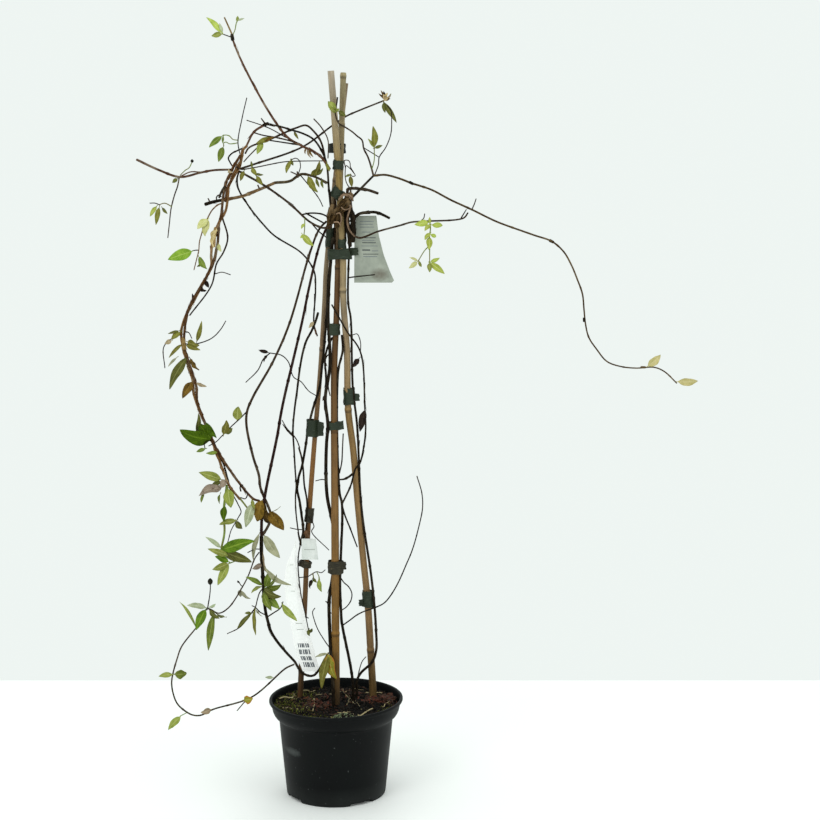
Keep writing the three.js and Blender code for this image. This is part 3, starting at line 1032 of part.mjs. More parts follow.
// Height of the soil's surface: slow waves and the lumps
function soilHeight(x, y) {
  let z = SOIL_LEVEL + 0.9 * Math.sin(x / 9 + 1) * Math.cos(y / 8) + 0.6 * Math.sin((x + y) / 5);
  for (const lump of SOIL_LUMPS) {
    const away = Math.hypot(x - lump.x, y - lump.y) / lump.reach;
    z += lump.rise * Math.exp(-away * away);
  }
  return z;
}

const SOIL_RINGS = [79, 68, 56, 42, 28, 14];

function soilSolid(holes) {
  const flat = Math.cos(Math.PI / POT_SEGMENTS);
  const clearance = 1.4 * GAP;
  const sides = INSIDE_PROFILE.slice(3, -1);
  const walls = sides.map(([radius, height]) => [radius * flat - clearance, height + GAP]);
  const [centre, floorEdge, ringTop] = INSIDE_PROFILE;
  const floor = [
    [0, centre[1] + GAP],
    [floorEdge[0] - 2 * GAP, floorEdge[1] + GAP],
    [ringTop[0] - 2 * GAP, ringTop[1] + GAP],
  ];
  const top = SOIL_RINGS.map((radius) => [radius, SOIL_LEVEL]);
  const soil = latheSolid([...floor, ...walls, ...top, [0, SOIL_LEVEL]], SOIL_SEGMENTS, (x, y, z) => {
    const onTop = Math.abs(z - SOIL_LEVEL) < 0.01;
    return onTop ? soilHeight(x, y) : rimSag(x, y, z);
  });
  return mainBody(holes.reduce((left, hole) => left.subtract(hole), soil));
}

// The whole plant

// Each piece is cut back from those made before it, so that it keeps the gap to them
function build() {
  const plant = new THREE.Group();
  const rooms = [];
  const place = (name, colour, roughness, solid, room) => {
    const clear = rooms.reduce((left, each) => left.subtract(each), solid);
    plant.add(named(name, colour, roughness, mainBody(clear)));
    if (room) {
      rooms.push(room);
    }
  };
  for (const each of canes()) {
    place(each.name, each.colour, 0.6, caneSolid(each, 0), caneSolid(each, GAP));
  }
  const sprays = [
    stemMiddleLeft(), stemMiddleRight(), stemRightCane(), stemLeftCane(), mainStem(), oldBark(),
    topArches(), ropeStems(), cutBranch(), archedStem(), lowerLoop(), leftShoot(), crossingTwig(),
    rightVine(), rightSpray(), rightStubs(), caneTopShoot(),
  ];
  for (const each of sprays) {
    place(each.name, each.colour, 0.85, spraySolid(each), spraySolid(each, GAP));
  }
  const holes = [...rooms];
  for (const each of ties()) {
    place(each.name, TAPE_GREEN, 0.5, tieSolid(each));
  }
  for (const { name, solid } of labels()) {
    place(name, LABEL_WHITE, 0.4, solid);
  }
  plant.add(named('soil', SOIL_BROWN, 0.95, soilSolid(holes)));
  plant.add(named('pot', POT_BLACK, 0.5, potSolid()));
  return plant;
}

export default build();
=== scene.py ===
# Looks of a potted climbing honeysuckle on three bamboo canes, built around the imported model.
# Routes are in millimetres, x to the right, y to the back, z up from the pot's base; meshes are in metres.
import json
import math
import random

import bmesh
import bpy
from mathutils import Euler, Matrix, Quaternion, Vector, noise

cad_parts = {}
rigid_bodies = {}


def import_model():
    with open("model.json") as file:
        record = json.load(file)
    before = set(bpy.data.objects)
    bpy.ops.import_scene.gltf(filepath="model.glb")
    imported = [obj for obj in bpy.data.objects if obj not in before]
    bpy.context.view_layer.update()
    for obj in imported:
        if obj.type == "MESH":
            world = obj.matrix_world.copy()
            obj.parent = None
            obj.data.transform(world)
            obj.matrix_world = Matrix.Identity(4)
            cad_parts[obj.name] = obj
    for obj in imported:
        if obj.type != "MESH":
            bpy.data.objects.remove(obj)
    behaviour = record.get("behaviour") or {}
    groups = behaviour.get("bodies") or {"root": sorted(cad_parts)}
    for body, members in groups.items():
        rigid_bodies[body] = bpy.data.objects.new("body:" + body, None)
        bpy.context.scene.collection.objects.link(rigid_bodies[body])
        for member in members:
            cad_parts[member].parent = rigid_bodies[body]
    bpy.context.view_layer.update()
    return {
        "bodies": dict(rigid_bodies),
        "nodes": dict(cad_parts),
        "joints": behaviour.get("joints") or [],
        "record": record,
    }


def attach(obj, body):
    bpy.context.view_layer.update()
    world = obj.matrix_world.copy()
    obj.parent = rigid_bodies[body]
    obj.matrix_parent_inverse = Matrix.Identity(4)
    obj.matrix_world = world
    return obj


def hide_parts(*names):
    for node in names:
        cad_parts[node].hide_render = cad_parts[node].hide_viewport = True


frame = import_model()

MM = 0.001
TAU = 2 * math.pi

# The photograph's camera: focal length in pixels of its 820-pixel frame, and the pitch
FRAME_PIXELS = 820
FOCAL_PIXELS = 1600
CAMERA_PITCH = 6.52
CAMERA_PLACE = (94.3, -1982, 717)
SENSOR_WIDTH = 36

# The studio, in metres. A light has its place, the height that it aims at, its size and its power.
LIGHTS = {
    "key": ((-1.6, -2.4, 2.6), 0.4, 1.8, 26),
    "fill": ((2.2, -1.8, 1.9), 0.4, 2.0, 12),
    "back": ((0.3, 1.9, 2.4), 0.5, 1.6, 8),
}
WORLD_COLOUR = (0.86, 0.915, 0.89, 1)
WORLD_STRENGTH = 1.0
FLOOR_COLOUR = (0.97, 0.985, 0.97, 1)
FLOOR_ROUGHNESS = 0.75
FLOOR_REACH = 4.0
FLOOR_BACK_EDGE = 0.5


# Camera, light and floor

def add_object(name, data):
    made = bpy.data.objects.new(name, data)
    bpy.context.scene.collection.objects.link(made)
    return made


def set_camera():
    data = bpy.data.cameras.new("camera")
    data.sensor_width = SENSOR_WIDTH
    data.lens = SENSOR_WIDTH * FOCAL_PIXELS / FRAME_PIXELS
    camera = add_object("camera", data)
    camera.location = [c * MM for c in CAMERA_PLACE]
    camera.rotation_euler = (math.radians(90 - CAMERA_PITCH), 0, 0)
    bpy.context.scene.camera = camera


def set_light():
    world = bpy.data.worlds.new("studio")
    world.use_nodes = True
    shade = world.node_tree.nodes["Background"]
    shade.inputs["Color"].default_value = WORLD_COLOUR
    shade.inputs["Strength"].default_value = WORLD_STRENGTH
    bpy.context.scene.world = world
    bpy.context.scene.view_settings.view_transform = "Standard"
    for name, (place, aim_height, size, power) in LIGHTS.items():
        data = bpy.data.lights.new(name, "AREA")
        data.shape = "DISK"
        data.size = size
        data.energy = power
        light = add_object(name, data)
        light.location = place
        aim = Vector((0, 0, aim_height)) - Vector(place)
        light.rotation_euler = aim.to_track_quat("-Z", "Y").to_euler()


def set_floor():
    side, back = FLOOR_REACH, FLOOR_BACK_EDGE
    corners = [(-side, -side, 0), (side, -side, 0), (side, back, 0), (-side, back, 0)]
    mesh = bpy.data.meshes.new("floor")
    mesh.from_pydata(corners, [], [(0, 1, 2, 3)])
    material = bpy.data.materials.new("floor_paint")
    material.use_nodes = True
    shader = material.node_tree.nodes["Principled BSDF"]
    shader.inputs["Base Color"].default_value = FLOOR_COLOUR
    shader.inputs["Roughness"].default_value = FLOOR_ROUGHNESS
    mesh.materials.append(material)
    add_object("floor", mesh)


# Materials

def shade_of(value):
    """The linear colour of a hex colour, or a grey from a number."""
    if not isinstance(value, str):
        return (value, value, value, 1)
    parts = [int(value[i:i + 2], 16) / 255 for i in (0, 2, 4)]
    linear = [p / 12.92 if p <= 0.04045 else ((p + 0.055) / 1.055) ** 2.4 for p in parts]
    return (*linear, 1)


class Paint:
    """A material whose Principled shader is fed by a small set of texture nodes."""

    def __init__(self, name, roughness, specular):
        self.material = bpy.data.materials.new(name)
        self.material.use_nodes = True
        self.tree = self.material.node_tree
        self.shader = self.tree.nodes["Principled BSDF"]
        self.feed(self.shader, {"Roughness": roughness, "Specular IOR Level": specular})
        self.coordinates = self.tree.nodes.new("ShaderNodeTexCoord")

    def feed(self, node, inputs):
        """Gives a node's inputs their sockets, numbers or hex colours."""
        for key, value in inputs.items():
            socket = node.inputs[key]
            if isinstance(value, bpy.types.NodeSocket):
                self.tree.links.new(value, socket)
            else:
                socket.default_value = shade_of(value) if socket.type == "RGBA" else value

    def node(self, kind, inputs, output=0, **settings):
        """A new node with its settings and inputs. Gives one of its outputs."""
        made = self.tree.nodes.new(kind)
        for key, value in settings.items():
            setattr(made, key, value)
        self.feed(made, inputs)
        return made.outputs[output]

    def spread(self, source, scale):
        """Texture places of a kind ("Object" or "UV"), scaled by a number or by one for each axis."""
        scale = scale if isinstance(scale, tuple) else (scale, scale, scale)
        return self.node("ShaderNodeMapping", {"Vector": self.coordinates.outputs[source], "Scale": scale})

    def noise(self, source, scale, detail=4.0, roughness=0.55, distortion=0.0, zoom=1.0):
        inputs = {"Vector": self.spread(source, scale), "Scale": zoom, "Detail": detail}
        inputs.update({"Roughness": roughness, "Distortion": distortion})
        return self.node("ShaderNodeTexNoise", inputs, "Fac")

    def netting(self, scale):
        """A fine net of cell walls."""
        inputs = {"Vector": self.spread("Object", scale), "Scale": 1.0}
        return self.node("ShaderNodeTexVoronoi", inputs, "Distance", feature="DISTANCE_TO_EDGE")

    def ramp(self, factor, *stops):
        """Colours (or greys) at shares of a factor."""
        output = self.node("ShaderNodeValToRGB", {"Fac": factor}, "Color")
        elements = output.node.color_ramp.elements
        while len(elements) < len(stops):
            elements.new(0.5)
        for element, (share, colour) in zip(elements, stops):
            element.position = share
            element.color = shade_of(colour)
        return output

    def mix(self, factor, first, second, blend="MIX"):
        inputs = {"Factor": factor, "A": first, "B": second}
        return self.node("ShaderNodeMix", inputs, "Result", data_type="RGBA", blend_type=blend)

    def over(self, colour, tone, factor, *stops):
        """Another tone laid over a colour, as strongly as the stops say for each share of a factor."""
        return self.mix(self.ramp(factor, *stops), colour, tone)

    def maths(self, operation, *values, clamp=False):
        return self.node("ShaderNodeMath", dict(enumerate(values)), operation=operation, use_clamp=clamp)

    def apart(self, source):
        return self.node("ShaderNodeSeparateXYZ", {0: self.coordinates.outputs[source]}).node.outputs

    def value_of(self, attribute):
        return self.node("ShaderNodeAttribute", {}, "Fac", attribute_name=attribute)

    def between(self, factor, low, high):
        """A factor turned into a number between two limits."""
        return self.node("ShaderNodeMapRange", {"Value": factor, "To Min": low, "To Max": high}, "Result")

    def tint(self, low, high):
        """A number that differs from leaf to leaf or stem to stem, between two limits."""
        return self.between(self.value_of("tint"), low, high)

    def shift(self, colour, bright, hue=0.5):
        """A colour with its brightness and hue moved by sockets or numbers."""
        return self.node("ShaderNodeHueSaturation", {"Hue": hue, "Value": bright, "Color": colour}, "Color")

    def finish(self, colour, height, strength, distance, roughness=None):
        self.feed(self.shader, {"Base Color": colour})
        if roughness is not None:
            self.feed(self.shader, {"Roughness": roughness})
        inputs = {"Strength": strength, "Distance": distance, "Height": height}
        self.feed(self.shader, {"Normal": self.node("ShaderNodeBump", inputs, "Normal")})
        return self.material


def bark_paint(name, dark, middle, light, grey):
    """Stringy bark: fibres along the stem, darker cracks, and weathered patches."""
    paint = Paint(name, roughness=0.85, specular=0.08)
    fibres = paint.noise("UV", (9, 0.16, 1), 5, 0.6, 0.4)
    cracks = paint.noise("UV", (5, 0.05, 1), 3, 0.5, 0.8, zoom=1.6)
    patches = paint.noise("Object", (60, 60, 45), 4, 0.6)
    colour = paint.ramp(fibres, (0.3, dark), (0.52, middle), (0.72, light))
    colour = paint.over(colour, dark, cracks, (0.34, 1.0), (0.44, 0.0))
    colour = paint.over(colour, grey, patches, (0.52, 0.0), (0.7, 0.75))
    colour = paint.shift(colour, paint.tint(0.72, 1.3))
    height = paint.mix(0.4, fibres, cracks)
    return paint.finish(colour, height, 0.5, 0.0005, paint.between(patches, 0.7, 0.92))


def green_stem_paint(name, low, high, red):
    """A young stem: smooth green skin, flushed with red in places."""
    paint = Paint(name, roughness=0.5, specular=0.2)
    streaks = paint.noise("UV", (6, 0.1, 1), 3)
    flush = paint.noise("Object", 45, 3)
    colour = paint.ramp(streaks, (0.35, low), (0.65, high))
    colour = paint.over(colour, red, flush, (0.5, 0.0), (0.66, 0.7))
    return paint.finish(colour, streaks, 0.2, 0.0002)


def leaf_paint(name, low, high, vein, spot, spotted, margin, rough):
    """A leaf blade: paler midrib and side veins, blotches, and a darker or drier edge."""
    paint = Paint(name, roughness=rough, specular=0.08)
    across, along = paint.apart("UV")[:2]
    side = paint.maths("ABSOLUTE", paint.maths("SUBTRACT", across, 0.5))
    slope = paint.maths("MULTIPLY_ADD", side, -5.0, paint.maths("MULTIPLY", along, 9.0))
    saw = paint.maths("PINGPONG", slope, 0.5)
    side_veins = paint.ramp(saw, (0.0, 1.0), (0.09, 0.35), (0.2, 0.0))
    midrib = paint.ramp(side, (0.0, 1.0), (0.025, 0.9), (0.06, 0.0))
    mottle = paint.noise("Object", 160, 4, 0.6)
    blotch = paint.noise("Object", 240, 3, 0.7)
    colour = paint.ramp(mottle, (0.3, low), (0.68, high))
    colour = paint.shift(colour, paint.tint(0.8, 1.22), paint.tint(0.49, 0.512))
    veins = paint.mix(1.0, midrib, paint.mix(0.5, side_veins, 0.0), "LIGHTEN")
    colour = paint.mix(paint.mix(0.62, 0.0, veins), colour, vein)
    colour = paint.over(colour, spot, blotch, (spotted, 0.0), (spotted + 0.08, 0.85))
    if margin:
        edge = paint.mix(0.5, side, mottle, "ADD")
        colour = paint.over(colour, margin, edge, (0.55, 0.0), (0.75, 0.9))
    height = paint.mix(0.25, paint.mix(0.5, veins, mottle), paint.netting(900))
    return paint.finish(colour, height, 0.35, 0.0003)


def bamboo_paint(name, tones, stain):
    """Dry bamboo: a tone for each height in metres, long fibres, stains, specks and joint rings."""
    paint = Paint(name, roughness=0.6, specular=0.22)
    fibres = paint.noise("UV", (14, 0.035, 1), 6, 0.65)
    streaks = paint.noise("UV", (3, 0.012, 1), 3, 0.5, 0.6, zoom=1.3)
    patches = paint.noise("Object", (28, 28, 14), 4, 0.6)
    specks = paint.noise("UV", (26, 0.3, 1), 3, 0.6)
    base = paint.ramp(paint.apart("Object")[2], *tones)
    colour = paint.shift(base, paint.ramp(fibres, (0.28, 0.68), (0.5, 1.0), (0.74, 1.3)))
    colour = paint.over(colour, stain, streaks, (0.5, 0.0), (0.7, 0.55))
    dark = paint.shift(base, 0.42)
    colour = paint.over(colour, dark, patches, (0.52, 0.0), (0.74, 0.7))
    colour = paint.over(colour, dark, specks, (0.62, 0.0), (0.68, 0.8))
    ring = paint.value_of("ring")
    for strength, bright in ((1.0, 0.2), (-0.7, 1.5)):
        share = paint.maths("MULTIPLY", ring, strength, clamp=True)
        colour = paint.mix(share, colour, paint.shift(base, bright))
    return paint.finish(colour, fibres, 0.35, 0.0003, paint.between(streaks, 0.5, 0.75))


def add_smudge(paint, colour, place, reach, tone, strength):
    """A soft-edged patch of another tone, at a place seen from the front."""
    x, unused, z = paint.apart("Object")
    across = paint.maths("MULTIPLY_ADD", x, 1 / reach[0], -place[0] / reach[0])
    up = paint.maths("MULTIPLY_ADD", z, 1 / reach[1], -place[1] / reach[1])
    away = paint.maths("MULTIPLY_ADD", across, across, paint.maths("MULTIPLY", up, up))
    ragged = paint.noise("Object", 300, 4, 0.7)
    share = paint.maths("SUBTRACT", paint.maths("ADD", 0.45, ragged), away, clamp=True)
    return paint.mix(paint.maths("MULTIPLY", share, strength), colour, tone)


def plain_paint(name, low, high, scale, rough, relief=0.3, specular=0.4, distance=0.0004):
    """A mottled surface of two colours."""
    paint = Paint(name, roughness=rough, specular=specular)
    mottle = paint.noise("Object", scale, 5, 0.62)
    colour = paint.shift(paint.ramp(mottle, (0.32, low), (0.68, high)), paint.tint(0.75, 1.3))
    return paint.finish(colour, mottle, relief, distance)


def pot_paint():
    """Semi-matte black plastic with a moulded grain, a pale smudge, specks, and dust at its foot."""
    paint = Paint("pot_black", roughness=0.5, specular=0.11)
    grain = paint.noise("Object", 900, 3)
    cloud = paint.noise("Object", 22, 4, 0.6)
    speck = paint.noise("Object", 420, 2, 0.5)
    colour = paint.ramp(cloud, (0.3, "020304"), (0.7, "050909"))
    foot = paint.maths("MULTIPLY_ADD", paint.apart("Object")[2], -28.0, 0.7, clamp=True)
    dusty = paint.maths("MULTIPLY", paint.maths("MULTIPLY", foot, cloud), 0.4)
    colour = paint.mix(dusty, colour, "505452")
    colour = add_smudge(paint, colour, POT_SMUDGE, POT_SMUDGE_REACH, "6a706e", 0.3)
    colour = paint.over(colour, "8b9190", speck, (0.73, 0.0), (0.77, 0.4))
    return paint.finish(colour, grain, 0.12, 0.0002, paint.between(cloud, 0.44, 0.62))


def tape_paint(name, low, high, crease_tone):
    """Stretched tape with a dull gloss and lighter creases."""
    paint = Paint(name, roughness=0.5, specular=0.25)
    crease = paint.noise("Object", (120, 120, 700), 4, 0.6, 0.5)
    cloud = paint.noise("Object", 90, 3)
    colour = paint.ramp(cloud, (0.3, low), (0.7, high))
    colour = paint.over(colour, crease_tone, crease, (0.58, 0.0), (0.72, 0.55))
    return paint.finish(colour, crease, 0.5, 0.0004, paint.between(cloud, 0.42, 0.62))


def label_paint(name, low, high, stain, glow=0.0, smudged=False):
    """Weathered plastic, a little stained. Thin white plastic lets light through, here as a faint glow."""
    paint = Paint(name, roughness=0.45, specular=0.35)
    paint.feed(paint.shader, {"Emission Color": 1, "Emission Strength": glow})
    cloud = paint.noise("Object", 60, 4, 0.6)
    stained = paint.noise("Object", (170, 170, 120), 4, 0.65, 0.3)
    colour = paint.ramp(cloud, (0.3, low), (0.7, high))
    colour = paint.over(colour, stain, stained, (0.62, 0.0), (0.78, 0.4))
    if smudged:
        colour = add_smudge(paint, colour, LABEL_SMUDGE, LABEL_SMUDGE_REACH, "54483a", 0.7)
    return paint.finish(colour, cloud, 0.15, 0.0005)


# Places of the two smudges, across and up, and how far they reach, in metres
POT_SMUDGE = (-0.052, 0.066)
POT_SMUDGE_REACH = (0.012, 0.006)
LABEL_SMUDGE = (0.057, 0.659)
LABEL_SMUDGE_REACH = (0.013, 0.009)

BARKS = {
    "dark": ("0a0704", "1c150c", "33281a", "453d30"),
    "brown": ("160e08", "33261a", "523f2e", "645a4c"),
    "reddish": ("120806", "2a1612", "422822", "4c3e38"),
    "thin": ("120a05", "241a10", "3c2e20", "4c4336"),
    "pale": ("2a2018", "514136", "786552", "7c7266"),
    "rope": ("34200f", "74522e", "a4825a", "a8967a"),
    "rope_dark": ("24140b", "54371e", "80603e", "887660"),
    "shoot": ("241208", "523626", "7c5c48", "887866"),
    "tan": ("4e3a1c", "967a4a", "c0a678", "a88e66"),
    "old": ("120b04", "40301a", "7a5c38", "8f7858"),
    "twine": ("46342a", "806852", "b09a84", "7c6c5e"),
    "branch": ("2c2012", "6a5238", "a08458", "8a7c62"),
    "branch_dark": ("1c160c", "463824", "7a6848", "746a54"),
    "vine": ("181006", "40301a", "624c2e", "6e5e44"),
    "bud": ("0e0d0a", "1e1d14", "3a3828", "55534a"),
}

# Kinds of leaf: low and high colour, veins, blotches, how rare the blotches are, edge, roughness
LEAF_KINDS = {
    "deep": ("2c4200", "466000", "66801c", "4f4a10", 0.7, None, 0.5),
    "fresh": ("3f5c08", "617e1c", "8fa440", "7a6c2a", 0.7, None, 0.45),
    "bright": ("5c8018", "8aa83a", "b0c468", "8a8a34", 0.7, None, 0.45),
    "green": ("4c5c1c", "71802f", "9aa35e", "6e5f2c", 0.66, None, 0.45),
    "leafy": ("6a7629", "93994b", "b4b878", "8a7440", 0.66, None, 0.48),
    "lime": ("87942c", "aeba58", "ccd28a", "8e8434", 0.7, None, 0.45),
    "moss": ("45481a", "62652c", "8a8a52", "4a3c1c", 0.64, None, 0.5),
    "olive": ("545218", "7a7830", "9a955a", "5c481e", 0.6, None, 0.55),
    "yellow": ("a6a45c", "c5c488", "d6d4a8", "988442", 0.68, None, 0.5),
    "pale": ("a5a565", "c5c48c", "dcdaae", "a08c4a", 0.66, None, 0.5),
    "cream": ("a0965e", "bdb07e", "d0c69c", "8a7a4c", 0.68, None, 0.5),
    "sage": ("8f9c76", "b3bb98", "c9cfb2", "8e8a66", 0.68, None, 0.6),
    "back": ("77765a", "9c9a7e", "b4b298", "80785c", 0.66, None, 0.65),
    "tan": ("86765a", "ab987a", "c2b396", "6e5a42", 0.6, None, 0.7),
    "golden": ("503a0e", "7a5c20", "8c7236", "36280e", 0.56, None, 0.6),
    "brown": ("3e2c12", "64491e", "806638", "2a1c0e", 0.56, None, 0.65),
    "purple": ("75685a", "968676", "ae9f8e", "5e4c40", 0.6, None, 0.65),
    "husk": ("a08a5c", "cdb68a", "dcc8a0", "6e5430", 0.6, None, 0.7),
    "autumn": ("75741c", "93902e", "bdb565", "9a5c22", 0.58, "b5642a", 0.5),
    "dead": ("120d0a", "2c211a", "463830", "0c0806", 0.55, None, 0.75),
    "bark": ("3a2a20", "6a4c36", "86684c", "241a14", 0.55, None, 0.8),
}
DRY_KINDS = ("dead", "brown", "golden", "tan", "bark", "purple", "husk")


# Meshes

class Shape:
    """Points and faces gathered for one piece, with a material, texture places and a tint for each face."""

    def __init__(self):
        self.points = []
        self.faces = []
        self.paints = []
        self.places = []
        self.tints = []
        self.rings = []

    def add_face(self, corners, paint, places, tint=0.5):
        self.faces.append(corners)
        self.paints.append(paint)
        self.places.extend(places)
        self.tints.append(tint)

    def make(self, name, materials, smooth=True, sharp=None):
        mesh = bpy.data.meshes.new(name)
        mesh.from_pydata([(x * MM, y * MM, z * MM) for x, y, z in self.points], [], self.faces)
        for material in materials:
            mesh.materials.append(material)
        mesh.polygons.foreach_set("material_index", self.paints)
        mesh.polygons.foreach_set("use_smooth", [smooth] * len(self.faces))
        layer = mesh.uv_layers.new(name="places")
        layer.data.foreach_set("uv", [v for place in self.places for v in place])
        for attribute, values in (("tint", self.tints), ("ring", self.rings)):
            if values:
                mesh.attributes.new(attribute, "FLOAT", "FACE").data.foreach_set("value", values)
        mesh.update()
        if sharp:
            mesh.set_sharp_from_angle(angle=math.radians(sharp))
        return add_object(name, mesh)


def settle(piece, slot_name, *nodes):
    """A finished piece rides with the model and stands for its nodes. slot_name is not used."""
    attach(piece, "root")
    if nodes:
        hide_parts(*nodes)


def hump(away, reach):
    """A smooth hump that is 1 at its middle."""
    return math.exp(-((away / reach) ** 2))


def smooth_path(points, spacing):
    """Places on a curve through the points, with steps of about the spacing."""
    path = [Vector(p) for p in points]
    if len(path) == 2:
        path.insert(1, (path[0] + path[1]) / 2)
    padded = [path[0] * 2 - path[1], *path, path[-1] * 2 - path[-2]]
    places = []
    for i in range(1, len(padded) - 2):
        a, b, c, d = padded[i - 1:i + 3]
        gaps = [max((q - p).length, 0.001) ** 0.5 for p, q in ((a, b), (b, c), (c, d))]
        start = ((b - a) / gaps[0] - (c - a) / (gaps[0] + gaps[1]) + (c - b) / gaps[1]) * gaps[1]
        end = ((c - b) / gaps[1] - (d - b) / (gaps[1] + gaps[2]) + (d - c) / gaps[2]) * gaps[1]
        steps = max(1, round((c - b).length / spacing))
        for k in range(steps):
            t = k / steps
            t2, t3 = t * t, t * t * t
            place = b * (2 * t3 - 3 * t2 + 1) + start * (t3 - 2 * t2 + t)
            places.append(place + c * (3 * t2 - 2 * t3) + end * (t3 - t2))
    places.append(path[-1])
    return places


def frames_of(places):
    """For each place on a curve: its tangent and two directions across it, without sudden turns."""
    frames = []
    across = None
    for i in range(len(places)):
        tangent = (places[min(i + 1, len(places) - 1)] - places[max(i - 1, 0)]).normalized()
        if across is None:
            across = Vector((0, 1, 0)) if abs(tangent.y) < 0.9 else Vector((1, 0, 0))
        across = (across - tangent * across.dot(tangent)).normalized()
        frames.append((tangent, across, across.cross(tangent)))
    return frames


def circle(place, across, beside, sides, reach):
    """Points round a place. reach(angle) says how far out each one lies."""
    ring = []
    for k in range(sides):
        angle = TAU * k / sides
        out = reach(angle)
        ring.append(place + across * (math.cos(angle) * out) + beside * (math.sin(angle) * out))
    return ring


def add_skin(shape, rings, along, ends, paint, tint):
    """A closed skin through rings of points. along is each ring's texture distance, and ends has the middle
    point of each end with its texture distance."""
    first = len(shape.points)
    sides = len(rings[0])
    for ring in rings:
        shape.points.extend(ring)
    for i, (low, high) in enumerate(zip(along, along[1:])):
        for k in range(sides):
            a, b = first + i * sides + k, first + i * sides + (k + 1) % sides
            u0, u1 = k / sides, (k + 1) / sides
            places = [(u0, low), (u0, high), (u1, high), (u1, low)]
            shape.add_face((a, a + sides, b + sides, b), paint, places, tint)
    for row, (middle, distance) in zip((0, len(rings) - 1), ends):
        centre = len(shape.points)
        shape.points.append(middle)
        for k in range(sides):
            a, b = first + row * sides + k, first + row * sides + (k + 1) % sides
            shape.add_face((centre, b, a) if row else (centre, a, b), paint, [(0.5, distance)] * 3, tint)


def add_rings(shape, rings, paint, tint=0.5):
    """A closed skin through rings of points, flat at both ends. Each ring goes the same way round."""
    along = [0.0]
    for before, after in zip(rings, rings[1:]):
        along.append(along[-1] + (Vector(after[0]) - Vector(before[0])).length)
    ends = [(sum((Vector(p) for p in ring), Vector()) / len(ring), 0.0) for ring in (rings[0], rings[-1])]
    add_skin(shape, rings, along, ends, paint, tint)


# How a tube's ends are rounded, as shares of its radius
END_REACH = 0.45
END_NARROWING = 0.7
END_DOME = 0.2


def add_tube(shape, places, radii, sides, paint, tint, relief=lambda distance, angle: 1.0):
    """A closed tube with rounded ends. relief(distance, angle) scales the radius."""
    frames = frames_of(places)
    along = [0.0]
    for before, after in zip(places, places[1:]):
        along.append(along[-1] + (after - before).length)
    rows = list(zip(places, frames, radii, along))
    ends = []
    for row, sign in ((rows[0], -1), (rows[-1], 1)):
        place, frame, radius, distance = row
        narrow = radius * END_NARROWING
        place = place + frame[0] * radius * END_REACH * sign
        rows.insert(0 if sign < 0 else len(rows), (place, frame, narrow, distance))
        ends.append((place - frame[0] * (narrow * END_DOME * -sign), distance))
    rings = []
    for place, (unused, across, beside), radius, distance in rows:
        rings.append(circle(place, across, beside, sides, lambda angle: radius * relief(distance, angle)))
    add_skin(shape, rings, [row[3] for row in rows], ends, paint, tint)


def add_sheet(shape, front, thickness, paint, tint=0.5):
    """A thin closed sheet from a grid of (point, normal, place), as thick as it says."""
    rows, columns = len(front), len(front[0])
    first = len(shape.points)
    count = rows * columns
    for sign in (0.5, -0.5):
        for row in front:
            for point, normal, place in row:
                shape.points.append(point + normal * (thickness * sign))
    places = [place for row in front for point, normal, place in row]

    def put(*corners):
        shape.add_face([first + c for c in corners], paint, [places[c % count] for c in corners], tint)

    for i in range(rows - 1):
        for j in range(columns - 1):
            a, b = i * columns + j, i * columns + j + 1
            c, d = b + columns, a + columns
            put(a, b, c, d)
            put(count + d, count + c, count + b, count + a)
    edge = list(range(columns))
    edge += [i * columns + columns - 1 for i in range(1, rows)]
    edge += [(rows - 1) * columns + j for j in range(columns - 2, -1, -1)]
    edge += [i * columns for i in range(rows - 2, 0, -1)]
    for a, b in zip(edge, edge[1:] + edge[:1]):
        put(a, count + a, count + b, b)


# Stems and leaves

RUN_SPACING = 1.25
THIN_STEM = 0.75
THIN_STEM_GROWTH = 0.1
VINE_SHARE = 0.88
BUD_TIP = 0.06
# Sides round a stem that is thicker than a radius
STEM_SIDES = ((1.5, 14), (0.8, 11), (0, 8))
# How rough the bark of each look is, where it isn't the usual
USUAL_ROUGHNESS = 0.06
ROUGHNESS = {"green": 0.04, "old": 0.26, "rope": 0.15, "rope_dark": 0.15}

# Ridges along a stem: how many run round it, how high each is, and how far they wind in a millimetre
RIDGES = ((3, 1.0, 0.11), (5, 0.7, -0.07), (2, 0.4, 0.6), (7, 0.6, 0.31))
RIDGE_HEIGHT = 0.4
STEM_JOINT_REACH = 1.5

# Peeling strips, in steps along the stem and in millimetres
STRIP_STEPS = (5, 11)
STRIP_LIFT = (0.3, 1.5)
STRIP_WIDTH = (0.35, 0.9)
STRIP_CURL = (-0.12, 0.12)
STRIP_THICKNESS = 0.16
STRIP_TEXTURE = 8

LEAF_ROOT = 1.6
LEAF_STALK = 3.4
STALK_HALF_WIDTH = 0.42
TIP_HALF_WIDTH = 0.1
BLADE_THICKNESS = 0.3
BROAD_BLADE = 9
BROAD_GRID = (20, 11)
NARROW_GRID = (15, 7)
# How much more a dry leaf twists, droops and waves
DRY_TWIST = 1.6
DRY_DROOP = 1.4
DRY_WAVE = 2.0


class Stem:
    """A stem: its runs of wood with their twigs, and its leaves. strips is how much bark peels off it."""

    def __init__(self, name, bark, slot_name, strips=0.0):
        self.name = name
        self.bark = bark
        self.slot_name = slot_name
        self.strips = strips
        self.runs = {}
        self.leaves = []

    def run(self, name, start_radius, end_radius, points, look=None):
        look = look or (self.bark if max(start_radius, end_radius) > THIN_STEM else "thin")
        self.runs[name] = start_radius, end_radius, points, look

    def leaf(self, base, tip, width, kind, turn=20, arch=1):
        self.leaves.append((base, tip, width, kind, turn, arch))


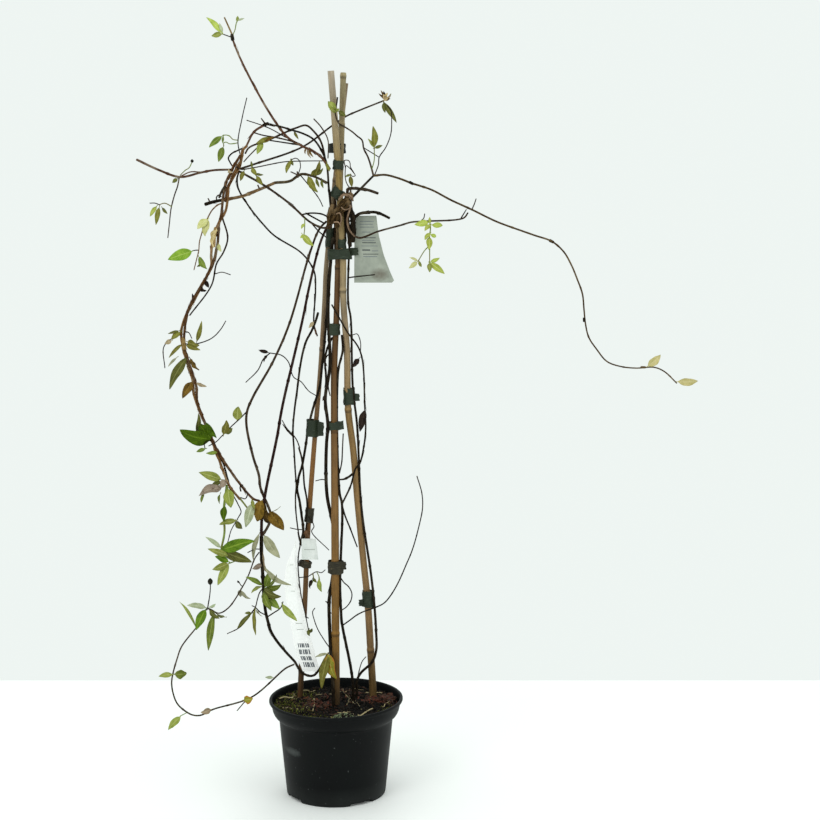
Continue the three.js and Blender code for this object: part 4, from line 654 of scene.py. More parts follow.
def stem_relief(rng, rough, node_gap, swelling):
    """Ridges along a stem and a swelling at each of its joints."""
    phases = [rng.uniform(0, TAU) for unused in RIDGES]
    offset = rng.uniform(0, node_gap)

    def scale(distance, angle):
        ridges = 0.0
        for (count, height, winding), phase in zip(RIDGES, phases):
            ridges += height * math.sin(count * angle + phase + distance * winding)
        away = (distance + offset) % node_gap
        away = min(away, node_gap - away)
        joint = swelling * hump(away, STEM_JOINT_REACH) * (1 + 0.4 * math.cos(2 * angle + phases[0]))
        return 1 + rough * ridges * RIDGE_HEIGHT + joint

    return scale


def add_strips(shape, places, radius, count, paint, rng):
    """Papery strips of bark that peel from a stem, each held at one end."""
    frames = frames_of(places)
    for unused in range(count):
        span = rng.randint(*STRIP_STEPS)
        if len(places) < span + 4:
            return
        start = rng.randint(1, len(places) - span - 2)
        angle = rng.uniform(0, TAU)
        lift = rng.uniform(*STRIP_LIFT)
        width = rng.uniform(*STRIP_WIDTH)
        curl = rng.uniform(*STRIP_CURL)
        backwards = rng.random() < 0.5
        grid = []
        for i in range(span):
            share = i / (span - 1)
            station = start + (span - 1 - i if backwards else i)
            tangent, across, beside = frames[station]
            turn = angle + curl * i
            out = across * math.cos(turn) + beside * math.sin(turn)
            side = tangent.cross(out)
            if backwards:
                side = -side
            middle = places[station] + out * (radius * 1.03 + lift * share ** 2)
            half = side * (width * (0.5 + 0.5 * math.sin(math.pi * (0.15 + 0.75 * share))))
            along = share * STRIP_TEXTURE
            grid.append([(middle - half, out, (0.3, along)), (middle + half, out, (0.7, along))])
        add_sheet(shape, grid, STRIP_THICKNESS, paint, rng.uniform(0.3, 1.0))


def add_blade(shape, leaf, paint, rng):
    """A leaf: a short stalk, then a pointed oval blade with a folded midrib, veins and a wavy edge."""
    base, tip, width, kind, turn, arch = leaf
    start, end = Vector(base), Vector(tip)
    axis = (end - start).normalized()
    start -= axis * LEAF_ROOT
    length = (end - start).length
    face = Vector((0, -1, 0))
    face = (face - axis * face.dot(axis)).normalized()
    face.rotate(Quaternion(axis, math.radians(turn)))
    side = axis.cross(face)
    rows, columns = BROAD_GRID if width >= BROAD_BLADE else NARROW_GRID
    stalk = min(0.2, LEAF_STALK / length)
    dry = kind in DRY_KINDS
    roll = rng.uniform(0.5, 1.0) if dry else rng.uniform(0.15, 0.5)
    twist = rng.uniform(-0.5, 0.5) * (DRY_TWIST if dry else 1.0)
    droop = rng.uniform(0.0, 0.14) * length * (DRY_DROOP if dry else 1.0)
    wave = rng.uniform(0.03, 0.07) * width * (DRY_WAVE if dry else 1.0)
    phases = (rng.uniform(0, TAU), rng.uniform(0, TAU))
    waves = rng.uniform(1.3, 2.6)
    grid = []
    for i in range(rows):
        share = i / (rows - 1)
        blade = max(0.0, (share - stalk) / (1 - stalk))
        half = 0.5 * width * math.sin(math.pi * blade ** 0.82) ** 0.8 if 0 < blade < 1 else 0.0
        half = max(half, STALK_HALF_WIDTH if share <= stalk + 0.04 else TIP_HALF_WIDTH)
        turned = Quaternion(axis, twist * blade)
        out, along_side = face.copy(), side.copy()
        out.rotate(turned)
        along_side.rotate(turned)
        lift = arch * 4 * share * (1 - share) - droop * max(0.0, share - 0.55) ** 2 * 2
        row = []
        for j in range(columns):
            across = 2 * j / (columns - 1) - 1
            bend = roll * abs(across)
            reach = half * (math.sin(bend) / roll)
            raised = half * (1 - math.cos(bend)) / roll
            ripple = wave * across * across * math.sin(waves * TAU * blade + phases[0 if across < 0 else 1])
            quilt = 0.012 * width * math.cos(TAU * (8 * blade - 2.6 * abs(across)))
            ripple = (ripple + quilt * (1 - abs(across))) * min(1.0, blade * 6)
            point = start + axis * (share * length) + along_side * math.copysign(reach, across)
            point += out * (lift + raised + ripple)
            row.append((point, out, (j / (columns - 1), share)))
        grid.append(row[::-1])
    add_sheet(shape, grid, BLADE_THICKNESS, paint, rng.random())


def add_run(shape, run, strips, paint, rng):
    """A length of stem with its bark."""
    start_radius, end_radius, points, look = run
    places = smooth_path(points, RUN_SPACING)
    mean = (start_radius + end_radius) / 2
    sides = next(sides for radius, sides in STEM_SIDES if mean > radius)
    last = len(places) - 1
    radii = [start_radius + (end_radius - start_radius) * i / last for i in range(last + 1)]
    if mean < THIN_STEM:
        radii = [r + THIN_STEM_GROWTH for r in radii]
    if look == "vine":
        radii = [r * VINE_SHARE for r in radii]
    if look == "bud":
        radii = [r * math.sqrt(max(BUD_TIP, 1 - (2 * i / last - 1) ** 2)) for i, r in enumerate(radii)]
    swelling = 0.0 if look == "bud" else 0.26 if mean > 1.2 else 0.2
    node_gap = rng.uniform(26, 40) if mean < 0.9 else rng.uniform(38, 62)
    tint = rng.random()
    relief = stem_relief(rng, ROUGHNESS.get(look, USUAL_ROUGHNESS), node_gap, swelling)
    add_tube(shape, places, radii, sides, paint, tint, relief)
    if strips and mean > 1.0 and look != "green":
        add_strips(shape, places, mean, round(last * strips), paint, rng)


def make_stem(stem):
    """A stem with its twigs as one piece, and its leaves as another."""
    rng = random.Random(stem.name)
    wood = Shape()
    looks = sorted({run[3] for run in stem.runs.values()})
    for run in stem.runs.values():
        add_run(wood, run, stem.strips, looks.index(run[3]), rng)
    piece = wood.make(stem.name + "_wood", [STEM_PAINTS[look] for look in looks])
    settle(piece, stem.slot_name, stem.name)
    if stem.leaves:
        blades = Shape()
        kinds = sorted({leaf[3] for leaf in stem.leaves})
        for leaf in stem.leaves:
            add_blade(blades, leaf, kinds.index(leaf[3]), rng)
        piece = blades.make(stem.name + "_leaves", [LEAF_PAINTS[kind] for kind in kinds])
        settle(piece, "leaf_green", stem.name)


def stem_middle_left():
    stem = Stem("stem_middle_left", "dark", "bark_dark", strips=0.05)
    stem.run("climb", 2.3, 2, [
        (-3, -12, 100), (-3, -11, 135), (-7, -2, 203), (-8, -1, 244), (-7, 0, 256), (-3, 7, 283),
        (-1, 8, 329), (-10, -2, 387), (-10, -3, 447), (-8, -3, 472), (-11, -5, 506), (-5, -5, 546),
        (-7, -3, 610), (-6, -3, 640), (-2, -5, 689), (0, -9, 704),
    ])
    stem.run("spur", 0.9, 0.7, [(-8, -1, 244), (-12, -4, 248)])
    stem.run("low_spur", 0.9, 0.7, [(-6, -4, 183), (-9, -10, 182)])
    stem.run("thin_twig", 0.6, 0.5, [
        (-6, -4, 186), (-14, -8, 199), (-22, -11, 214), (-26, -13, 226), (-28, -14, 237), (-25, -15, 242),
    ])
    stem.run("side_twig", 0.6, 0.5, [(-9, -2, 402), (-16, -1, 403), (-24, 0, 401)])
    stem.run("dead_stem", 1.3, 1.4, [
        (-2, -1, 581), (-7, -3, 571), (-10, -5, 561), (-11, -6, 550), (-10, -6, 536), (-10, -6, 519),
        (-12, -5, 506),
    ], "dark")
    stem.run("dead_fork", 0.8, 0.6, [(-4, -4, 561), (-8, -5, 559), (-10, -6, 555)], "dark")
    stem.run("dead_twig", 0.7, 0.6, [(-6, -5, 540), (-7, -6, 531), (-7, -6, 519), (-5, -5, 509)])
    stem.leaf((-10, -7, 534), (-5, -9, 532), 3, "dead", 20, 0.5)
    stem.leaf((-10, -7, 524), (-6, -10, 517), 3, "dead", 20, 0.5)
    stem.leaf((-11, -7, 510), (-14, -10, 503), 3.4, "dead", 20, 0.5)
    stem.leaf((-11, -8, 552), (-8, -11, 546), 2.6, "dead", 20, 0.5)
    stem.leaf((-9, -9, 182), (1, -25, 153), 15, "autumn", 10, 3)
    stem.leaf((-9, -9, 182), (-17, -28, 142), 12, "olive", 15, 3)
    stem.leaf((-9, -9, 182), (-25, -16, 179), 5, "back", 50)
    return stem


def stem_middle_right():
    stem = Stem("stem_middle_right", "dark", "bark_dark", strips=0.05)
    stem.run("climb", 1.9, 1.4, [
        (21, 15, 100), (21, 12, 140), (8, 0, 220), (7, -1, 235), (6, -1, 270), (9, -2, 372), (6, -2, 387),
        (5, -2, 538), (11, -5, 566), (10, -6, 584),
    ])
    stem.run("elbow", 0.8, 0.7, [
        (6, -1, 279), (11, -3, 272), (17, -5, 267), (21, -6, 259), (20, -6, 250), (15, -5, 242),
        (7, -1, 235),
    ])
    stem.run("right_twig", 0.9, 0.7, [
        (9, 0, 216), (18, -2, 223), (27, -3, 230), (36, 0, 234), (42, 4, 235), (49, 7, 237), (61, 6, 243),
        (70, 4, 254), (80, 2, 272), (89, 0, 293), (97, -2, 313), (105, -4, 342), (110, -5, 368),
        (109, -6, 387), (103, -6, 408),
    ])
    stem.run("cut_fork", 1.2, 0.8, [
        (9, -2, 370), (13, -3, 357), (19, -4, 342), (25, -5, 326), (28, -5, 318),
    ])
    stem.run("upper_fork", 1.2, 1, [
        (9, -2, 372), (20, 2, 395), (26, 5, 416), (31, 5, 422), (37, 2, 447), (39, 0, 468), (38, 0, 493),
        (33, -5, 563), (16, -9, 590), (-2, -9, 622),
    ])
    stem.run("black_spur", 1, 1.6, [(6, -2, 403), (12, -4, 404), (18, -4, 407), (22, -3, 410)], "dark")
    stem.run("inner_fork", 0.9, 0.8, [(6, -2, 411), (9, -3, 425), (10, -3, 443), (11, -3, 461)])
    stem.run("tendril", 0.5, 0.5, [(33, -5, 563), (33, -7, 576), (29, -9, 586), (24, -10, 585)])
    stem.leaf((39, -1, 492), (32, -8, 464), 10, "dead", 20, 2)
    stem.leaf((39, 0, 480), (31, -2, 473), 6, "dead", 50)
    stem.leaf((32, -5, 556), (24, -10, 545), 8, "dead")
    return stem


def stem_right_cane():
    stem = Stem("stem_right_cane", "dark", "bark_dark", strips=0.04)
    stem.run("climb", 1.7, 1.3, [
        (25, 22, 100), (26, 22, 125), (26, 20, 138), (31, 21, 148), (46, 17, 164), (51, 17, 179),
        (51, 16, 205), (49, 14, 238), (45, 14, 277), (33, 12, 365), (28, 7, 471), (23, 3, 518),
        (21, -3, 605), (18, -5, 625), (21, -12, 719),
    ])
    stem.run("thin_rise", 0.6, 0.5, [(26, 20, 139), (33, 14, 165), (38, 12, 172)])
    stem.run("label_twig", 0.8, 0.6, [(18, -7, 655), (24, -9, 656), (51, -10, 659)])
    return stem


def stem_left_cane():
    stem = Stem("stem_left_cane", "dark", "bark_dark", strips=0.05)
    stem.run("climb", 0.6, 1.5, [
        (-34, 12, 202), (-36, 12, 212), (-39, 13, 227), (-42, 14, 240), (-45, 15, 256), (-47, 16, 274),
        (-48, 16, 290), (-47, 16, 306), (-45, 16, 317), (-46, 15, 325), (-48, 14, 340), (-50, 12, 362),
        (-50, 10, 381), (-49, 9, 393), (-50, 7, 414), (-51, 5, 439), (-52, 2, 465), (-50, 0, 488),
        (-46, -3, 516), (-42, -6, 544), (-38, -8, 564), (-34, -9, 577), (-27, -9, 590), (-22, -9, 602),
        (-19, -9, 612),
    ])
    stem.run("second", 1.6, 1.5, [
        (-45, 16, 317), (-41, 16, 334), (-43, 15, 355), (-45, 13, 372), (-48, 11, 389), (-46, 11, 404),
        (-42, 12, 417), (-39, 13, 432), (-36, 13, 450), (-34, 11, 464), (-30, 9, 481), (-26, 8, 495),
        (-22, 8, 507), (-18, 8, 522), (-16, 9, 540), (-13, 8, 565), (-11, 6, 587), (-9, 5, 610),
        (-8, 3, 630), (-7, 4, 650), (-5, 4, 667),
    ])
    stem.run("third", 1.2, 1.1, [
        (-45, 6, 442), (-42, 8, 430), (-40, 10, 413), (-39, 12, 394), (-36, 14, 374), (-36, 15, 356),
        (-37, 15, 341), (-40, 16, 325), (-43, 16, 315),
    ])
    stem.run("bud_spur", 0.7, 0.6, [(-39, 13, 224), (-35, 10, 223)])
    stem.run("side_twig", 0.7, 0.5, [
        (-44, 6, 442), (-47, 4, 451), (-51, 2, 458), (-59, -1, 467), (-65, -3, 478),
    ])
    stem.run("side_twig_two", 0.8, 0.5, [(-51, 2, 456), (-58, -2, 464), (-64, -5, 473)])
    stem.run("cross_twig", 0.6, 0.5, [
        (-47, 16, 274), (-41, 10, 276), (-35, 9, 277), (-30, 10, 280), (-24, 10, 283), (-18, 9, 282),
        (-13, 7, 286),
    ])
    stem.run("leaf_stalk", 0.7, 0.5, [(-29, 10, 281), (-28, 9, 274), (-31, 8, 266)], "green")
    stem.run("leaf_stalk_two", 0.5, 0.5, [(-24, 10, 283), (-21, 8, 277), (-20, 8, 270)], "green")
    stem.run("loose_arc", 0.6, 0.5, [
        (-35, 15, 354), (-30, 10, 349), (-27, 9, 341), (-30, 9, 335), (-8, 4, 312),
    ])
    stem.run("short_twig", 0.6, 0.5, [(-41, 15, 336), (-50, 9, 338), (-57, 7, 340)])
    stem.run("bud_stalk", 0.5, 0.6, [
        (-22, 8, 507), (-32, 3, 514), (-41, -2, 526), (-50, -10, 533), (-56, -13, 552), (-64, -15, 560),
        (-78, -16, 563),
    ], "dark")
    stem.run("bud_twig", 0.7, 0.5, [
        (-78, -16, 563), (-86, -17, 556), (-93, -18, 542), (-108, -20, 527),
    ], "dark")
    stem.leaf((-34, 12, 204), (-30, 6, 210), 5, "moss", 10, 0.5)
    stem.leaf((-34, 12, 208), (-34, 8, 200), 6, "moss")
    stem.leaf((-29, 9, 274), (-33, 6, 262), 6, "dead", 30)
    stem.leaf((-28, 9, 275), (-24, 5, 270), 4, "moss", 30, 0.5)
    stem.leaf((-21, 8, 275), (-18, 4, 258), 7, "leafy", 20, 2)
    stem.leaf((-38, 15, 337), (-33, 8, 326), 9, "bark", 10)
    stem.leaf((-79, -16, 563), (-92, -19, 567), 5, "dead")
    stem.leaf((-80, -16, 561), (-86, -20, 552), 5, "dead", 40)
    return stem


def main_stem():
    stem = Stem("main_stem", "brown", "bark_brown", strips=0.03)
    stem.run("foot", 1.4, 1.6, [
        (-10, -5, 180), (-26, -19, 157), (-35, -24, 158), (-43, -25, 164), (-50, -26, 176),
    ], "dark")
    stem.run("trunk", 1.6, 2.4, [
        (-50, -26, 176), (-63, -27, 191), (-72, -28, 203), (-79, -29, 215), (-83, -30, 229),
        (-86, -30, 244), (-88, -30, 269), (-89, -30, 294), (-90, -29, 316), (-90, -28, 336),
    ], "dark")
    stem.run("outer", 1.7, 1.3, [
        (-90, -28, 336), (-83, -26, 346), (-78, -26, 359), (-80, -27, 370), (-90, -30, 396),
        (-92, -31, 413), (-99, -30, 436), (-107, -28, 476), (-106, -27, 492), (-99, -25, 509),
        (-73, -20, 555), (-53, -15, 602), (-30, -10, 681), (-17, -12, 714), (-8, -13, 724),
    ])
    stem.run("inner", 1.9, 1.5, [
        (-90, -28, 336), (-89, -30, 359), (-85, -31, 387), (-69, -30, 462), (-63, -28, 496),
        (-39, -18, 598), (-26, -14, 659), (-15, -15, 699), (-6, -16, 720),
    ], "reddish")
    stem.run("leaf_twig", 0.7, 0.5, [
        (-106, -27, 492), (-114, -33, 484), (-125, -38, 474), (-136, -41, 463), (-143, -42, 456),
        (-152, -42, 451),
    ])
    stem.run("hanging_tip", 0.7, 0.5, [
        (-88, -30, 271), (-92, -35, 267), (-95, -39, 258), (-97, -41, 250), (-103, -42, 241),
        (-116, -44, 225), (-132, -46, 217),
    ])
    stem.run("side_twig", 0.7, 0.5, [(-84, -30, 236), (-92, -36, 242), (-97, -41, 249), (-101, -44, 252)])
    stem.run("right_twig", 0.8, 0.6, [(-84, -30, 234), (-76, -34, 240), (-66, -38, 248), (-63, -40, 256)])
    stem.run("curl", 0.6, 0.5, [(-90, -29, 320), (-98, -35, 321), (-106, -40, 318)])
    stem.leaf((-118, -34, 481), (-116, -38, 499), 12, "leafy")
    stem.leaf((-134, -41, 464), (-129, -46, 483), 10, "olive")
    stem.leaf((-133, -41, 466), (-123, -36, 472), 7, "moss", 30)
    stem.leaf((-92, -29, 340), (-100, -38, 308), 7.5, "back", 30, 3)
    stem.leaf((-87, -27, 338), (-67, -36, 310), 13, "back", 10, 3)
    stem.leaf((-89, -28, 321), (-81, -32, 288), 9, "tan", 30, 3)
    stem.leaf((-89, -30, 301), (-101, -38, 297), 7, "purple", 20, 2)
    stem.leaf((-86, -31, 299), (-53, -44, 277), 9, "back", 35, 6)
    stem.leaf((-89, -31, 274), (-108, -42, 288), 7, "green", 50, 2)
    stem.leaf((-89, -31, 273), (-102, -42, 268), 6, "leafy", 60, 2)
    stem.leaf((-87, -31, 271), (-70, -44, 291), 8, "green", 50, 3)
    stem.leaf((-87, -31, 271), (-80, -24, 291), 9, "green", 20, 3)
    stem.leaf((-87, -31, 270), (-65, -48, 264), 12, "moss", 10, 4)
    stem.leaf((-87, -31, 269), (-67, -42, 247), 12, "green", 15, 4)
    stem.leaf((-87, -31, 268), (-77, -46, 246), 10, "green", 35, 4)
    stem.leaf((-87, -31, 269), (-84, -24, 247), 8, "moss", 30, 2)
    stem.leaf((-87, -31, 271), (-66, -22, 273), 10, "green", 30, 3)
    stem.leaf((-64, -40, 254), (-45, -50, 234), 8.5, "leafy", 10, 5)
    stem.leaf((-101, -42, 242), (-120, -44, 223), 6, "moss", 40, 2)
    stem.leaf((-97, -41, 250), (-97, -46, 215), 6, "olive", 45, 2)
    stem.leaf((-102, -42, 242), (-110, -46, 243), 4, "moss", 40, 0.5)
    stem.leaf((-97, -41, 248), (-90, -36, 236), 4, "back", 40, 0.5)
    stem.leaf((-87, -29, 383), (-95, -31, 355), 17, "golden", 25, 5)
    stem.leaf((-84, -28, 379), (-80, -20, 349), 14, "brown", 40, 4)
    stem.leaf((-80, -27, 369), (-62, -30, 344), 17, "golden", 10, 4)
    stem.leaf((-79, -27, 366), (-65, -34, 374), 3.5, "back", 60, 0.5)
    return stem


def lower_loop():
    stem = Stem("lower_loop", "brown", "bark_brown")
    stem.run("loop", 1.1, 0.8, [
        (-51, -28, 173), (-61, -31, 169), (-103, -41, 135), (-150, -50, 122), (-166, -52, 115),
        (-176, -53, 116), (-186, -53, 122), (-194, -53, 130), (-199, -52, 142), (-201, -50, 158),
        (-194, -45, 187), (-189, -42, 200), (-168, -37, 227), (-157, -36, 246), (-143, -38, 241),
        (-130, -40, 249), (-114, -39, 273), (-106, -37, 288), (-98, -32, 309), (-93, -30, 316),
    ])
    stem.run("bud_stalk", 0.7, 0.5, [
        (-157, -36, 246), (-156, -37, 252), (-154, -38, 263), (-153, -38, 273), (-153, -38, 279),
    ], "dark")
    stem.run("tip_petiole", 0.5, 0.5, [(-182, -53, 119), (-187, -56, 117), (-190, -58, 116)], "green")
    stem.run("dead_twig", 0.8, 0.5, [(-103, -41, 135), (-109, -43, 132), (-121, -46, 119)])
    stem.run("bud", 3.2, 3.2, [(-153, -38, 277), (-153, -38, 285)], "bud")
    stem.run("small_stalk", 0.5, 0.5, [(-113, -39, 275), (-115, -40, 277), (-117, -41, 281)])
    stem.run("small_bud", 1.5, 1.5, [(-117, -41, 280), (-119, -42, 283)], "bud")
    stem.leaf((-159, -36, 246), (-170, -50, 223), 12, "fresh", 10, 3)
    stem.leaf((-172, -39, 224), (-188, -52, 259), 5, "leafy", 55, 2)
    stem.leaf((-158, -36, 247), (-181, -44, 253), 8, "sage", 40, 2)
    stem.leaf((-155, -36, 246), (-142, -46, 236), 8, "moss", 30, 2)
    stem.leaf((-146, -38, 241), (-134, -30, 234), 8, "moss", 40, 1.5)
    stem.leaf((-148, -38, 242), (-156, -44, 195), 10, "green", 25, 3)
    stem.leaf((-156, -36, 248), (-146, -44, 254), 5, "sage", 50)
    stem.leaf((-199, -49, 166), (-216, -56, 166), 7, "leafy", 30, 2)
    stem.leaf((-199, -49, 167), (-183, -44, 166), 12, "green", 0, 2)
    stem.leaf((-189, -57, 116), (-204, -66, 101), 9, "leafy", 10, 2)
    stem.leaf((-152, -50, 122), (-164, -58, 120), 8, "tan")
    stem.leaf((-113, -43, 132), (-101, -48, 135), 11, "autumn", 0, 2)
    stem.leaf((-76, -35, 158), (-86, -40, 160), 4, "sage", 40, 0.5)
    stem.leaf((-115, -39, 271), (-103, -46, 261), 7, "back", 30, 2)
    stem.leaf((-115, -39, 272), (-117, -32, 260), 7, "back", 30)
    return stem


def old_bark():
    stem = Stem("old_bark", "old", "bark_old", strips=0.9)
    stem.run("upper_knot", 3, 2.4, [(23, -20, 757), (8, -23, 741), (3, -22, 732), (-1, -20, 722)])
    stem.run("lower_knot", 3.2, 3, [
        (24, -14, 700), (25, -17, 715), (24, -19, 730), (20, -21, 742), (17, -20, 757),
    ], "dark")
    stem.run("middle_knot", 2.6, 3.2, [(5, -20, 717), (9, -23, 733), (14, -24, 740), (20, -22, 748)])
    stem.run("stub", 2, 1.4, [(3, -22, 730), (-1, -21, 742)])
    stem.run("left_mat", 2.8, 2.4, [(0, -21, 744), (-4, -19, 730), (-5, -16, 716)])
    stem.run("strip_right", 0.8, 0.8, [
        (11, -27, 741), (15, -28, 738), (20, -28, 739), (23, -26, 742),
    ], "twine")
    stem.run("strip_left", 0.8, 0.8, [
        (5, -25, 733), (9, -27, 734), (11, -27, 728), (10, -24, 722),
    ], "twine")
    stem.run("strip_low", 0.8, 0.8, [(2, -24, 723), (7, -25, 723), (10, -23, 719)], "twine")
    stem.run("strip_high", 1.2, 1.2, [
        (8, -25, 750), (14, -26, 756), (21, -25, 755), (25, -22, 749),
    ], "twine")
    # The next three dark runs, beside and behind the middle cane, are partly bark and partly painted shade:
    # a dark stand-in for the shade inside the tangle.
    stem.run("inner_mat_and_shade", 2, 1.9, [(15, -12, 740), (14, -11, 721), (15, -10, 700)], "dark")
    stem.run("left_fill_and_shade", 1.8, 1.7, [(2, 7, 755), (2, 6, 726), (2, 6, 690)], "brown")
    stem.run("right_mat_and_shade", 2.6, 2.4, [
        (19, -16, 746), (18, -16, 732), (19, -15, 714), (21, -13, 694),
    ], "dark")
    return stem


def top_arches():
    stem = Stem("top_arches", "brown", "bark_brown", strips=0.05)
    stem.run("arch_one", 1.4, 1.1, [
        (-2, -21, 741), (-4, -23, 762), (-7, -21, 794), (-14, -19, 811), (-23, -17, 823), (-36, -15, 830),
        (-49, -14, 834), (-66, -13, 839), (-81, -13, 841),
    ], "dark")
    stem.run("arch_end", 1.5, 1.2, [(-81, -13, 841), (-95, -13, 832), (-105, -14, 814)], "shoot")
    stem.run("nub", 1.1, 0.7, [(-81, -13, 841), (-86, -15, 848)])
    stem.run("arch_two", 1.3, 1.1, [
        (-7, -21, 791), (-14, -12, 820), (-23, -9, 833), (-32, -8, 840), (-44, -9, 837), (-78, -14, 822),
        (-101, -15, 813), (-106, -14, 806),
    ])
    stem.run("arch_three", 1, 0.8, [
        (-32, -17, 812), (-39, -17, 817), (-51, -16, 821), (-68, -15, 825), (-85, -14, 828),
        (-95, -13, 831),
    ])
    stem.run("long_shoot", 1.6, 1.2, [
        (-3, -22, 787), (-15, -20, 803), (-39, -17, 816), (-54, -14, 825), (-79, -6, 859), (-113, 6, 922),
        (-123, 9, 947),
    ], "shoot")
    stem.run("thin_arch", 0.6, 0.5, [(-56, -13, 825), (-78, -12, 837), (-104, -12, 846)])
    stem.run("lower_arch", 1, 0.8, [(-39, -17, 816), (-78, -14, 822)], "dark")
    stem.run("side_arch", 0.8, 0.7, [(-85, -15, 819), (-101, -17, 803), (-108, -13, 796)])
    stem.run("tip_stub", 1.1, 0.9, [(-122, 9, 949), (-127, 10, 960), (-132, 11, 971)], "tan")
    stem.run("tip_stalk", 0.5, 0.5, [
        (-123, 9, 947), (-119, 8, 956), (-116, 6, 966), (-110, 5, 969),
    ], "green")
    stem.run("top_twig", 0.8, 0.7, [(-22, -19, 847), (-13, -21, 837), (-5, -23, 822), (-5, -22, 800)])
    stem.run("tip_knot", 2.3, 2.1, [(-122, 8, 944), (-123, 9, 950)], "dark")
    stem.run("petiole", 0.6, 0.5, [(-123, 9, 947), (-129, 7, 949), (-135, 6, 951)], "dark")
    stem.run("arch_knob", 2, 1.6, [(-78, -13, 842), (-84, -14, 840)], "dark")
    stem.leaf((-116, 6, 966), (-115, 4, 972), 4, "leafy", 30, 0.5)
    stem.leaf((-116, 6, 967), (-107, 3, 969), 2.5, "sage", 30, 0.5)
    stem.leaf((-134, 6, 951), (-152, -1, 970), 7.5, "lime", 15, 2)
    stem.leaf((-134, 6, 950), (-147, 2, 948), 7, "leafy", 20, 2)
    stem.leaf((-134, 6, 952), (-137, 1, 963), 4, "sage")
    stem.leaf((-84, -15, 820), (-91, -22, 805), 8, "leafy", 15, 2)
    stem.leaf((-72, -14, 825), (-92, -21, 818), 7, "olive")
    stem.leaf((-70, -15, 826), (-82, -20, 820), 4, "golden", 20, 0.5)
    stem.leaf((-47, -10, 833), (-41, -19, 823), 3.5, "olive", 10, 0.5)
    stem.leaf((-31, -18, 812), (-26, -21, 800), 3.2, "tan", 20, 0.5)
    stem.leaf((-29, -18, 812), (-23, -22, 801), 3.2, "golden", 20, 0.5)
    stem.leaf((-32, -18, 812), (-33, -21, 805), 2.5, "golden", 20, 0.5)
    stem.leaf((-7, -22, 795), (-3, -25, 784), 4.5, "olive", 20, 0.5)
    return stem


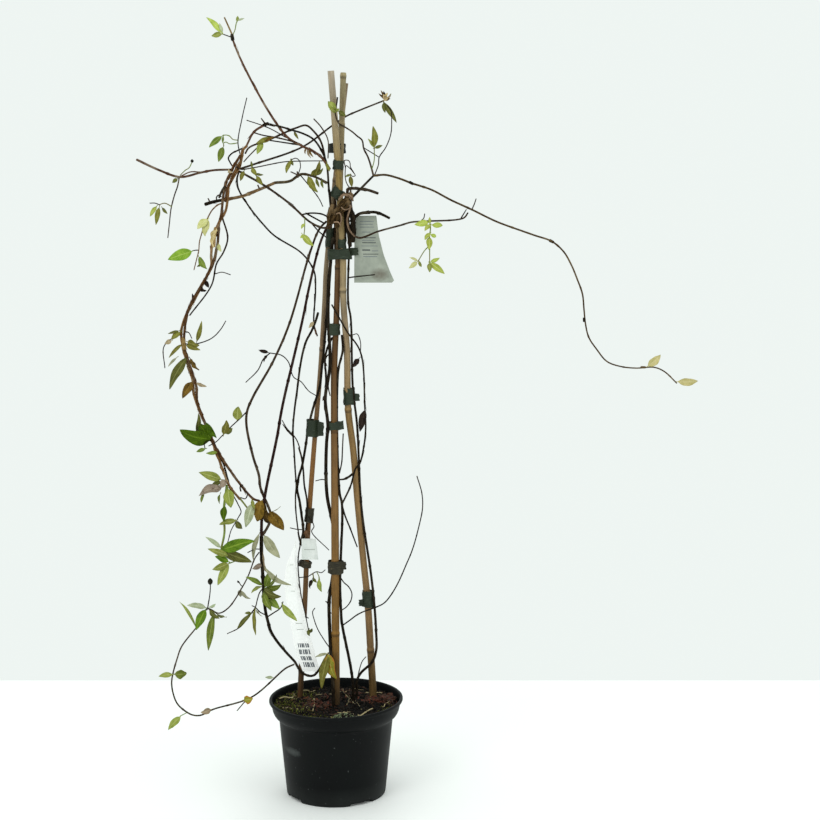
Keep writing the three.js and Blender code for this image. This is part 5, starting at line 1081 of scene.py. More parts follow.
def rope():
    stem = Stem("rope", "rope", "bark_rope", strips=0.28)
    stem.run("strand_one", 1.6, 1.5, [
        (-104, -14, 815), (-109, -12, 810), (-111, -10, 801), (-113, -8, 792), (-117, -6, 785),
        (-121, -4, 779), (-125, -4, 772), (-128, -4, 766), (-129, -4, 757), (-130, -5, 746),
        (-132, -6, 736), (-137, -6, 728), (-142, -7, 718), (-147, -8, 707), (-149, -8, 694),
        (-150, -8, 681), (-150, -9, 670), (-185, -11, 601), (-188, -10, 586), (-186, -11, 569),
        (-174, -15, 528), (-172, -17, 510), (-150, -25, 455), (-132, -29, 407), (-127, -30, 397),
        (-116, -30, 383),
    ])
    stem.run("strand_two", 1.6, 1.5, [
        (-112, -13, 804), (-116, -12, 798), (-120, -10, 792), (-123, -8, 786), (-126, -8, 780),
        (-130, -7, 773), (-132, -7, 766), (-134, -7, 757), (-135, -7, 749), (-136, -7, 740),
        (-137, -8, 731), (-140, -6, 721), (-141, -6, 710), (-142, -6, 698), (-145, -8, 682),
        (-149, -11, 668), (-162, -13, 646), (-173, -14, 627), (-180, -13, 611), (-184, -14, 574),
        (-180, -16, 557), (-169, -18, 520), (-168, -21, 504), (-147, -29, 452), (-140, -29, 438),
        (-100, -31, 384), (-92, -31, 381),
    ], "rope_dark")
    stem.run("strand_three", 1.1, 0.9, [
        (-136, -5, 729), (-130, -2, 704), (-135, -3, 687), (-144, -4, 672), (-150, -8, 646),
        (-177, -11, 609),
    ], "thin")
    stem.run("lower_strand", 1.1, 0.9, [(-142, -27, 438), (-136, -28, 427), (-129, -30, 402)], "dark")
    stem.run("green_end", 1.2, 1, [
        (-116, -30, 384), (-111, -31, 378), (-106, -32, 372), (-101, -33, 370),
    ], "green")
    stem.run("curl", 0.6, 0.5, [(-115, -30, 385), (-109, -33, 384), (-106, -36, 390), (-107, -38, 394)])
    stem.run("black_bud", 0.7, 1, [(-112, -31, 401), (-115, -34, 399), (-114, -36, 394)], "dark")
    stem.run("thin_fall", 0.7, 0.5, [
        (-129, -30, 398), (-123, -33, 387), (-118, -35, 378), (-114, -36, 368), (-117, -37, 362),
        (-120, -38, 357),
    ])
    stem.run("leafy_fall", 1.6, 1.3, [
        (-132, -29, 400), (-135, -40, 369), (-134, -43, 344), (-138, -44, 324),
    ], "green")
    stem.run("thin_rise", 0.5, 0.5, [
        (-120, -38, 357), (-126, -41, 346), (-132, -43, 328), (-137, -44, 326),
    ])
    stem.run("leaf_base", 0.7, 0.6, [
        (-138, -44, 323), (-130, -46, 316), (-120, -47, 310), (-128, -48, 306),
    ], "green")
    stem.run("cluster_twig", 0.7, 0.5, [
        (-150, -25, 455), (-155, -32, 456), (-158, -36, 453), (-157, -38, 447),
    ])
    stem.run("knot_twig", 0.8, 0.5, [
        (-188, -10, 586), (-194, -13, 583), (-199, -15, 580), (-196, -17, 588),
    ])
    stem.run("knot_fall", 0.6, 0.5, [
        (-194, -13, 583), (-204, -16, 577), (-209, -18, 569), (-207, -22, 545),
    ])
    stem.run("knot_rise", 0.7, 0.5, [
        (-183, -14, 574), (-171, -18, 574), (-150, -22, 581), (-138, -24, 592), (-131, -25, 603),
    ])
    stem.run("side_shoot", 0.9, 0.6, [
        (-136, -3, 746), (-141, -8, 744), (-148, -11, 737), (-153, -13, 728), (-158, -14, 718),
        (-160, -15, 710), (-163, -16, 699), (-164, -17, 688), (-167, -17, 677), (-170, -18, 665),
    ])
    stem.run("long_thread", 0.7, 0.5, [
        (-117, -12, 790), (-112, -13, 787), (-96, -12, 789), (-59, -11, 796), (-39, -10, 797),
        (-11, -16, 797),
    ])
    stem.run("curl_top", 1, 0.9, [
        (-110, -12, 812), (-115, -10, 810), (-124, -4, 806), (-128, -2, 801), (-126, -3, 796),
        (-122, -7, 790),
    ], "dark")
    stem.run("leafy_thread", 0.6, 0.5, [
        (-113, -10, 806), (-115, -11, 820), (-110, -9, 848), (-104, -8, 873),
    ])
    stem.run("leaf_stalk", 0.5, 0.5, [
        (-115, -11, 822), (-121, -13, 823), (-125, -14, 827), (-130, -16, 828), (-133, -16, 827),
    ], "green")
    stem.run("leaf_stalk_two", 0.5, 0.5, [
        (-115, -11, 819), (-121, -9, 818), (-126, -7, 818), (-130, -6, 820), (-133, -6, 819),
        (-133, -6, 815),
    ], "green")
    stem.run("peel", 2.2, 2.8, [(-144, -6, 716), (-146, -8, 706), (-147, -9, 694)], "tan")
    stem.run("node", 2.4, 2.8, [(-185, -13, 581), (-184, -15, 568)], "tan")
    stem.run("ring", 0.8, 0.8, [(-142, -2, 748), (-143, -4, 753), (-140, -5, 756), (-137, -5, 754)], "dark")
    stem.run("leaf_petiole", 0.6, 0.5, [(-164, -16, 689), (-168, -17, 689), (-172, -18, 688)], "dark")
    stem.run("leafy_twig", 0.5, 0.5, [(-98, -12, 790), (-94, -15, 781), (-89, -17, 774), (-84, -19, 767)])
    stem.run("side_thread", 0.5, 0.5, [(-145, -6, 660), (-137, -9, 662), (-126, -12, 659)])
    stem.run("star_stalk", 0.6, 0.5, [(-183, -13, 589), (-178, -15, 588), (-174, -17, 581)], "dark")
    stem.run("dark_knot", 1.7, 1.3, [(-132, -8, 766), (-136, -9, 760), (-139, -9, 753)], "dark")
    stem.run("inner_strand", 1.3, 1.2, [
        (-124, -6, 775), (-129, -6, 766), (-131, -6, 756), (-132, -6, 748),
    ], "rope_dark")
    stem.run("low_strand", 1.2, 1.1, [(-140, -5, 718), (-145, -6, 705), (-147, -6, 695)], "rope_dark")
    stem.run("middle_strand", 1.1, 1, [
        (-112, -11, 797), (-115, -11, 793), (-118, -10, 787), (-122, -8, 781), (-125, -7, 775),
    ], "rope")
    stem.leaf((-138, -28, 407), (-165, -40, 418), 11, "leafy", 15, 3)
    stem.leaf((-137, -30, 398), (-165, -42, 391), 13, "purple", 10, 4)
    stem.leaf((-137, -29, 405), (-152, -22, 398), 7, "moss", 30, 2)
    stem.leaf((-132, -29, 407), (-141, -36, 399), 9, "purple")
    stem.leaf((-139, -33, 391), (-141, -30, 377), 5, "green", 40, 2)
    stem.leaf((-130, -31, 397), (-126, -40, 374), 14, "leafy", 5, 3)
    stem.leaf((-133, -38, 377), (-134, -46, 358), 9, "deep", 20, 3)
    stem.leaf((-119, -38, 358), (-140, -46, 354), 8, "leafy", 20, 2)
    stem.leaf((-120, -38, 358), (-112, -42, 348), 9, "moss", 20, 2)
    stem.leaf((-138, -44, 323), (-96, -56, 336), 15, "fresh", 0, 6)
    stem.leaf((-137, -44, 322), (-100, -50, 308), 13, "moss", 15, 4)
    stem.leaf((-138, -44, 324), (-156, -52, 340), 6, "sage", 30, 2)
    stem.leaf((-128, -46, 315), (-153, -56, 326), 8, "leafy", 10, 3)
    stem.leaf((-128, -48, 306), (-148, -56, 300), 9, "leafy", 10, 2)
    stem.leaf((-128, -48, 307), (-142, -54, 280), 10, "leafy", 10, 3)
    stem.leaf((-127, -48, 307), (-146, -42, 314), 9, "fresh", 20, 2)
    stem.leaf((-100, -32, 379), (-108, -42, 350), 12, "sage", 5, 3)
    stem.leaf((-101, -31, 384), (-97, -38, 372), 5, "leafy")
    stem.leaf((-151, -26, 457), (-186, -48, 471), 21, "deep", 0, 6)
    stem.leaf((-150, -26, 456), (-165, -38, 479), 15, "deep", 15, 4)
    stem.leaf((-159, -23, 479), (-143, -36, 460), 9, "deep", 15, 3)
    stem.leaf((-168, -30, 465), (-163, -46, 491), 7, "moss", 30, 2)
    stem.leaf((-156, -38, 447), (-167, -44, 444), 5, "green")
    stem.leaf((-142, -28, 441), (-156, -36, 441), 5, "green")
    stem.leaf((-174, -15, 528), (-186, -24, 508), 11, "golden", 5, 2)
    stem.leaf((-170, -18, 527), (-156, -24, 522), 5, "tan")
    stem.leaf((-177, -15, 557), (-166, -22, 542), 7, "brown")
    stem.leaf((-188, -12, 589), (-199, -19, 580), 7, "olive")
    stem.leaf((-199, -16, 578), (-207, -20, 575), 7, "tan", 20, 0.5)
    stem.leaf((-186, -12, 574), (-202, -22, 558), 5, "olive", 20, 2)
    stem.leaf((-181, -15, 558), (-201, -30, 520), 12, "moss", 5, 4)
    stem.leaf((-168, -18, 577), (-160, -28, 603), 6, "olive", 10, 3)
    stem.leaf((-180, -15, 577), (-164, -24, 573), 11, "olive", 10, 2)
    stem.leaf((-182, -15, 573), (-163, -22, 567), 6, "olive", 10, 2)
    stem.leaf((-152, -14, 727), (-165, -20, 715), 10, "yellow", 10, 2)
    stem.leaf((-152, -14, 727), (-156, -20, 706), 10, "yellow", 15, 2)
    stem.leaf((-171, -18, 688), (-200, -28, 678), 14, "bright", 0, 4)
    stem.leaf((-164, -17, 682), (-153, -24, 666), 9, "green", 20, 2)
    stem.leaf((-143, -6, 718), (-147, -15, 692), 9, "husk", 20, 2)
    stem.leaf((-142, -6, 698), (-137, -12, 687), 6, "pale")
    stem.leaf((-157, -9, 652), (-153, -14, 643), 6, "dead")
    stem.leaf((-163, -10, 644), (-156, -15, 639), 7, "dead")
    stem.leaf((-107, -13, 786), (-112, -18, 773), 6, "olive")
    stem.leaf((-98, -13, 789), (-92, -18, 779), 6, "olive", 20, 2)
    stem.leaf((-94, -15, 782), (-84, -18, 780), 3.5, "moss", 30)
    stem.leaf((-159, -38, 392), (-162, -44, 381), 4.5, "green")
    stem.leaf((-189, -12, 590), (-203, -19, 587), 3.5, "moss", 30)
    stem.leaf((-192, -16, 558), (-203, -22, 547), 3.5, "back", 30)
    stem.leaf((-161, -18, 671), (-166, -20, 669), 3, "moss", 20, 0.5)
    stem.leaf((-172, -10, 627), (-173, -14, 636), 4, "dead")
    stem.leaf((-93, -15, 780), (-85, -20, 768), 6, "olive")
    stem.leaf((-98, -12, 789), (-99, -15, 797), 3, "moss", 20, 0.5)
    stem.leaf((-133, -16, 827), (-149, -22, 813), 7.5, "green", 10, 2)
    stem.leaf((-132, -16, 827), (-133, -18, 818), 3, "green", 20, 0.5)
    stem.leaf((-133, -6, 815), (-139, -12, 796), 8.5, "green", 10, 2)
    return stem


def crossing_twig():
    stem = Stem("crossing_twig", "brown", "bark_brown")
    stem.run("twig", 1.3, 1, [
        (-114, -1, 788), (-96, 3, 794), (-38, 10, 815), (-3, 14, 840), (15, 14, 852), (33, 14, 860),
        (62, 10, 871),
    ])
    stem.run("husk_stalk", 0.6, 0.5, [(60, 10, 870), (67, 8, 874), (71, 7, 879)], "green")
    stem.leaf((63, 8, 872), (56, 3, 879), 3, "brown")
    stem.leaf((63, 8, 873), (59, 4, 883), 3, "brown")
    stem.leaf((64, 6, 875), (62, 3, 882), 3, "dead", 20, 0.5)
    stem.leaf((63, 8, 873), (67, 3, 880), 4.6, "husk")
    stem.leaf((64, 8, 873), (71, 3, 877), 3.6, "tan")
    stem.leaf((64, 8, 872), (70, 3, 873), 3.4, "brown")
    stem.leaf((63, 7, 872), (68, 1, 875), 4.8, "husk")
    stem.leaf((63, 7, 872), (62, 2, 878), 3.8, "husk")
    stem.leaf((62, 10, 870), (64, 6, 856), 5.5, "moss")
    stem.leaf((62, 10, 870), (78, 2, 844), 7, "moss", 15, 2)
    return stem


def cut_branch():
    stem = Stem("cut_branch", "pale", "bark_pale", strips=0.1)
    stem.run("cut_end", 2.2, 1.9, [(-158, 6, 745), (-148, 6, 748), (-138, 5, 750)], "dark")
    stem.run("branch", 1.9, 1.8, [(-138, 5, 750), (-111, 1, 755), (-90, -2, 763), (-71, -4, 771)], "branch")
    stem.run("upper_branch", 1.8, 1.3, [
        (-71, -4, 771), (-52, -8, 773), (-39, -12, 781), (-25, -15, 779), (-13, -18, 774), (-5, -21, 770),
    ], "branch_dark")
    stem.run("nub_low", 1, 0.8, [(-152, 6, 747), (-154, 3, 752)])
    stem.run("nub_middle", 1.2, 0.9, [(-90, -2, 763), (-92, -5, 768)])
    stem.run("nub_high", 1, 0.7, [(-42, -11, 780), (-51, -12, 784)])
    stem.run("thin_down", 0.6, 0.5, [(-40, -12, 781), (-17, -14, 752), (-12, -15, 742)])
    stem.run("hook", 0.5, 0.5, [
        (-42, -11, 781), (-39, -14, 790), (-40, -18, 797), (-44, -20, 800), (-50, -21, 798),
    ])
    stem.run("nub_under", 1, 0.7, [(-43, -12, 784), (-42, -13, 777)])
    stem.leaf((-50, -21, 798), (-56, -24, 782), 6, "olive", 10)
    stem.leaf((-50, -21, 798), (-47, -24, 791), 4, "moss", 30, 0.5)
    stem.leaf((-30, -14, 779), (-18, -22, 759), 9, "olive", 10, 3)
    stem.leaf((-22, -16, 778), (-15, -25, 797), 7, "olive", 20, 2)
    stem.leaf((-26, -15, 779), (-20, -20, 787), 6, "olive", 30)
    stem.leaf((-20, -16, 777), (-16, -20, 765), 4, "moss", 30)
    stem.leaf((-13, -18, 775), (-11, -22, 764), 4, "moss", 30)
    stem.leaf((-20, -16, 779), (-11, -24, 788), 4.5, "moss")
    return stem


def arched_stem():
    stem = Stem("arched_stem", "dark", "bark_dark", strips=0.04)
    stem.run("black_stem", 1.4, 1.3, [
        (-115, -2, 785), (-81, -11, 766), (-52, -15, 745), (-30, -18, 725), (-20, -19, 719),
        (-11, -20, 716), (-1, -20, 719),
    ], "brown")
    stem.run("branch", 0.9, 0.8, [(-25, -18, 721), (-17, -20, 712), (-7, -20, 704)])
    stem.run("stub_one", 1, 1, [(-38, -17, 732), (-27, -14, 734), (-14, -12, 733), (-7, -12, 730)])
    stem.run("stub_two", 1, 1, [(-33, -15, 734), (-11, -18, 722)])
    stem.run("thin_stem", 1.1, 1, [
        (-115, -2, 785), (-118, 3, 776), (-117, 6, 764), (-104, 6, 742), (-88, 3, 722), (-73, -2, 707),
        (-41, -6, 687), (-30, -7, 675), (-23, -8, 661), (-22, -9, 640), (-24, -12, 597), (-20, -13, 584),
    ])
    stem.run("leafy_hang", 0.5, 0.5, [(-34, -18, 729), (-34, -21, 716), (-35, -22, 706)], "green")
    stem.leaf((-37, -22, 709), (-23, -28, 694), 8, "lime", 10, 2)
    stem.leaf((-34, -20, 721), (-38, -24, 715), 4, "lime")
    stem.leaf((-35, -22, 707), (-39, -26, 704), 4, "lime", 20, 0.5)
    stem.leaf((-24, -12, 601), (-30, -16, 594), 5, "tan")
    stem.leaf((-23, -12, 596), (-20, -15, 583), 3, "bark", 20, 0.5)
    return stem


def left_shoot():
    stem = Stem("left_shoot", "brown", "bark_brown")
    stem.run("shoot", 1.5, 1.3, [
        (-240, -2, 799), (-212, -4, 786), (-187, -4, 778), (-163, -4, 783), (-147, -4, 786),
        (-123, -6, 787),
    ], "shoot")
    stem.run("upper_strand", 0.7, 0.6, [(-186, -4, 779), (-174, -7, 784), (-162, -5, 784)], "shoot")
    stem.run("bud_stalk", 0.5, 0.5, [
        (-187, -4, 780), (-180, -8, 786), (-175, -10, 789), (-171, -12, 796),
    ], "green")
    stem.run("hanging_twig", 0.8, 0.5, [
        (-188, -4, 778), (-190, -6, 767), (-194, -8, 755), (-198, -10, 739), (-200, -12, 721),
        (-202, -13, 704),
    ])
    stem.run("leaf_stalk", 0.6, 0.5, [(-197, -10, 742), (-205, -13, 746), (-212, -15, 744)], "green")
    stem.run("tendril", 0.5, 0.5, [(-211, -15, 744), (-216, -18, 746), (-222, -21, 746)])
    stem.run("bud", 2, 2, [(-171, -12, 795), (-171, -12, 799)], "bud")
    stem.leaf((-190, -5, 776), (-196, -9, 771), 5, "moss", 20, 0.5)
    stem.leaf((-214, -15, 743), (-222, -22, 730), 5.5, "lime", 10)
    stem.leaf((-211, -15, 742), (-215, -22, 720), 6.5, "olive", 10, 2)
    stem.leaf((-208, -15, 741), (-201, -20, 733), 4, "moss")
    stem.leaf((-128, -5, 787), (-123, -13, 783), 5, "tan", 30)
    return stem


def right_vine():
    stem = Stem("right_vine", "vine", "bark_pale")
    stem.run("rise", 1.6, 1.3, [(21, -19, 750), (50, -20, 779)], "dark")
    stem.run("vine", 1.5, 0.9, [
        (50, -20, 779), (64, -21, 780), (80, -23, 776), (96, -25, 770), (120, -28, 762), (143, -31, 750),
        (169, -34, 738), (198, -37, 724), (225, -40, 714), (245, -42, 707), (265, -44, 700),
        (279, -46, 688), (288, -48, 673), (296, -50, 654), (302, -51, 637), (304, -52, 619),
        (306, -53, 601), (310, -54, 585), (320, -55, 570), (332, -56, 556), (348, -57, 550),
        (367, -58, 548), (389, -59, 549), (401, -60, 544), (416, -61, 530),
    ])
    stem.run("up_branch", 1.2, 0.9, [
        (50, -20, 779), (47, -17, 790), (43, -14, 802), (38, -10, 812), (36, -12, 822), (30, -15, 827),
        (24, -18, 832), (16, -22, 837),
    ], "brown")
    stem.run("thin_rise", 0.6, 0.5, [
        (51, -20, 779), (56, -22, 792), (57, -22, 801), (65, -21, 813), (71, -18, 829), (72, -12, 847),
        (71, -6, 858), (67, -1, 864),
    ])
    stem.run("link", 0.5, 0.5, [(57, -22, 801), (38, -11, 813)])
    stem.run("small_twig", 0.7, 0.5, [(169, -34, 738), (172, -36, 745), (174, -37, 751)])
    stem.run("leaf_stalk", 0.5, 0.5, [(48, -18, 787), (51, -22, 798), (51, -24, 812)], "green")
    stem.run("knuckle_one", 1.9, 1.7, [(94, -25, 771), (98, -25, 769)], "dark")
    stem.run("knuckle_two", 1.9, 1.7, [(263, -42, 701), (267, -43, 699)], "dark")
    stem.run("knuckle_three", 1.5, 1.3, [(304, -53, 608), (304, -53, 604)], "dark")
    stem.run("knuckle_four", 1.7, 1.6, [(373, -59, 549), (378, -59, 549)])
    stem.run("tendril", 0.5, 0.5, [
        (23, -21, 762), (18, -24, 769), (16, -25, 776), (16, -25, 786), (17, -25, 791), (20, -26, 789),
        (24, -26, 785), (28, -26, 779), (25, -27, 778), (22, -27, 780),
    ])
    stem.run("tendril_loop", 0.5, 0.5, [
        (16, -25, 789), (15, -24, 797), (20, -25, 797), (22, -26, 793), (22, -26, 790), (26, -26, 783),
    ])
    stem.leaf((51, -24, 812), (50, -26, 838), 9, "olive", 20, 2)
    stem.leaf((51, -24, 812), (44, -28, 823), 4, "leafy", 20, 0.5)
    stem.leaf((51, -24, 812), (61, -28, 815), 4, "moss", 20, 0.5)
    stem.leaf((380, -59, 550), (396, -62, 564), 10.5, "cream", 10, 2)
    stem.leaf((416, -61, 532), (441, -64, 533), 10, "cream", 5, 3)
    stem.leaf((22, -27, 780), (24, -30, 765), 5.5, "olive", 10)
    stem.leaf((22, -27, 780), (16, -29, 777), 3.5, "moss", 20, 0.5)
    return stem


def right_spray():
    stem = Stem("right_spray", "brown", "bark_brown")
    stem.run("loop", 1.2, 1.1, [
        (17, -22, 741), (22, -25, 743), (19, -27, 731), (18, -27, 724), (21, -25, 713), (27, -24, 706),
    ], "twine")
    stem.run("stem", 1.2, 1, [
        (27, -24, 706), (33, -23, 704), (41, -24, 706), (53, -26, 711), (82, -30, 719), (96, -32, 723),
        (109, -34, 724), (159, -39, 728), (164, -40, 734),
    ])
    stem.run("up_twig", 0.6, 0.5, [(107, -34, 724), (111, -36, 728), (112, -37, 733)])
    stem.run("up_twig_two", 0.7, 0.5, [(156, -39, 728), (162, -44, 738)])
    stem.run("hang", 0.7, 0.5, [
        (118, -35, 724), (119, -39, 716), (118, -41, 706), (118, -42, 697), (118, -43, 687),
        (118, -44, 675),
    ], "green")
    stem.run("hang_left", 0.5, 0.5, [(118, -42, 695), (112, -44, 689), (104, -46, 676)], "green")
    stem.leaf((118, -36, 723), (100, -42, 720), 8, "lime", 10, 2)
    stem.leaf((119, -37, 720), (112, -44, 713), 6, "lime")
    stem.leaf((119, -37, 720), (134, -32, 719), 7, "lime", 10, 2)
    stem.leaf((118, -37, 721), (118, -40, 729), 4, "lime", 20, 0.5)
    stem.leaf((119, -40, 710), (112, -46, 702), 6, "lime")
    stem.leaf((119, -40, 709), (126, -36, 705), 5, "lime", 10)
    stem.leaf((118, -41, 706), (117, -46, 690), 8, "lime", 10, 2)
    stem.leaf((118, -44, 675), (136, -50, 661), 8, "lime", 5, 2)
    stem.leaf((118, -44, 675), (130, -48, 680), 5, "lime", 10)
    stem.leaf((118, -44, 675), (118, -50, 663), 6, "leafy")
    stem.leaf((104, -46, 676), (93, -52, 668), 6, "pale", 10)
    stem.leaf((104, -46, 676), (94, -52, 681), 3.5, "pale", 30)
    stem.leaf((105, -46, 677), (108, -42, 669), 4, "leafy", 20, 0.5)
    return stem


def right_stubs():
    stem = Stem("right_stubs", "pale", "bark_pale", strips=0.15)
    stem.run("upper_stub", 1.9, 1.7, [
        (18, -17, 759), (19, -16, 763), (27, -14, 764), (35, -12, 763), (43, -10, 762), (55, -8, 758),
    ], "brown")
    stem.run("lower_stub", 1.9, 1.6, [
        (22, -16, 724), (28, -14, 730), (32, -13, 733), (42, -11, 735), (53, -10, 735), (61, -9, 732),
        (69, -8, 728),
    ], "dark")
    stem.run("joint", 1.2, 1.1, [(26, -15, 727), (23, -12, 741), (22, -12, 754), (22, -15, 764)])
    return stem


def cane_top_shoot():
    stem = Stem("cane_top_shoot", "thin", "leaf_green")
    stem.run("stem", 1, 0.8, [(16, -22, 837), (8, -27, 842), (5, -28, 850), (4, -29, 857)], "thin")
    stem.run("spur", 0.8, 1, [(4, -29, 857), (6, -28, 864), (7, -27, 872)], "dark")
    stem.leaf((5, -28, 856), (-4, -34, 867), 9, "leafy", 10)
    stem.leaf((5, -28, 855), (-2, -36, 857), 7, "leafy")
    stem.leaf((5, -28, 857), (9, -34, 858), 5, "leafy")
    stem.leaf((8, -28, 856), (17, -30, 850), 6.5, "moss", 10)
    return stem


# Canes

# Stations of each cane from the soil up: x, y, z and radius
CANES = {
    "cane_left": [
        (-51, 28, 18, 3.9), (-47.5, 27, 113, 3.8), (-40, 24, 243, 3.3), (-36, 22, 324, 3.2),
        (-27, 18, 438, 3.1), (-18, 15, 539, 3), (-12, 12, 627, 2.9), (-10, 11, 664, 2.9), (-1, 10, 750, 2.9),
        (16, 9.5, 892, 2.8),
    ],
    "cane_middle": [
        (-0.5, -2, 18, 5.2), (0, -2, 116, 5.1), (0, -2, 206, 5), (0, -1, 300, 4.9), (0, -1, 364, 4.8),
        (0, 0, 490, 4.5), (0, 0, 541, 4), (3, 0, 603, 3.7), (5, 0, 664, 3.6), (13, 1.5, 904, 3.6),
    ],
    "cane_right": [
        (49, 28, 18, 4.8), (47, 27, 113, 4.7), (44, 24, 174, 4.6), (40, 22, 244, 4.4), (35, 19, 296, 4.2),
        (28, 14, 374, 4.2), (23, 11, 439, 4.2), (17, 8, 490, 4.2), (16, 0, 565, 4), (12, -5, 628, 3.9),
        (12, -9, 684, 3.9), (4, -17, 834, 4.1), (-1, -22, 904, 4),
    ],
}
# Heights of the joints of each cane
CANE_JOINTS = {
    "cane_left": (150, 352, 566, 775),
    "cane_middle": (206, 465, 668, 842, 900),
    "cane_right": (178, 490, 640, 795),
}
# Each cane's paint: its tones by height in metres, its stain, and then its slot
CANE_LOOKS = {
    "cane_left": ("bamboo_left", [
        (0.13, "44301a"), (0.22, "5e4428"), (0.42, "845c30"), (0.55, "7c664c"), (0.66, "86745a"),
    ], "6a4222", "bamboo"),
    "cane_middle": ("bamboo_middle", [
        (0.12, "40301c"), (0.2, "7a5824"), (0.38, "785830"), (0.56, "583c1e"), (0.64, "5c4024"),
        (0.76, "786648"), (0.9, "928664"),
    ], "5c3e18", "bamboo_dark"),
    "cane_right": ("bamboo_right", [
        (0.14, "54401e"), (0.22, "886a46"), (0.48, "82663c"), (0.6, "98866a"), (0.78, "86703c"),
        (0.9, "a49884"),
    ], "7a5c38", "bamboo"),
}
CANE_SPACING = 1.6
CANE_SIDES = 28
CANE_BORE = 0.5
CANE_BORE_DEPTH = 14
# A joint's swelling and the groove above it: rise or depth, and reach. The groove lies so far above.
JOINT_SWELL = (0.42, 2.4)
JOINT_GROOVE = (0.3, 1.3)
GROOVE_ABOVE = 3.6
# Half the way between a joint's pale and dark rings, and their reaches
RING_APART = 1.8
PALE_REACH = 1.3
DARK_REACH = 1.8


def cane_radius(stations, z):
    """A cane's radius at a height, between its two nearest stations."""
    low = max((s for s in stations if s[2] <= z + 0.01), key=lambda s: s[2])
    high = min((s for s in stations if s[2] >= z - 0.01), key=lambda s: s[2])
    gap = high[2] - low[2]
    return low[3] + (high[3] - low[3]) * ((z - low[2]) / gap if gap else 0)


def make_cane(name):
    """A cane with a swelling and a two-toned ring at each joint, and a hollow top."""
    stations = CANES[name]
    paint_name, tones, stain, slot_name = CANE_LOOKS[name]
    places = smooth_path([station[:3] for station in stations], CANE_SPACING)
    frames = frames_of(places)
    phase = random.Random(name).uniform(0, TAU)
    rings = []
    marks = []
    for place, (tangent, across, beside) in zip(places, frames):
        radius = cane_radius(stations, place.z)
        mark = 0.0
        for joint in CANE_JOINTS[name]:
            away = place.z - joint
            swell = JOINT_SWELL[0] * hump(away, JOINT_SWELL[1])
            radius += swell - JOINT_GROOVE[0] * hump(away - GROOVE_ABOVE, JOINT_GROOVE[1])
            mark += hump(away + RING_APART, PALE_REACH) - 0.6 * hump(away - RING_APART, DARK_REACH)

        def reach(angle):
            uneven = 0.012 * math.sin(3 * angle + phase)
            return radius * (1 + uneven + 0.008 * math.sin(9 * angle + place.z * 0.02))

        rings.append(circle(place, across, beside, CANE_SIDES, reach))
        marks.append(mark)
    tangent, across, beside = frames[-1]
    for drop in (0, CANE_BORE_DEPTH):
        centre = places[-1] - tangent * drop
        rings.append(circle(centre, across, beside, CANE_SIDES, lambda angle: CANE_BORE * stations[-1][3]))
        marks.append(0.0)
    shape = Shape()
    add_rings(shape, rings, 0)
    shape.rings = [(low + high) / 2 for low, high in zip(marks, marks[1:]) for unused in range(CANE_SIDES)]
    shape.rings += [0.0] * (2 * CANE_SIDES)
    piece = shape.make(name + "_bamboo", [bamboo_paint(paint_name, tones, stain)], sharp=50)
    settle(piece, slot_name, name)


# Tape ties

# Each tie's centre, half width, half depth, height, tilt in degrees, and loose ends: where each one is from
# the centre, its width and its height
TIES = {
    "tie_left_lower": ((-39.5, 20.3, 291), 9.7, 7.2, 8, 12, []),
    "tie_left_middle": ((-33, 19, 354), 6.2, 6, 18, 6, []),
    "tie_left_upper": ((-28.4, 14.2, 466), 8.6, 8.5, 21, 4, [(10.5, -3, 0, 8, 19)]),
    "tie_middle": ((2, -0.5, 471), 11, 6.6, 10, -6, []),
    "tie_right_upper": ((18.5, 7, 507), 7.6, 6.2, 21, 0, [(9.6, -2.5, -1, 6.5, 10)]),
    "tie_middle_lower": ((0.5, 1.6, 291), 10.8, 9.2, 16, 0, [(9.5, -6.2, 3, 8, 11)]),
    "tie_right_lower": ((41.5, 19.6, 246), 8.6, 8, 21, 0, [(-10, -2, -5, 5, 9)]),
    "tie_middle_upper": ((-0.5, -0.6, 591), 8.6, 5.6, 14, 0, []),
    "tie_ring": ((8, -1, 684), 16.4, 15, 13, -2, [(18.4, -4.8, 2.5, 8.6, 10)]),
    "tie_tape_left": ((-4.5, 6, 704), 6, 8.6, 24, 3, []),
    "tie_tape_centre": ((11.2, -10, 696.6), 5.2, 5.2, 11, 0, []),
    "tie_diagonal": ((4.5, -13.5, 758), 8.4, 6.2, 13, 35, []),
    "tie_upper": ((7.5, -15, 792), 7.2, 6, 11, 4, []),
    "tie_top": ((4.2, 5.2, 813), 12, 9, 11, 0, []),
}
TAPE_THICKNESS = 0.8
TAIL_THICKNESS = 0.6
# How far the tape is pulled in from its oval round what it holds
TAPE_PULL = 0.2
TIE_STEPS = 56
TIE_ROWS = 9
TAIL_STEPS = 6
HULL_STEP = 0.14


def held_by(centre, half_width, half_depth, all_paths):
    """Circles, from above, of the canes and stems that pass through a tie."""
    held = []
    for path, radius in all_paths:
        for low, high in zip(path, path[1:]):
            if min(low[2], high[2]) <= centre[2] <= max(low[2], high[2]) and low[2] != high[2]:
                share = (centre[2] - low[2]) / (high[2] - low[2])
                x = low[0] + (high[0] - low[0]) * share - centre[0]
                y = low[1] + (high[1] - low[1]) * share - centre[1]
                if (x / half_width) ** 2 + (y / half_depth) ** 2 < 1:
                    held.append((x, y, radius))
    return held


def hull_reach(held, angle):
    """How far the tape that is pulled round the circles lies from the tie's centre, in one direction."""
    reaches = []
    for step in range(-5, 6):
        away = angle + step * HULL_STEP
        support = max(x * math.cos(away) + y * math.sin(away) + r for x, y, r in held)
        reaches.append(support / math.cos(step * HULL_STEP))
    return min(reaches)


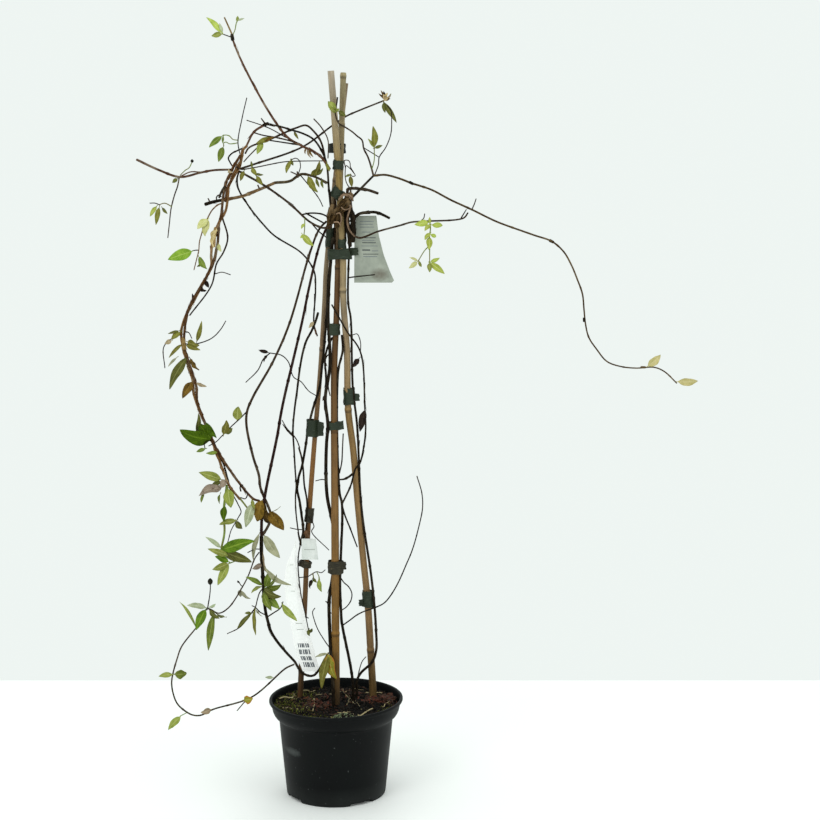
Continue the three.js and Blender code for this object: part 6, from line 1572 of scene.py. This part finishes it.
def tape_reaches(half_width, half_depth, held):
    """How far out the tape lies all round a tie: an oval, pulled in a little round what it holds."""
    reaches = []
    for k in range(TIE_STEPS):
        angle = TAU * k / TIE_STEPS
        reach = 1 / math.hypot(math.cos(angle) / half_width, math.sin(angle) / half_depth)
        if held:
            pulled = hull_reach(held, angle) + TAPE_THICKNESS
            reach = min(reach, (1 - TAPE_PULL) * reach + TAPE_PULL * pulled)
        reaches.append(reach)
    for unused in range(2):
        after = reaches[1:] + reaches[:1]
        reaches = [(reaches[k - 1] + 2 * r + after[k]) / 4 for k, r in enumerate(reaches)]
    return reaches


def make_tie(name, all_paths):
    """A tie of stretched tape: a creased band, a second turn over a part of it, and its loose ends."""
    centre, half_width, half_depth, height, tilt, tails = TIES[name]
    rng = random.Random(name)
    phases = [rng.uniform(0, TAU) for unused in range(4)]
    turn = Matrix.Rotation(math.radians(tilt), 3, "Y")
    middle = Vector(centre)
    reaches = tape_reaches(half_width, half_depth, held_by(centre, half_width, half_depth, all_paths))
    shape = Shape()

    def edge(angle, up):
        wave = 0.5 * math.sin(2 * angle + phases[0]) + 0.35 * math.sin(5 * angle + phases[1])
        return (0.5 - up) * -height + wave * (1 if up > 0.5 else -0.7) * abs(up - 0.5) * 2

    def point_on(reach, angle, up, depth, creasing):
        crease = 0.22 * math.sin(9 * up + 3 * angle + phases[2])
        crease += 0.16 * math.sin(17 * up - 5 * angle + phases[3])
        away = reach + depth + crease * creasing - 0.35 * math.sin(math.pi * up)
        return middle + turn @ Vector((math.cos(angle) * away, math.sin(angle) * away, edge(angle, up)))

    def add_layer(inner, outer, start, stop, low, high, tint):
        steps = max(4, round(TIE_STEPS * (stop - start)))
        ups = [low + (high - low) * (j / (TIE_ROWS - 1)) for j in range(TIE_ROWS)]
        rings = []
        for k in range(steps + 1):
            share = start + (stop - start) * k / steps
            angle = TAU * share
            index = share * TIE_STEPS
            a, b = int(index) % TIE_STEPS, (int(index) + 1) % TIE_STEPS
            reach = reaches[a] + (reaches[b] - reaches[a]) * (index - int(index))
            outside = [point_on(reach, angle, up, outer, 1.0) for up in ups]
            inside = [point_on(reach, angle, up, inner, 0.6) for up in reversed(ups)]
            rings.append(outside + inside)
        add_rings(shape, rings, 0, tint)

    add_layer(-TAPE_THICKNESS, 0.0, 0.0, 1.0, 0.0, 1.0, rng.random())
    first = rng.uniform(0, 0.6)
    add_layer(-0.1, 0.45, first, first + 0.34, 0.08, 0.86, rng.random())
    for x, y, z, width, tail_height in tails:
        grid = []
        curl = rng.uniform(0.8, 1.8)
        for i in range(TAIL_STEPS + 1):
            row = []
            for j in range(TAIL_STEPS + 1):
                across, up = i / TAIL_STEPS - 0.5, j / TAIL_STEPS - 0.5
                out = abs(across + math.copysign(0.5, x))
                bend = -curl * out * out + 0.35 * math.sin(7 * up + phases[0])
                ragged = 0.5 * math.sin(11 * up + phases[1]) if out > 0.9 else 0.0
                rise = up * tail_height * (1 - 0.12 * out)
                flat = Vector((x + across * width + ragged, y + bend, z + rise))
                row.append((middle + turn @ flat, turn @ Vector((0, -1, 0)), (across, up)))
            grid.append(row)
        add_sheet(shape, grid, TAIL_THICKNESS, 0, rng.random())
    piece = shape.make(name + "_tape", [TAPES[TAPE_LOOKS.get(name, "tape_green")]], sharp=60)
    settle(piece, "tape", name)


# Labels

LABEL_THICKNESS = 0.6
LABEL_GRID = (30, 10)
RULE_COLUMNS = 8
RULE_THICKNESS = 0.05
RULE_PROUD = 0.04


def chain_at(chain, z):
    """Where an upright edge is at a height."""
    for (x0, z0), (x1, z1) in zip(chain, chain[1:]):
        if z0 <= z <= z1:
            return x0 + (x1 - x0) * (z - z0) / (z1 - z0)
    return chain[0][0] if z < chain[0][1] else chain[-1][0]


def make_label(name, paints, left, right, depth, bend, rules):
    """A thin plastic label between two upright edges, a little bent, with plain grey rules on its front.
    A rule is (height, start share, end share, width, paint)."""
    low, high = max(left[0][1], right[0][1]), min(left[-1][1], right[-1][1])
    shape = Shape()

    def place(share, z):
        x0, x1 = chain_at(left, z), chain_at(right, z)
        up = (z - low) / (high - low)
        bow = math.sin(math.pi * up) * 0.6 + (2 * share - 1) ** 2 * 0.5 - 0.5
        return Vector((x0 + (x1 - x0) * share, depth - LABEL_THICKNESS / 2 + bend * bow, z))

    front = Vector((0, -1, 0))
    rows, columns = LABEL_GRID
    grid = []
    for i in range(rows + 1):
        z = low + (high - low) * i / rows
        grid.append([(place(j / columns, z), front, (j / columns, i / rows)) for j in range(columns + 1)])
    add_sheet(shape, grid, LABEL_THICKNESS, 0)
    proud = front * (LABEL_THICKNESS / 2 + RULE_PROUD)
    shares = [j / RULE_COLUMNS for j in range(RULE_COLUMNS + 1)]
    for height, start, end, wide, paint in rules:
        strip = []
        for i in range(2):
            z = height + wide * (i - 0.5)
            points = [place(start + (end - start) * share, z) + proud for share in shares]
            strip.append([(point, front, (share, i)) for point, share in zip(points, shares)])
        add_sheet(shape, strip, RULE_THICKNESS, paint)
    piece = shape.make(name + "_plastic", paints, sharp=40)
    settle(piece, "label", name)


def make_plant_label():
    """The grey label at the top right, with plain rules."""
    left = [(25.5, 649), (26, 707), (28, 731)]
    right = [(72, 649), (75, 651), (70, 662), (62, 683), (56, 707), (53, 731)]
    rules = [
        (724, 0.2, 0.85, 0.9, 1), (720.5, 0.2, 0.8, 0.8, 1), (717, 0.2, 0.84, 0.8, 1),
        (711, 0.3, 0.66, 0.9, 1), (704, 0.3, 0.85, 1, 2), (701, 0.3, 0.78, 0.8, 1), (698, 0.3, 0.82, 1, 2),
        (694, 0.26, 0.86, 0.7, 1), (689, 0.28, 0.56, 1.6, 2), (688, 0.62, 0.84, 0.9, 1),
        (684, 0.3, 0.82, 0.9, 2), (681, 0.3, 0.76, 0.9, 1),
    ]
    paints = [LABEL_GREY, INK_GREY, INK_DARK]
    make_label("plant_label", paints, left, right, depth=-4.5, bend=1.2, rules=rules)


def make_label_strip():
    """The long white label behind the left stems, with plain short bars at its foot."""
    left = [(-43, 151), (-52, 173), (-59, 218), (-64, 245), (-66, 270), (-63, 290), (-51, 320)]
    right = [(-21, 151), (-27, 173), (-35, 205), (-42, 239), (-47, 270), (-50.6, 294), (-50.6, 320)]
    rules = [
        (206, 0.3, 0.7, 0.7, 1), (214, 0.3, 0.7, 0.7, 1),
        (256, 0.35, 0.65, 0.7, 1), (290, 0.35, 0.7, 0.7, 1),
    ]
    bars = []
    for i in range(4):
        for j in range(6):
            end = 0.25 + 0.1 * j + 0.02 * ((i + j) % 3)
            bars.append((160 + 8.4 * i, 0.2 + 0.1 * j, end, 6.4 - i % 2, 2))
    paints = [LABEL_WHITE, INK_PALE, INK_GREY]
    make_label("label_strip", paints, left, right, depth=18.8, bend=1.0, rules=bars + rules)


def make_small_tag():
    """The small white tag above the strip, with one rule."""
    left, right = [(-43, 297), (-43, 325)], [(-22, 298), (-25, 325)]
    rules = [(311, 0.15, 0.85, 0.9, 1)]
    paints = [LABEL_TAG, INK_PALE, INK_GREY]
    make_label("small_tag", paints, left, right, depth=13.4, bend=0.8, rules=rules)


# Pot

POT_HEIGHT = 125
RIM_RADIUS = 85
BASE_RADIUS = 63
LIP_HEIGHT = 27
RIM_SAG_FRONT = 3
RIM_SAG_LEFT = 1.5
POT_STEPS = 176
# The wall is a little out of round, more so above this height
WOBBLE_HEIGHT = 60
WOBBLE = 0.0022
NOTCH_HEIGHT = 4
NOTCH_DEPTH = 8
NOTCH_WIDTH = 30
NOTCH_BEARINGS = (34, 124, 214, 304)
# Radius and height, from the middle of the underside up the outside, over the rim and down the inside
POT_PROFILE = [
    (40, 0), (54.8, 0), (55.2, 0), (61.2, 0), (62.4, 0.35), (63, 1.5), (63.4, 4), (63.6, 6), (65.5, 26),
    (67.4, 46), (69.4, 66), (71.3, 86), (72.2, 95.5), (72.7, 97.6), (73.6, 98.8), (75.4, 100.2),
    (77.4, 102.4), (79, 105.2), (80.3, 108.6), (81, 112), (81.6, 115.5), (81.9, 118), (82.3, 119.6),
    (83.4, 120.3), (84.6, 120.8), (85, 121.8), (85, 123.2), (84.7, 124.3), (84.1, 124.9), (83.3, 125),
    (82.4, 124.9), (81.6, 124.3), (81.1, 122.8), (80.8, 119), (80.2, 114), (79.2, 110), (76, 103), (72, 99),
    (71.2, 98), (61.7, 6.5), (54, 6.5), (51, 1.3),
]


def rim_sag(x, y, z):
    """The height of a point whose lip sags at the front and at the left."""
    height = max(0.0, (z - (POT_HEIGHT - LIP_HEIGHT)) / LIP_HEIGHT)
    front = RIM_SAG_FRONT * (RIM_RADIUS - y) / (2 * RIM_RADIUS)
    left = RIM_SAG_LEFT * (RIM_RADIUS - x) / (2 * RIM_RADIUS)
    return z - height * (front + left)


def notch_lift(radius, angle, z):
    """The notches under the pot's edge, as a raised foot."""
    if z >= NOTCH_HEIGHT or radius < BASE_RADIUS - NOTCH_DEPTH:
        return z
    for bearing in NOTCH_BEARINGS:
        away = (angle - math.radians(bearing) + math.pi) % TAU - math.pi
        if abs(away) * BASE_RADIUS < NOTCH_WIDTH / 2:
            return NOTCH_HEIGHT + z * 0.01
    return z


def make_pot():
    rings = []
    for radius, height in POT_PROFILE:
        ring = []
        for k in range(POT_STEPS):
            angle = -TAU * k / POT_STEPS
            wobble = 1 + WOBBLE * math.sin(3 * angle + 1) * max(0, height - WOBBLE_HEIGHT) / WOBBLE_HEIGHT
            x, y = radius * wobble * math.cos(angle), radius * wobble * math.sin(angle)
            ring.append((x, y, rim_sag(x, y, notch_lift(radius, angle % TAU, height))))
        rings.append(ring)
    shape = Shape()
    add_rings(shape, rings, 0)
    piece = shape.make("pot_shell", [POT_BLACK], sharp=32)
    settle(piece, "pot_plastic", "pot")


# Soil

SOIL_LEVEL = 113.5
SOIL_EDGE = 79
SOIL_STEPS = 180
SOIL_ROWS = 62
# Radius and height up the soil's side
SOIL_WALL = [(51.4, 1.7), (53.4, 6.8), (61, 6.8), (70.7, 98.3), (75.4, 103.3), (78.6, 110.3)]
# Sizes of grain in the soil's surface: how fine, which level of the noise, and how high
SOIL_GRAINS = ((0.16, 3, 1.6), (0.45, 9, 0.9), (1.1, 5, 0.45))
# Lumps and dips: x, y, rise and reach
SOIL_LUMPS = [
    (8, -70, 7, 10), (20, -66, 5, 8), (-50, -40, 3, 16), (-62, 12, 3, 14), (-30, -36, 3.5, 12),
    (52, 0, 4.5, 15), (64, 22, 4, 12), (16, 30, 2.5, 18), (34, -30, -2, 16),
]
# Mossy patches: x, y and reach
MOSS_PATCHES = [
    (8, -68, 13), (20, -64, 11), (-68, -4, 28), (-58, 34, 26), (-56, -36, 20), (-30, -62, 14), (66, -28, 10),
]
# Feet of the canes and stems, which nothing lies on: x, y and reach
STEM_FEET = [(-47.5, 27, 4.5), (0, -2, 5.8), (47, 27, 5.4), (-3, -12, 3), (21, 14, 3), (25, 22, 2.6)]
# How far from the middle each kind of loose piece lies
CRUMB_REACH = 77.5
LITTER_REACH = 76
STRAW_REACH = 75
MOSS_REACH = 78
CRUMBS = 2600
CRUMB_SIZES = (0.6, 0.8, 1.0, 1.3, 1.3, 1.8, 2.4)
# Heaps of litter: x, y, reach and how many chips. The last but one is spread over all of the soil.
LITTER_HEAPS = [
    (-22, -4, 20, 190), (54, 8, 15, 150), (70, 16, 11, 110), (0, 0, 60, 170), (18, 34, 22, 60),
]
WIDE_HEAP = 40
# The dark patch that litter from the wide heap leaves bare: left, right, front and back
BARE_PATCH = (4, 44, -40, 36)
# Chips are larger at the far right
LARGE_CHIPS_FROM = 60
LARGE_CHIPS = 1.5
CHIP_THICKNESS = 0.25
# Long straws and sticks: both ends, and the radius
LAID_STRAWS = [
    ((-74, 13), (-56, 15), 0.7), ((-29, 17), (-27, -40), 0.6), ((30, -52), (47, -24), 0.9),
    ((10, 30), (22, 4), 0.45), ((16, 26), (14, -8), 0.4), ((24, 10), (33, -24), 0.4),
    ((-12, 40), (12, 46), 0.5), ((-50, 50), (-30, 58), 0.6), ((36, 50), (58, 40), 0.6),
    ((-66, -22), (-46, -30), 0.45), ((4, -40), (24, -46), 0.5), ((60, -20), (70, 2), 0.45),
]
LOOSE_STRAWS = 14
STRAW_POINTS = 6
ROOT_POINTS = 9
ROOT_RISE = 4.5
# Curled root threads: x, y, reach and radius
ROOTS = [
    (15, 28, 10, 0.7), (20, 6, 9, 0.6), (28, -14, 11, 0.7), (12, -30, 9, 0.5), (24, 44, 9, 0.6),
    (-20, -34, 8, 0.5), (40, -34, 8, 0.5),
]
MOSS_TUFTS = 1500
TUFT_LEAVES = 6
# Where moss is pale: left, right and back
PALE_MOSS = (0, 32, -50)


def soil_height(x, y):
    z = SOIL_LEVEL + 0.9 * math.sin(x / 9 + 1) * math.cos(y / 8) + 0.6 * math.sin((x + y) / 5)
    for lump_x, lump_y, rise, reach in SOIL_LUMPS:
        z += rise * hump(math.hypot(x - lump_x, y - lump_y), reach)
    return z


def rough_soil(x, y):
    """The soil's surface with its crumbs."""
    fine = 0.0
    for scale, level, height in SOIL_GRAINS:
        fine += noise.noise(Vector((x * scale, y * scale, level))) * height
    return soil_height(x, y) + fine * 0.8 - 0.2


def make_soil():
    profile = [(radius, lambda x, y, z=z: rim_sag(x, y, z)) for radius, z in SOIL_WALL]
    profile += [(SOIL_EDGE * (1 - i / SOIL_ROWS), rough_soil) for i in range(SOIL_ROWS)]
    rings = []
    for radius, height_of in profile:
        ring = []
        for k in range(SOIL_STEPS):
            angle = -TAU * k / SOIL_STEPS
            x, y = radius * math.cos(angle), radius * math.sin(angle)
            ring.append((x, y, height_of(x, y)))
        rings.append(ring)
    shape = Shape()
    add_rings(shape, rings, 0)
    settle(shape.make("soil_surface", [SOIL]), "soil", "soil")


def grain():
    """A ball of 12 points and 20 faces, which every crumb is made from."""
    mesh = bmesh.new()
    bmesh.ops.create_icosphere(mesh, subdivisions=1, radius=1)
    mesh.verts.ensure_lookup_table()
    points = [v.co.copy() for v in mesh.verts]
    faces = [[v.index for v in f.verts] for f in mesh.faces]
    mesh.free()
    return points, faces


def add_grain(shape, ball, place, size, stretch, paint, rng):
    first = len(shape.points)
    turn = Euler((rng.uniform(0, TAU), rng.uniform(0, TAU), rng.uniform(0, TAU))).to_matrix()
    points, faces = ball
    for point in points:
        bumpy = point * (1 + rng.uniform(-0.28, 0.28))
        bumpy = Vector((bumpy.x * stretch[0], bumpy.y * stretch[1], bumpy.z * stretch[2]))
        shape.points.append(place + turn @ bumpy * size)
    tint = rng.random()
    for face in faces:
        shape.add_face([first + i for i in face], paint, [(0.5, 0.5)] * 3, tint)


def near_stem(x, y):
    return any(math.hypot(x - a, y - b) < r for a, b, r in STEM_FEET)


def in_pot(rng, reach):
    """A place on the soil, drawn at random, that is clear of the stems."""
    while True:
        x, y = rng.uniform(-reach, reach), rng.uniform(-reach, reach)
        if math.hypot(x, y) < reach and not near_stem(x, y):
            return x, y


def oval_share(x, y, centre, reach):
    """How much a place belongs to an oval patch, from 0 to 1."""
    return math.exp(-(((x - centre[0]) / reach[0]) ** 2 + ((y - centre[1]) / reach[1]) ** 2))


def make_crumbs():
    """Crumbs of compost, redder under the litter and darker on the bare patch at the right."""
    rng = random.Random("crumbs")
    shape = Shape()
    ball = grain()
    for unused in range(CRUMBS):
        x, y = in_pot(rng, CRUMB_REACH)
        size = rng.choice(CRUMB_SIZES)
        z = rough_soil(x, y) + size * 0.25
        red = oval_share(x, y, (-22, -2), (22, 26)) + oval_share(x, y, (56, 12), (16, 26))
        bare = oval_share(x, y, (24, -4), (20, 34))
        pick = rng.random()
        paint = 2 if pick < 0.5 * red else 1 if pick < 0.38 * (1 - bare) else 0
        stretch = (1, rng.uniform(0.6, 1), rng.uniform(0.5, 0.9))
        add_grain(shape, ball, Vector((x, y, z)), size, stretch, paint, rng)
    settle(shape.make("soil_crumbs", [SOIL, SOIL_BROWN, LITTER], smooth=False), "soil")


def on_bare_patch(x, y):
    left, right, front, back = BARE_PATCH
    return left < x < right and front < y < back


def chip(place, turn, length, width, curl, rng):
    """A small curled chip with a ragged outline."""
    grid = []
    for i in range(4):
        row = []
        for j in range(3):
            along, across = i / 3 - 0.5, j / 2 - 0.5
            rise = curl * (0.25 - along * along) - curl * 0.6 * across * across
            ragged = rng.uniform(-0.12, 0.12)
            flat = Vector(((along + ragged * 0.6) * length, (across + ragged) * width, rise))
            row.append((place + turn @ flat, turn @ Vector((0, 0, 1)), (along, across)))
        grid.append(row)
    return grid


def make_litter():
    """Flat chips of bark and dry leaf on the soil, denser at three places."""
    rng = random.Random("litter")
    shape = Shape()
    for heap_x, heap_y, reach, count in LITTER_HEAPS:
        widespread = reach > WIDE_HEAP
        growth = LARGE_CHIPS if heap_x > LARGE_CHIPS_FROM else 1
        for unused in range(count):
            x, y = rng.gauss(heap_x, reach * 0.55), rng.gauss(heap_y, reach * 0.6)
            if math.hypot(x, y) > LITTER_REACH or near_stem(x, y) or widespread and on_bare_patch(x, y):
                continue
            place = Vector((x, y, rough_soil(x, y) + rng.uniform(0.6, 2.2)))
            length, width = rng.uniform(2.5, 8) * growth, rng.uniform(0.8, 2.6) * growth
            turn = Euler((rng.uniform(-0.5, 0.5), rng.uniform(-0.5, 0.5), rng.uniform(0, TAU))).to_matrix()
            grid = chip(place, turn, length, width, rng.uniform(0.2, 1.2), rng)
            add_sheet(shape, grid, CHIP_THICKNESS, rng.choice((0, 0, 0, 1, 1)), rng.random())
    settle(shape.make("soil_litter", [LITTER, LITTER_RED], smooth=False), "soil")


def add_straw(shape, start, end, radius, rng):
    """A slightly bowed straw along the soil."""
    points = []
    side = rng.uniform(-3, 3)
    for i in range(STRAW_POINTS):
        share = i / (STRAW_POINTS - 1)
        bow = side * math.sin(math.pi * share)
        x = start[0] + (end[0] - start[0]) * share + bow
        y = start[1] + (end[1] - start[1]) * share - bow * 0.5
        points.append((x, y, rough_soil(x, y) + radius + 0.5 + rng.uniform(0, 1.2)))
    places = smooth_path(points, 2.2)
    add_tube(shape, places, [radius] * len(places), 6, 0, rng.random())


def add_root(shape, centre_x, centre_y, reach, radius, rng):
    """A root thread that curls out of the soil and back."""
    bearing = rng.uniform(0, TAU)
    points = []
    for i in range(ROOT_POINTS):
        angle = bearing + i * rng.uniform(0.4, 0.75)
        out = reach * (0.5 + 0.5 * math.sin(i * 0.7 + bearing))
        x, y = centre_x + math.cos(angle) * out, centre_y + math.sin(angle) * out
        rise = ROOT_RISE * math.sin(math.pi * i / (ROOT_POINTS - 1))
        points.append((x, y, rough_soil(x, y) + radius + rise))
    places = smooth_path(points, 1.5)
    add_tube(shape, places, [radius] * len(places), 8, 1, rng.random())


def make_straws():
    """Pale straws, sticks and root threads that lie on the soil or come out of it."""
    rng = random.Random("straws")
    shape = Shape()
    straws = list(LAID_STRAWS)
    for unused in range(LOOSE_STRAWS):
        x, y = in_pot(rng, STRAW_REACH - 5)
        angle, length = rng.uniform(0, TAU), rng.uniform(8, 26)
        end = (x + math.cos(angle) * length, y + math.sin(angle) * length)
        if math.hypot(*end) < STRAW_REACH:
            straws.append(((x, y), end, rng.uniform(0.16, 0.4)))
    for start, end, radius in straws:
        add_straw(shape, start, end, radius, rng)
    for x, y, reach, radius in ROOTS:
        add_root(shape, x, y, reach, radius, rng)
    settle(shape.make("soil_straws", [STRAW, ROOT]), "soil")


def add_moss_leaf(shape, root, paint, tint, rng):
    """A small pointed leaf: a narrow three-sided spike that leans outwards."""
    angle = rng.uniform(0, TAU)
    lean = Vector((math.cos(angle), math.sin(angle), 0)) * rng.uniform(0.3, 1.2)
    rise = rng.uniform(0.9, 2.4)
    side = Vector((-math.sin(angle), math.cos(angle), 0)) * rng.uniform(0.16, 0.3)
    back = lean.normalized() * -0.16
    middle = root + lean * 0.35 + Vector((0, 0, rise * 0.55))
    first = len(shape.points)
    for place in (root, middle):
        shape.points.extend([place - side, place + side, place + back])
    shape.points.append(root + lean + Vector((0, 0, rise)))
    for corners in ((0, 1, 4, 3), (1, 2, 5, 4), (2, 0, 3, 5), (3, 4, 6), (4, 5, 6), (5, 3, 6), (2, 1, 0)):
        shape.add_face([first + c for c in corners], paint, [(0.5, 0.5)] * len(corners), tint)


def make_moss():
    """Tufts of small pointed leaves where the soil is mossy, paler at the front."""
    rng = random.Random("moss")
    shape = Shape()
    left, right, back = PALE_MOSS
    tufts = 0
    while tufts < MOSS_TUFTS:
        x, y = in_pot(rng, MOSS_REACH)
        if rng.random() > max(hump(math.hypot(x - a, y - b), reach) for a, b, reach in MOSS_PATCHES):
            continue
        tufts += 1
        root = Vector((x, y, rough_soil(x, y) - 0.2))
        paint = 1 if left < x < right and y < back else 0
        tint = rng.random()
        for unused in range(TUFT_LEAVES):
            add_moss_leaf(shape, root, paint, tint, rng)
    settle(shape.make("soil_moss", [MOSS, MOSS_PALE], smooth=False), "soil")


# The whole plant

STEM_PAINTS = {name: bark_paint("bark_" + name, *colours) for name, colours in BARKS.items()}
STEM_PAINTS["green"] = green_stem_paint("stem_green", "52692a", "84923e", "6e4832")
LEAF_PAINTS = {name: leaf_paint("leaf_" + name, *values) for name, values in LEAF_KINDS.items()}
TAPES = {
    "tape_green": tape_paint("tape_green", "1a2417", "2b3525", "4e584a"),
    "tape_brown": tape_paint("tape_brown", "1c190e", "353120", "6a5f48"),
    "tape_black": tape_paint("tape_black", "0b0e09", "161a12", "2c3226"),
}
# Ties that aren't green
TAPE_LOOKS = {
    "tie_left_lower": "tape_brown", "tie_left_middle": "tape_brown", "tie_middle_lower": "tape_brown",
    "tie_top": "tape_black",
}
LABEL_GREY = label_paint("label_grey", "878d82", "9fa598", "6e7066", smudged=True)
LABEL_WHITE = label_paint("label_white", "f2f5f3", "fbfcfb", "c8ccc8", 0.14)
LABEL_TAG = label_paint("label_tag", "d2d8d4", "eef1ee", "9a9c92")
INK_PALE = plain_paint("ink_pale", "9a9f9a", "aeb2ac", 200, 0.5)
INK_GREY = plain_paint("ink_grey", "5a6066", "73797d", 200, 0.5)
INK_DARK = plain_paint("ink_dark", "33383a", "484d4e", 200, 0.5)
POT_BLACK = pot_paint()
SOIL = plain_paint("soil_dark", "040302", "110e0a", 260, 0.95, 0.8, 0.2, 0.0006)
SOIL_BROWN = plain_paint("soil_brown", "120c08", "281c13", 300, 0.95, 0.8, 0.2)
LITTER = plain_paint("litter_brown", "20110a", "402612", 300, 0.8, 0.5, 0.25)
LITTER_RED = plain_paint("litter_red", "34140c", "5e2c16", 300, 0.8, 0.5, 0.25)
STRAW = plain_paint("straw", "8a7a56", "b8ac84", 220, 0.7, 0.3, 0.3)
ROOT = plain_paint("root_dark", "0e0a06", "2a2016", 220, 0.9, 0.4, 0.2)
MOSS = plain_paint("moss", "3e4212", "868a3c", 240, 0.85, 0.3, 0.2)
MOSS_PALE = plain_paint("moss_pale", "7f9068", "b4c09c", 240, 0.85, 0.3, 0.2)

STEMS = [
    make() for make in (
        stem_middle_left, stem_middle_right, stem_right_cane, stem_left_cane, main_stem, old_bark,
        top_arches, rope, cut_branch, arched_stem, lower_loop, left_shoot, crossing_twig, right_vine,
        right_spray, right_stubs, cane_top_shoot,
    )
]
# Stems at least this thick can fill a tie
TIED_RADIUS = 1.0


def tied_paths():
    """The canes' and thicker stems' points with their radii, which the ties are pulled round."""
    paths = [([s[:3] for s in stations], stations[len(stations) // 2][3]) for stations in CANES.values()]
    for stem in STEMS:
        for start_radius, end_radius, points, unused in stem.runs.values():
            if max(start_radius, end_radius) > TIED_RADIUS:
                paths.append((points, (start_radius + end_radius) / 2))
    return paths


set_camera()
set_light()
set_floor()
for stem in STEMS:
    make_stem(stem)
for name in CANES:
    make_cane(name)
paths = tied_paths()
for name in TIES:
    make_tie(name, paths)
make_plant_label()
make_label_strip()
make_small_tag()
make_pot()
make_soil()
make_crumbs()
make_litter()
make_straws()
make_moss()
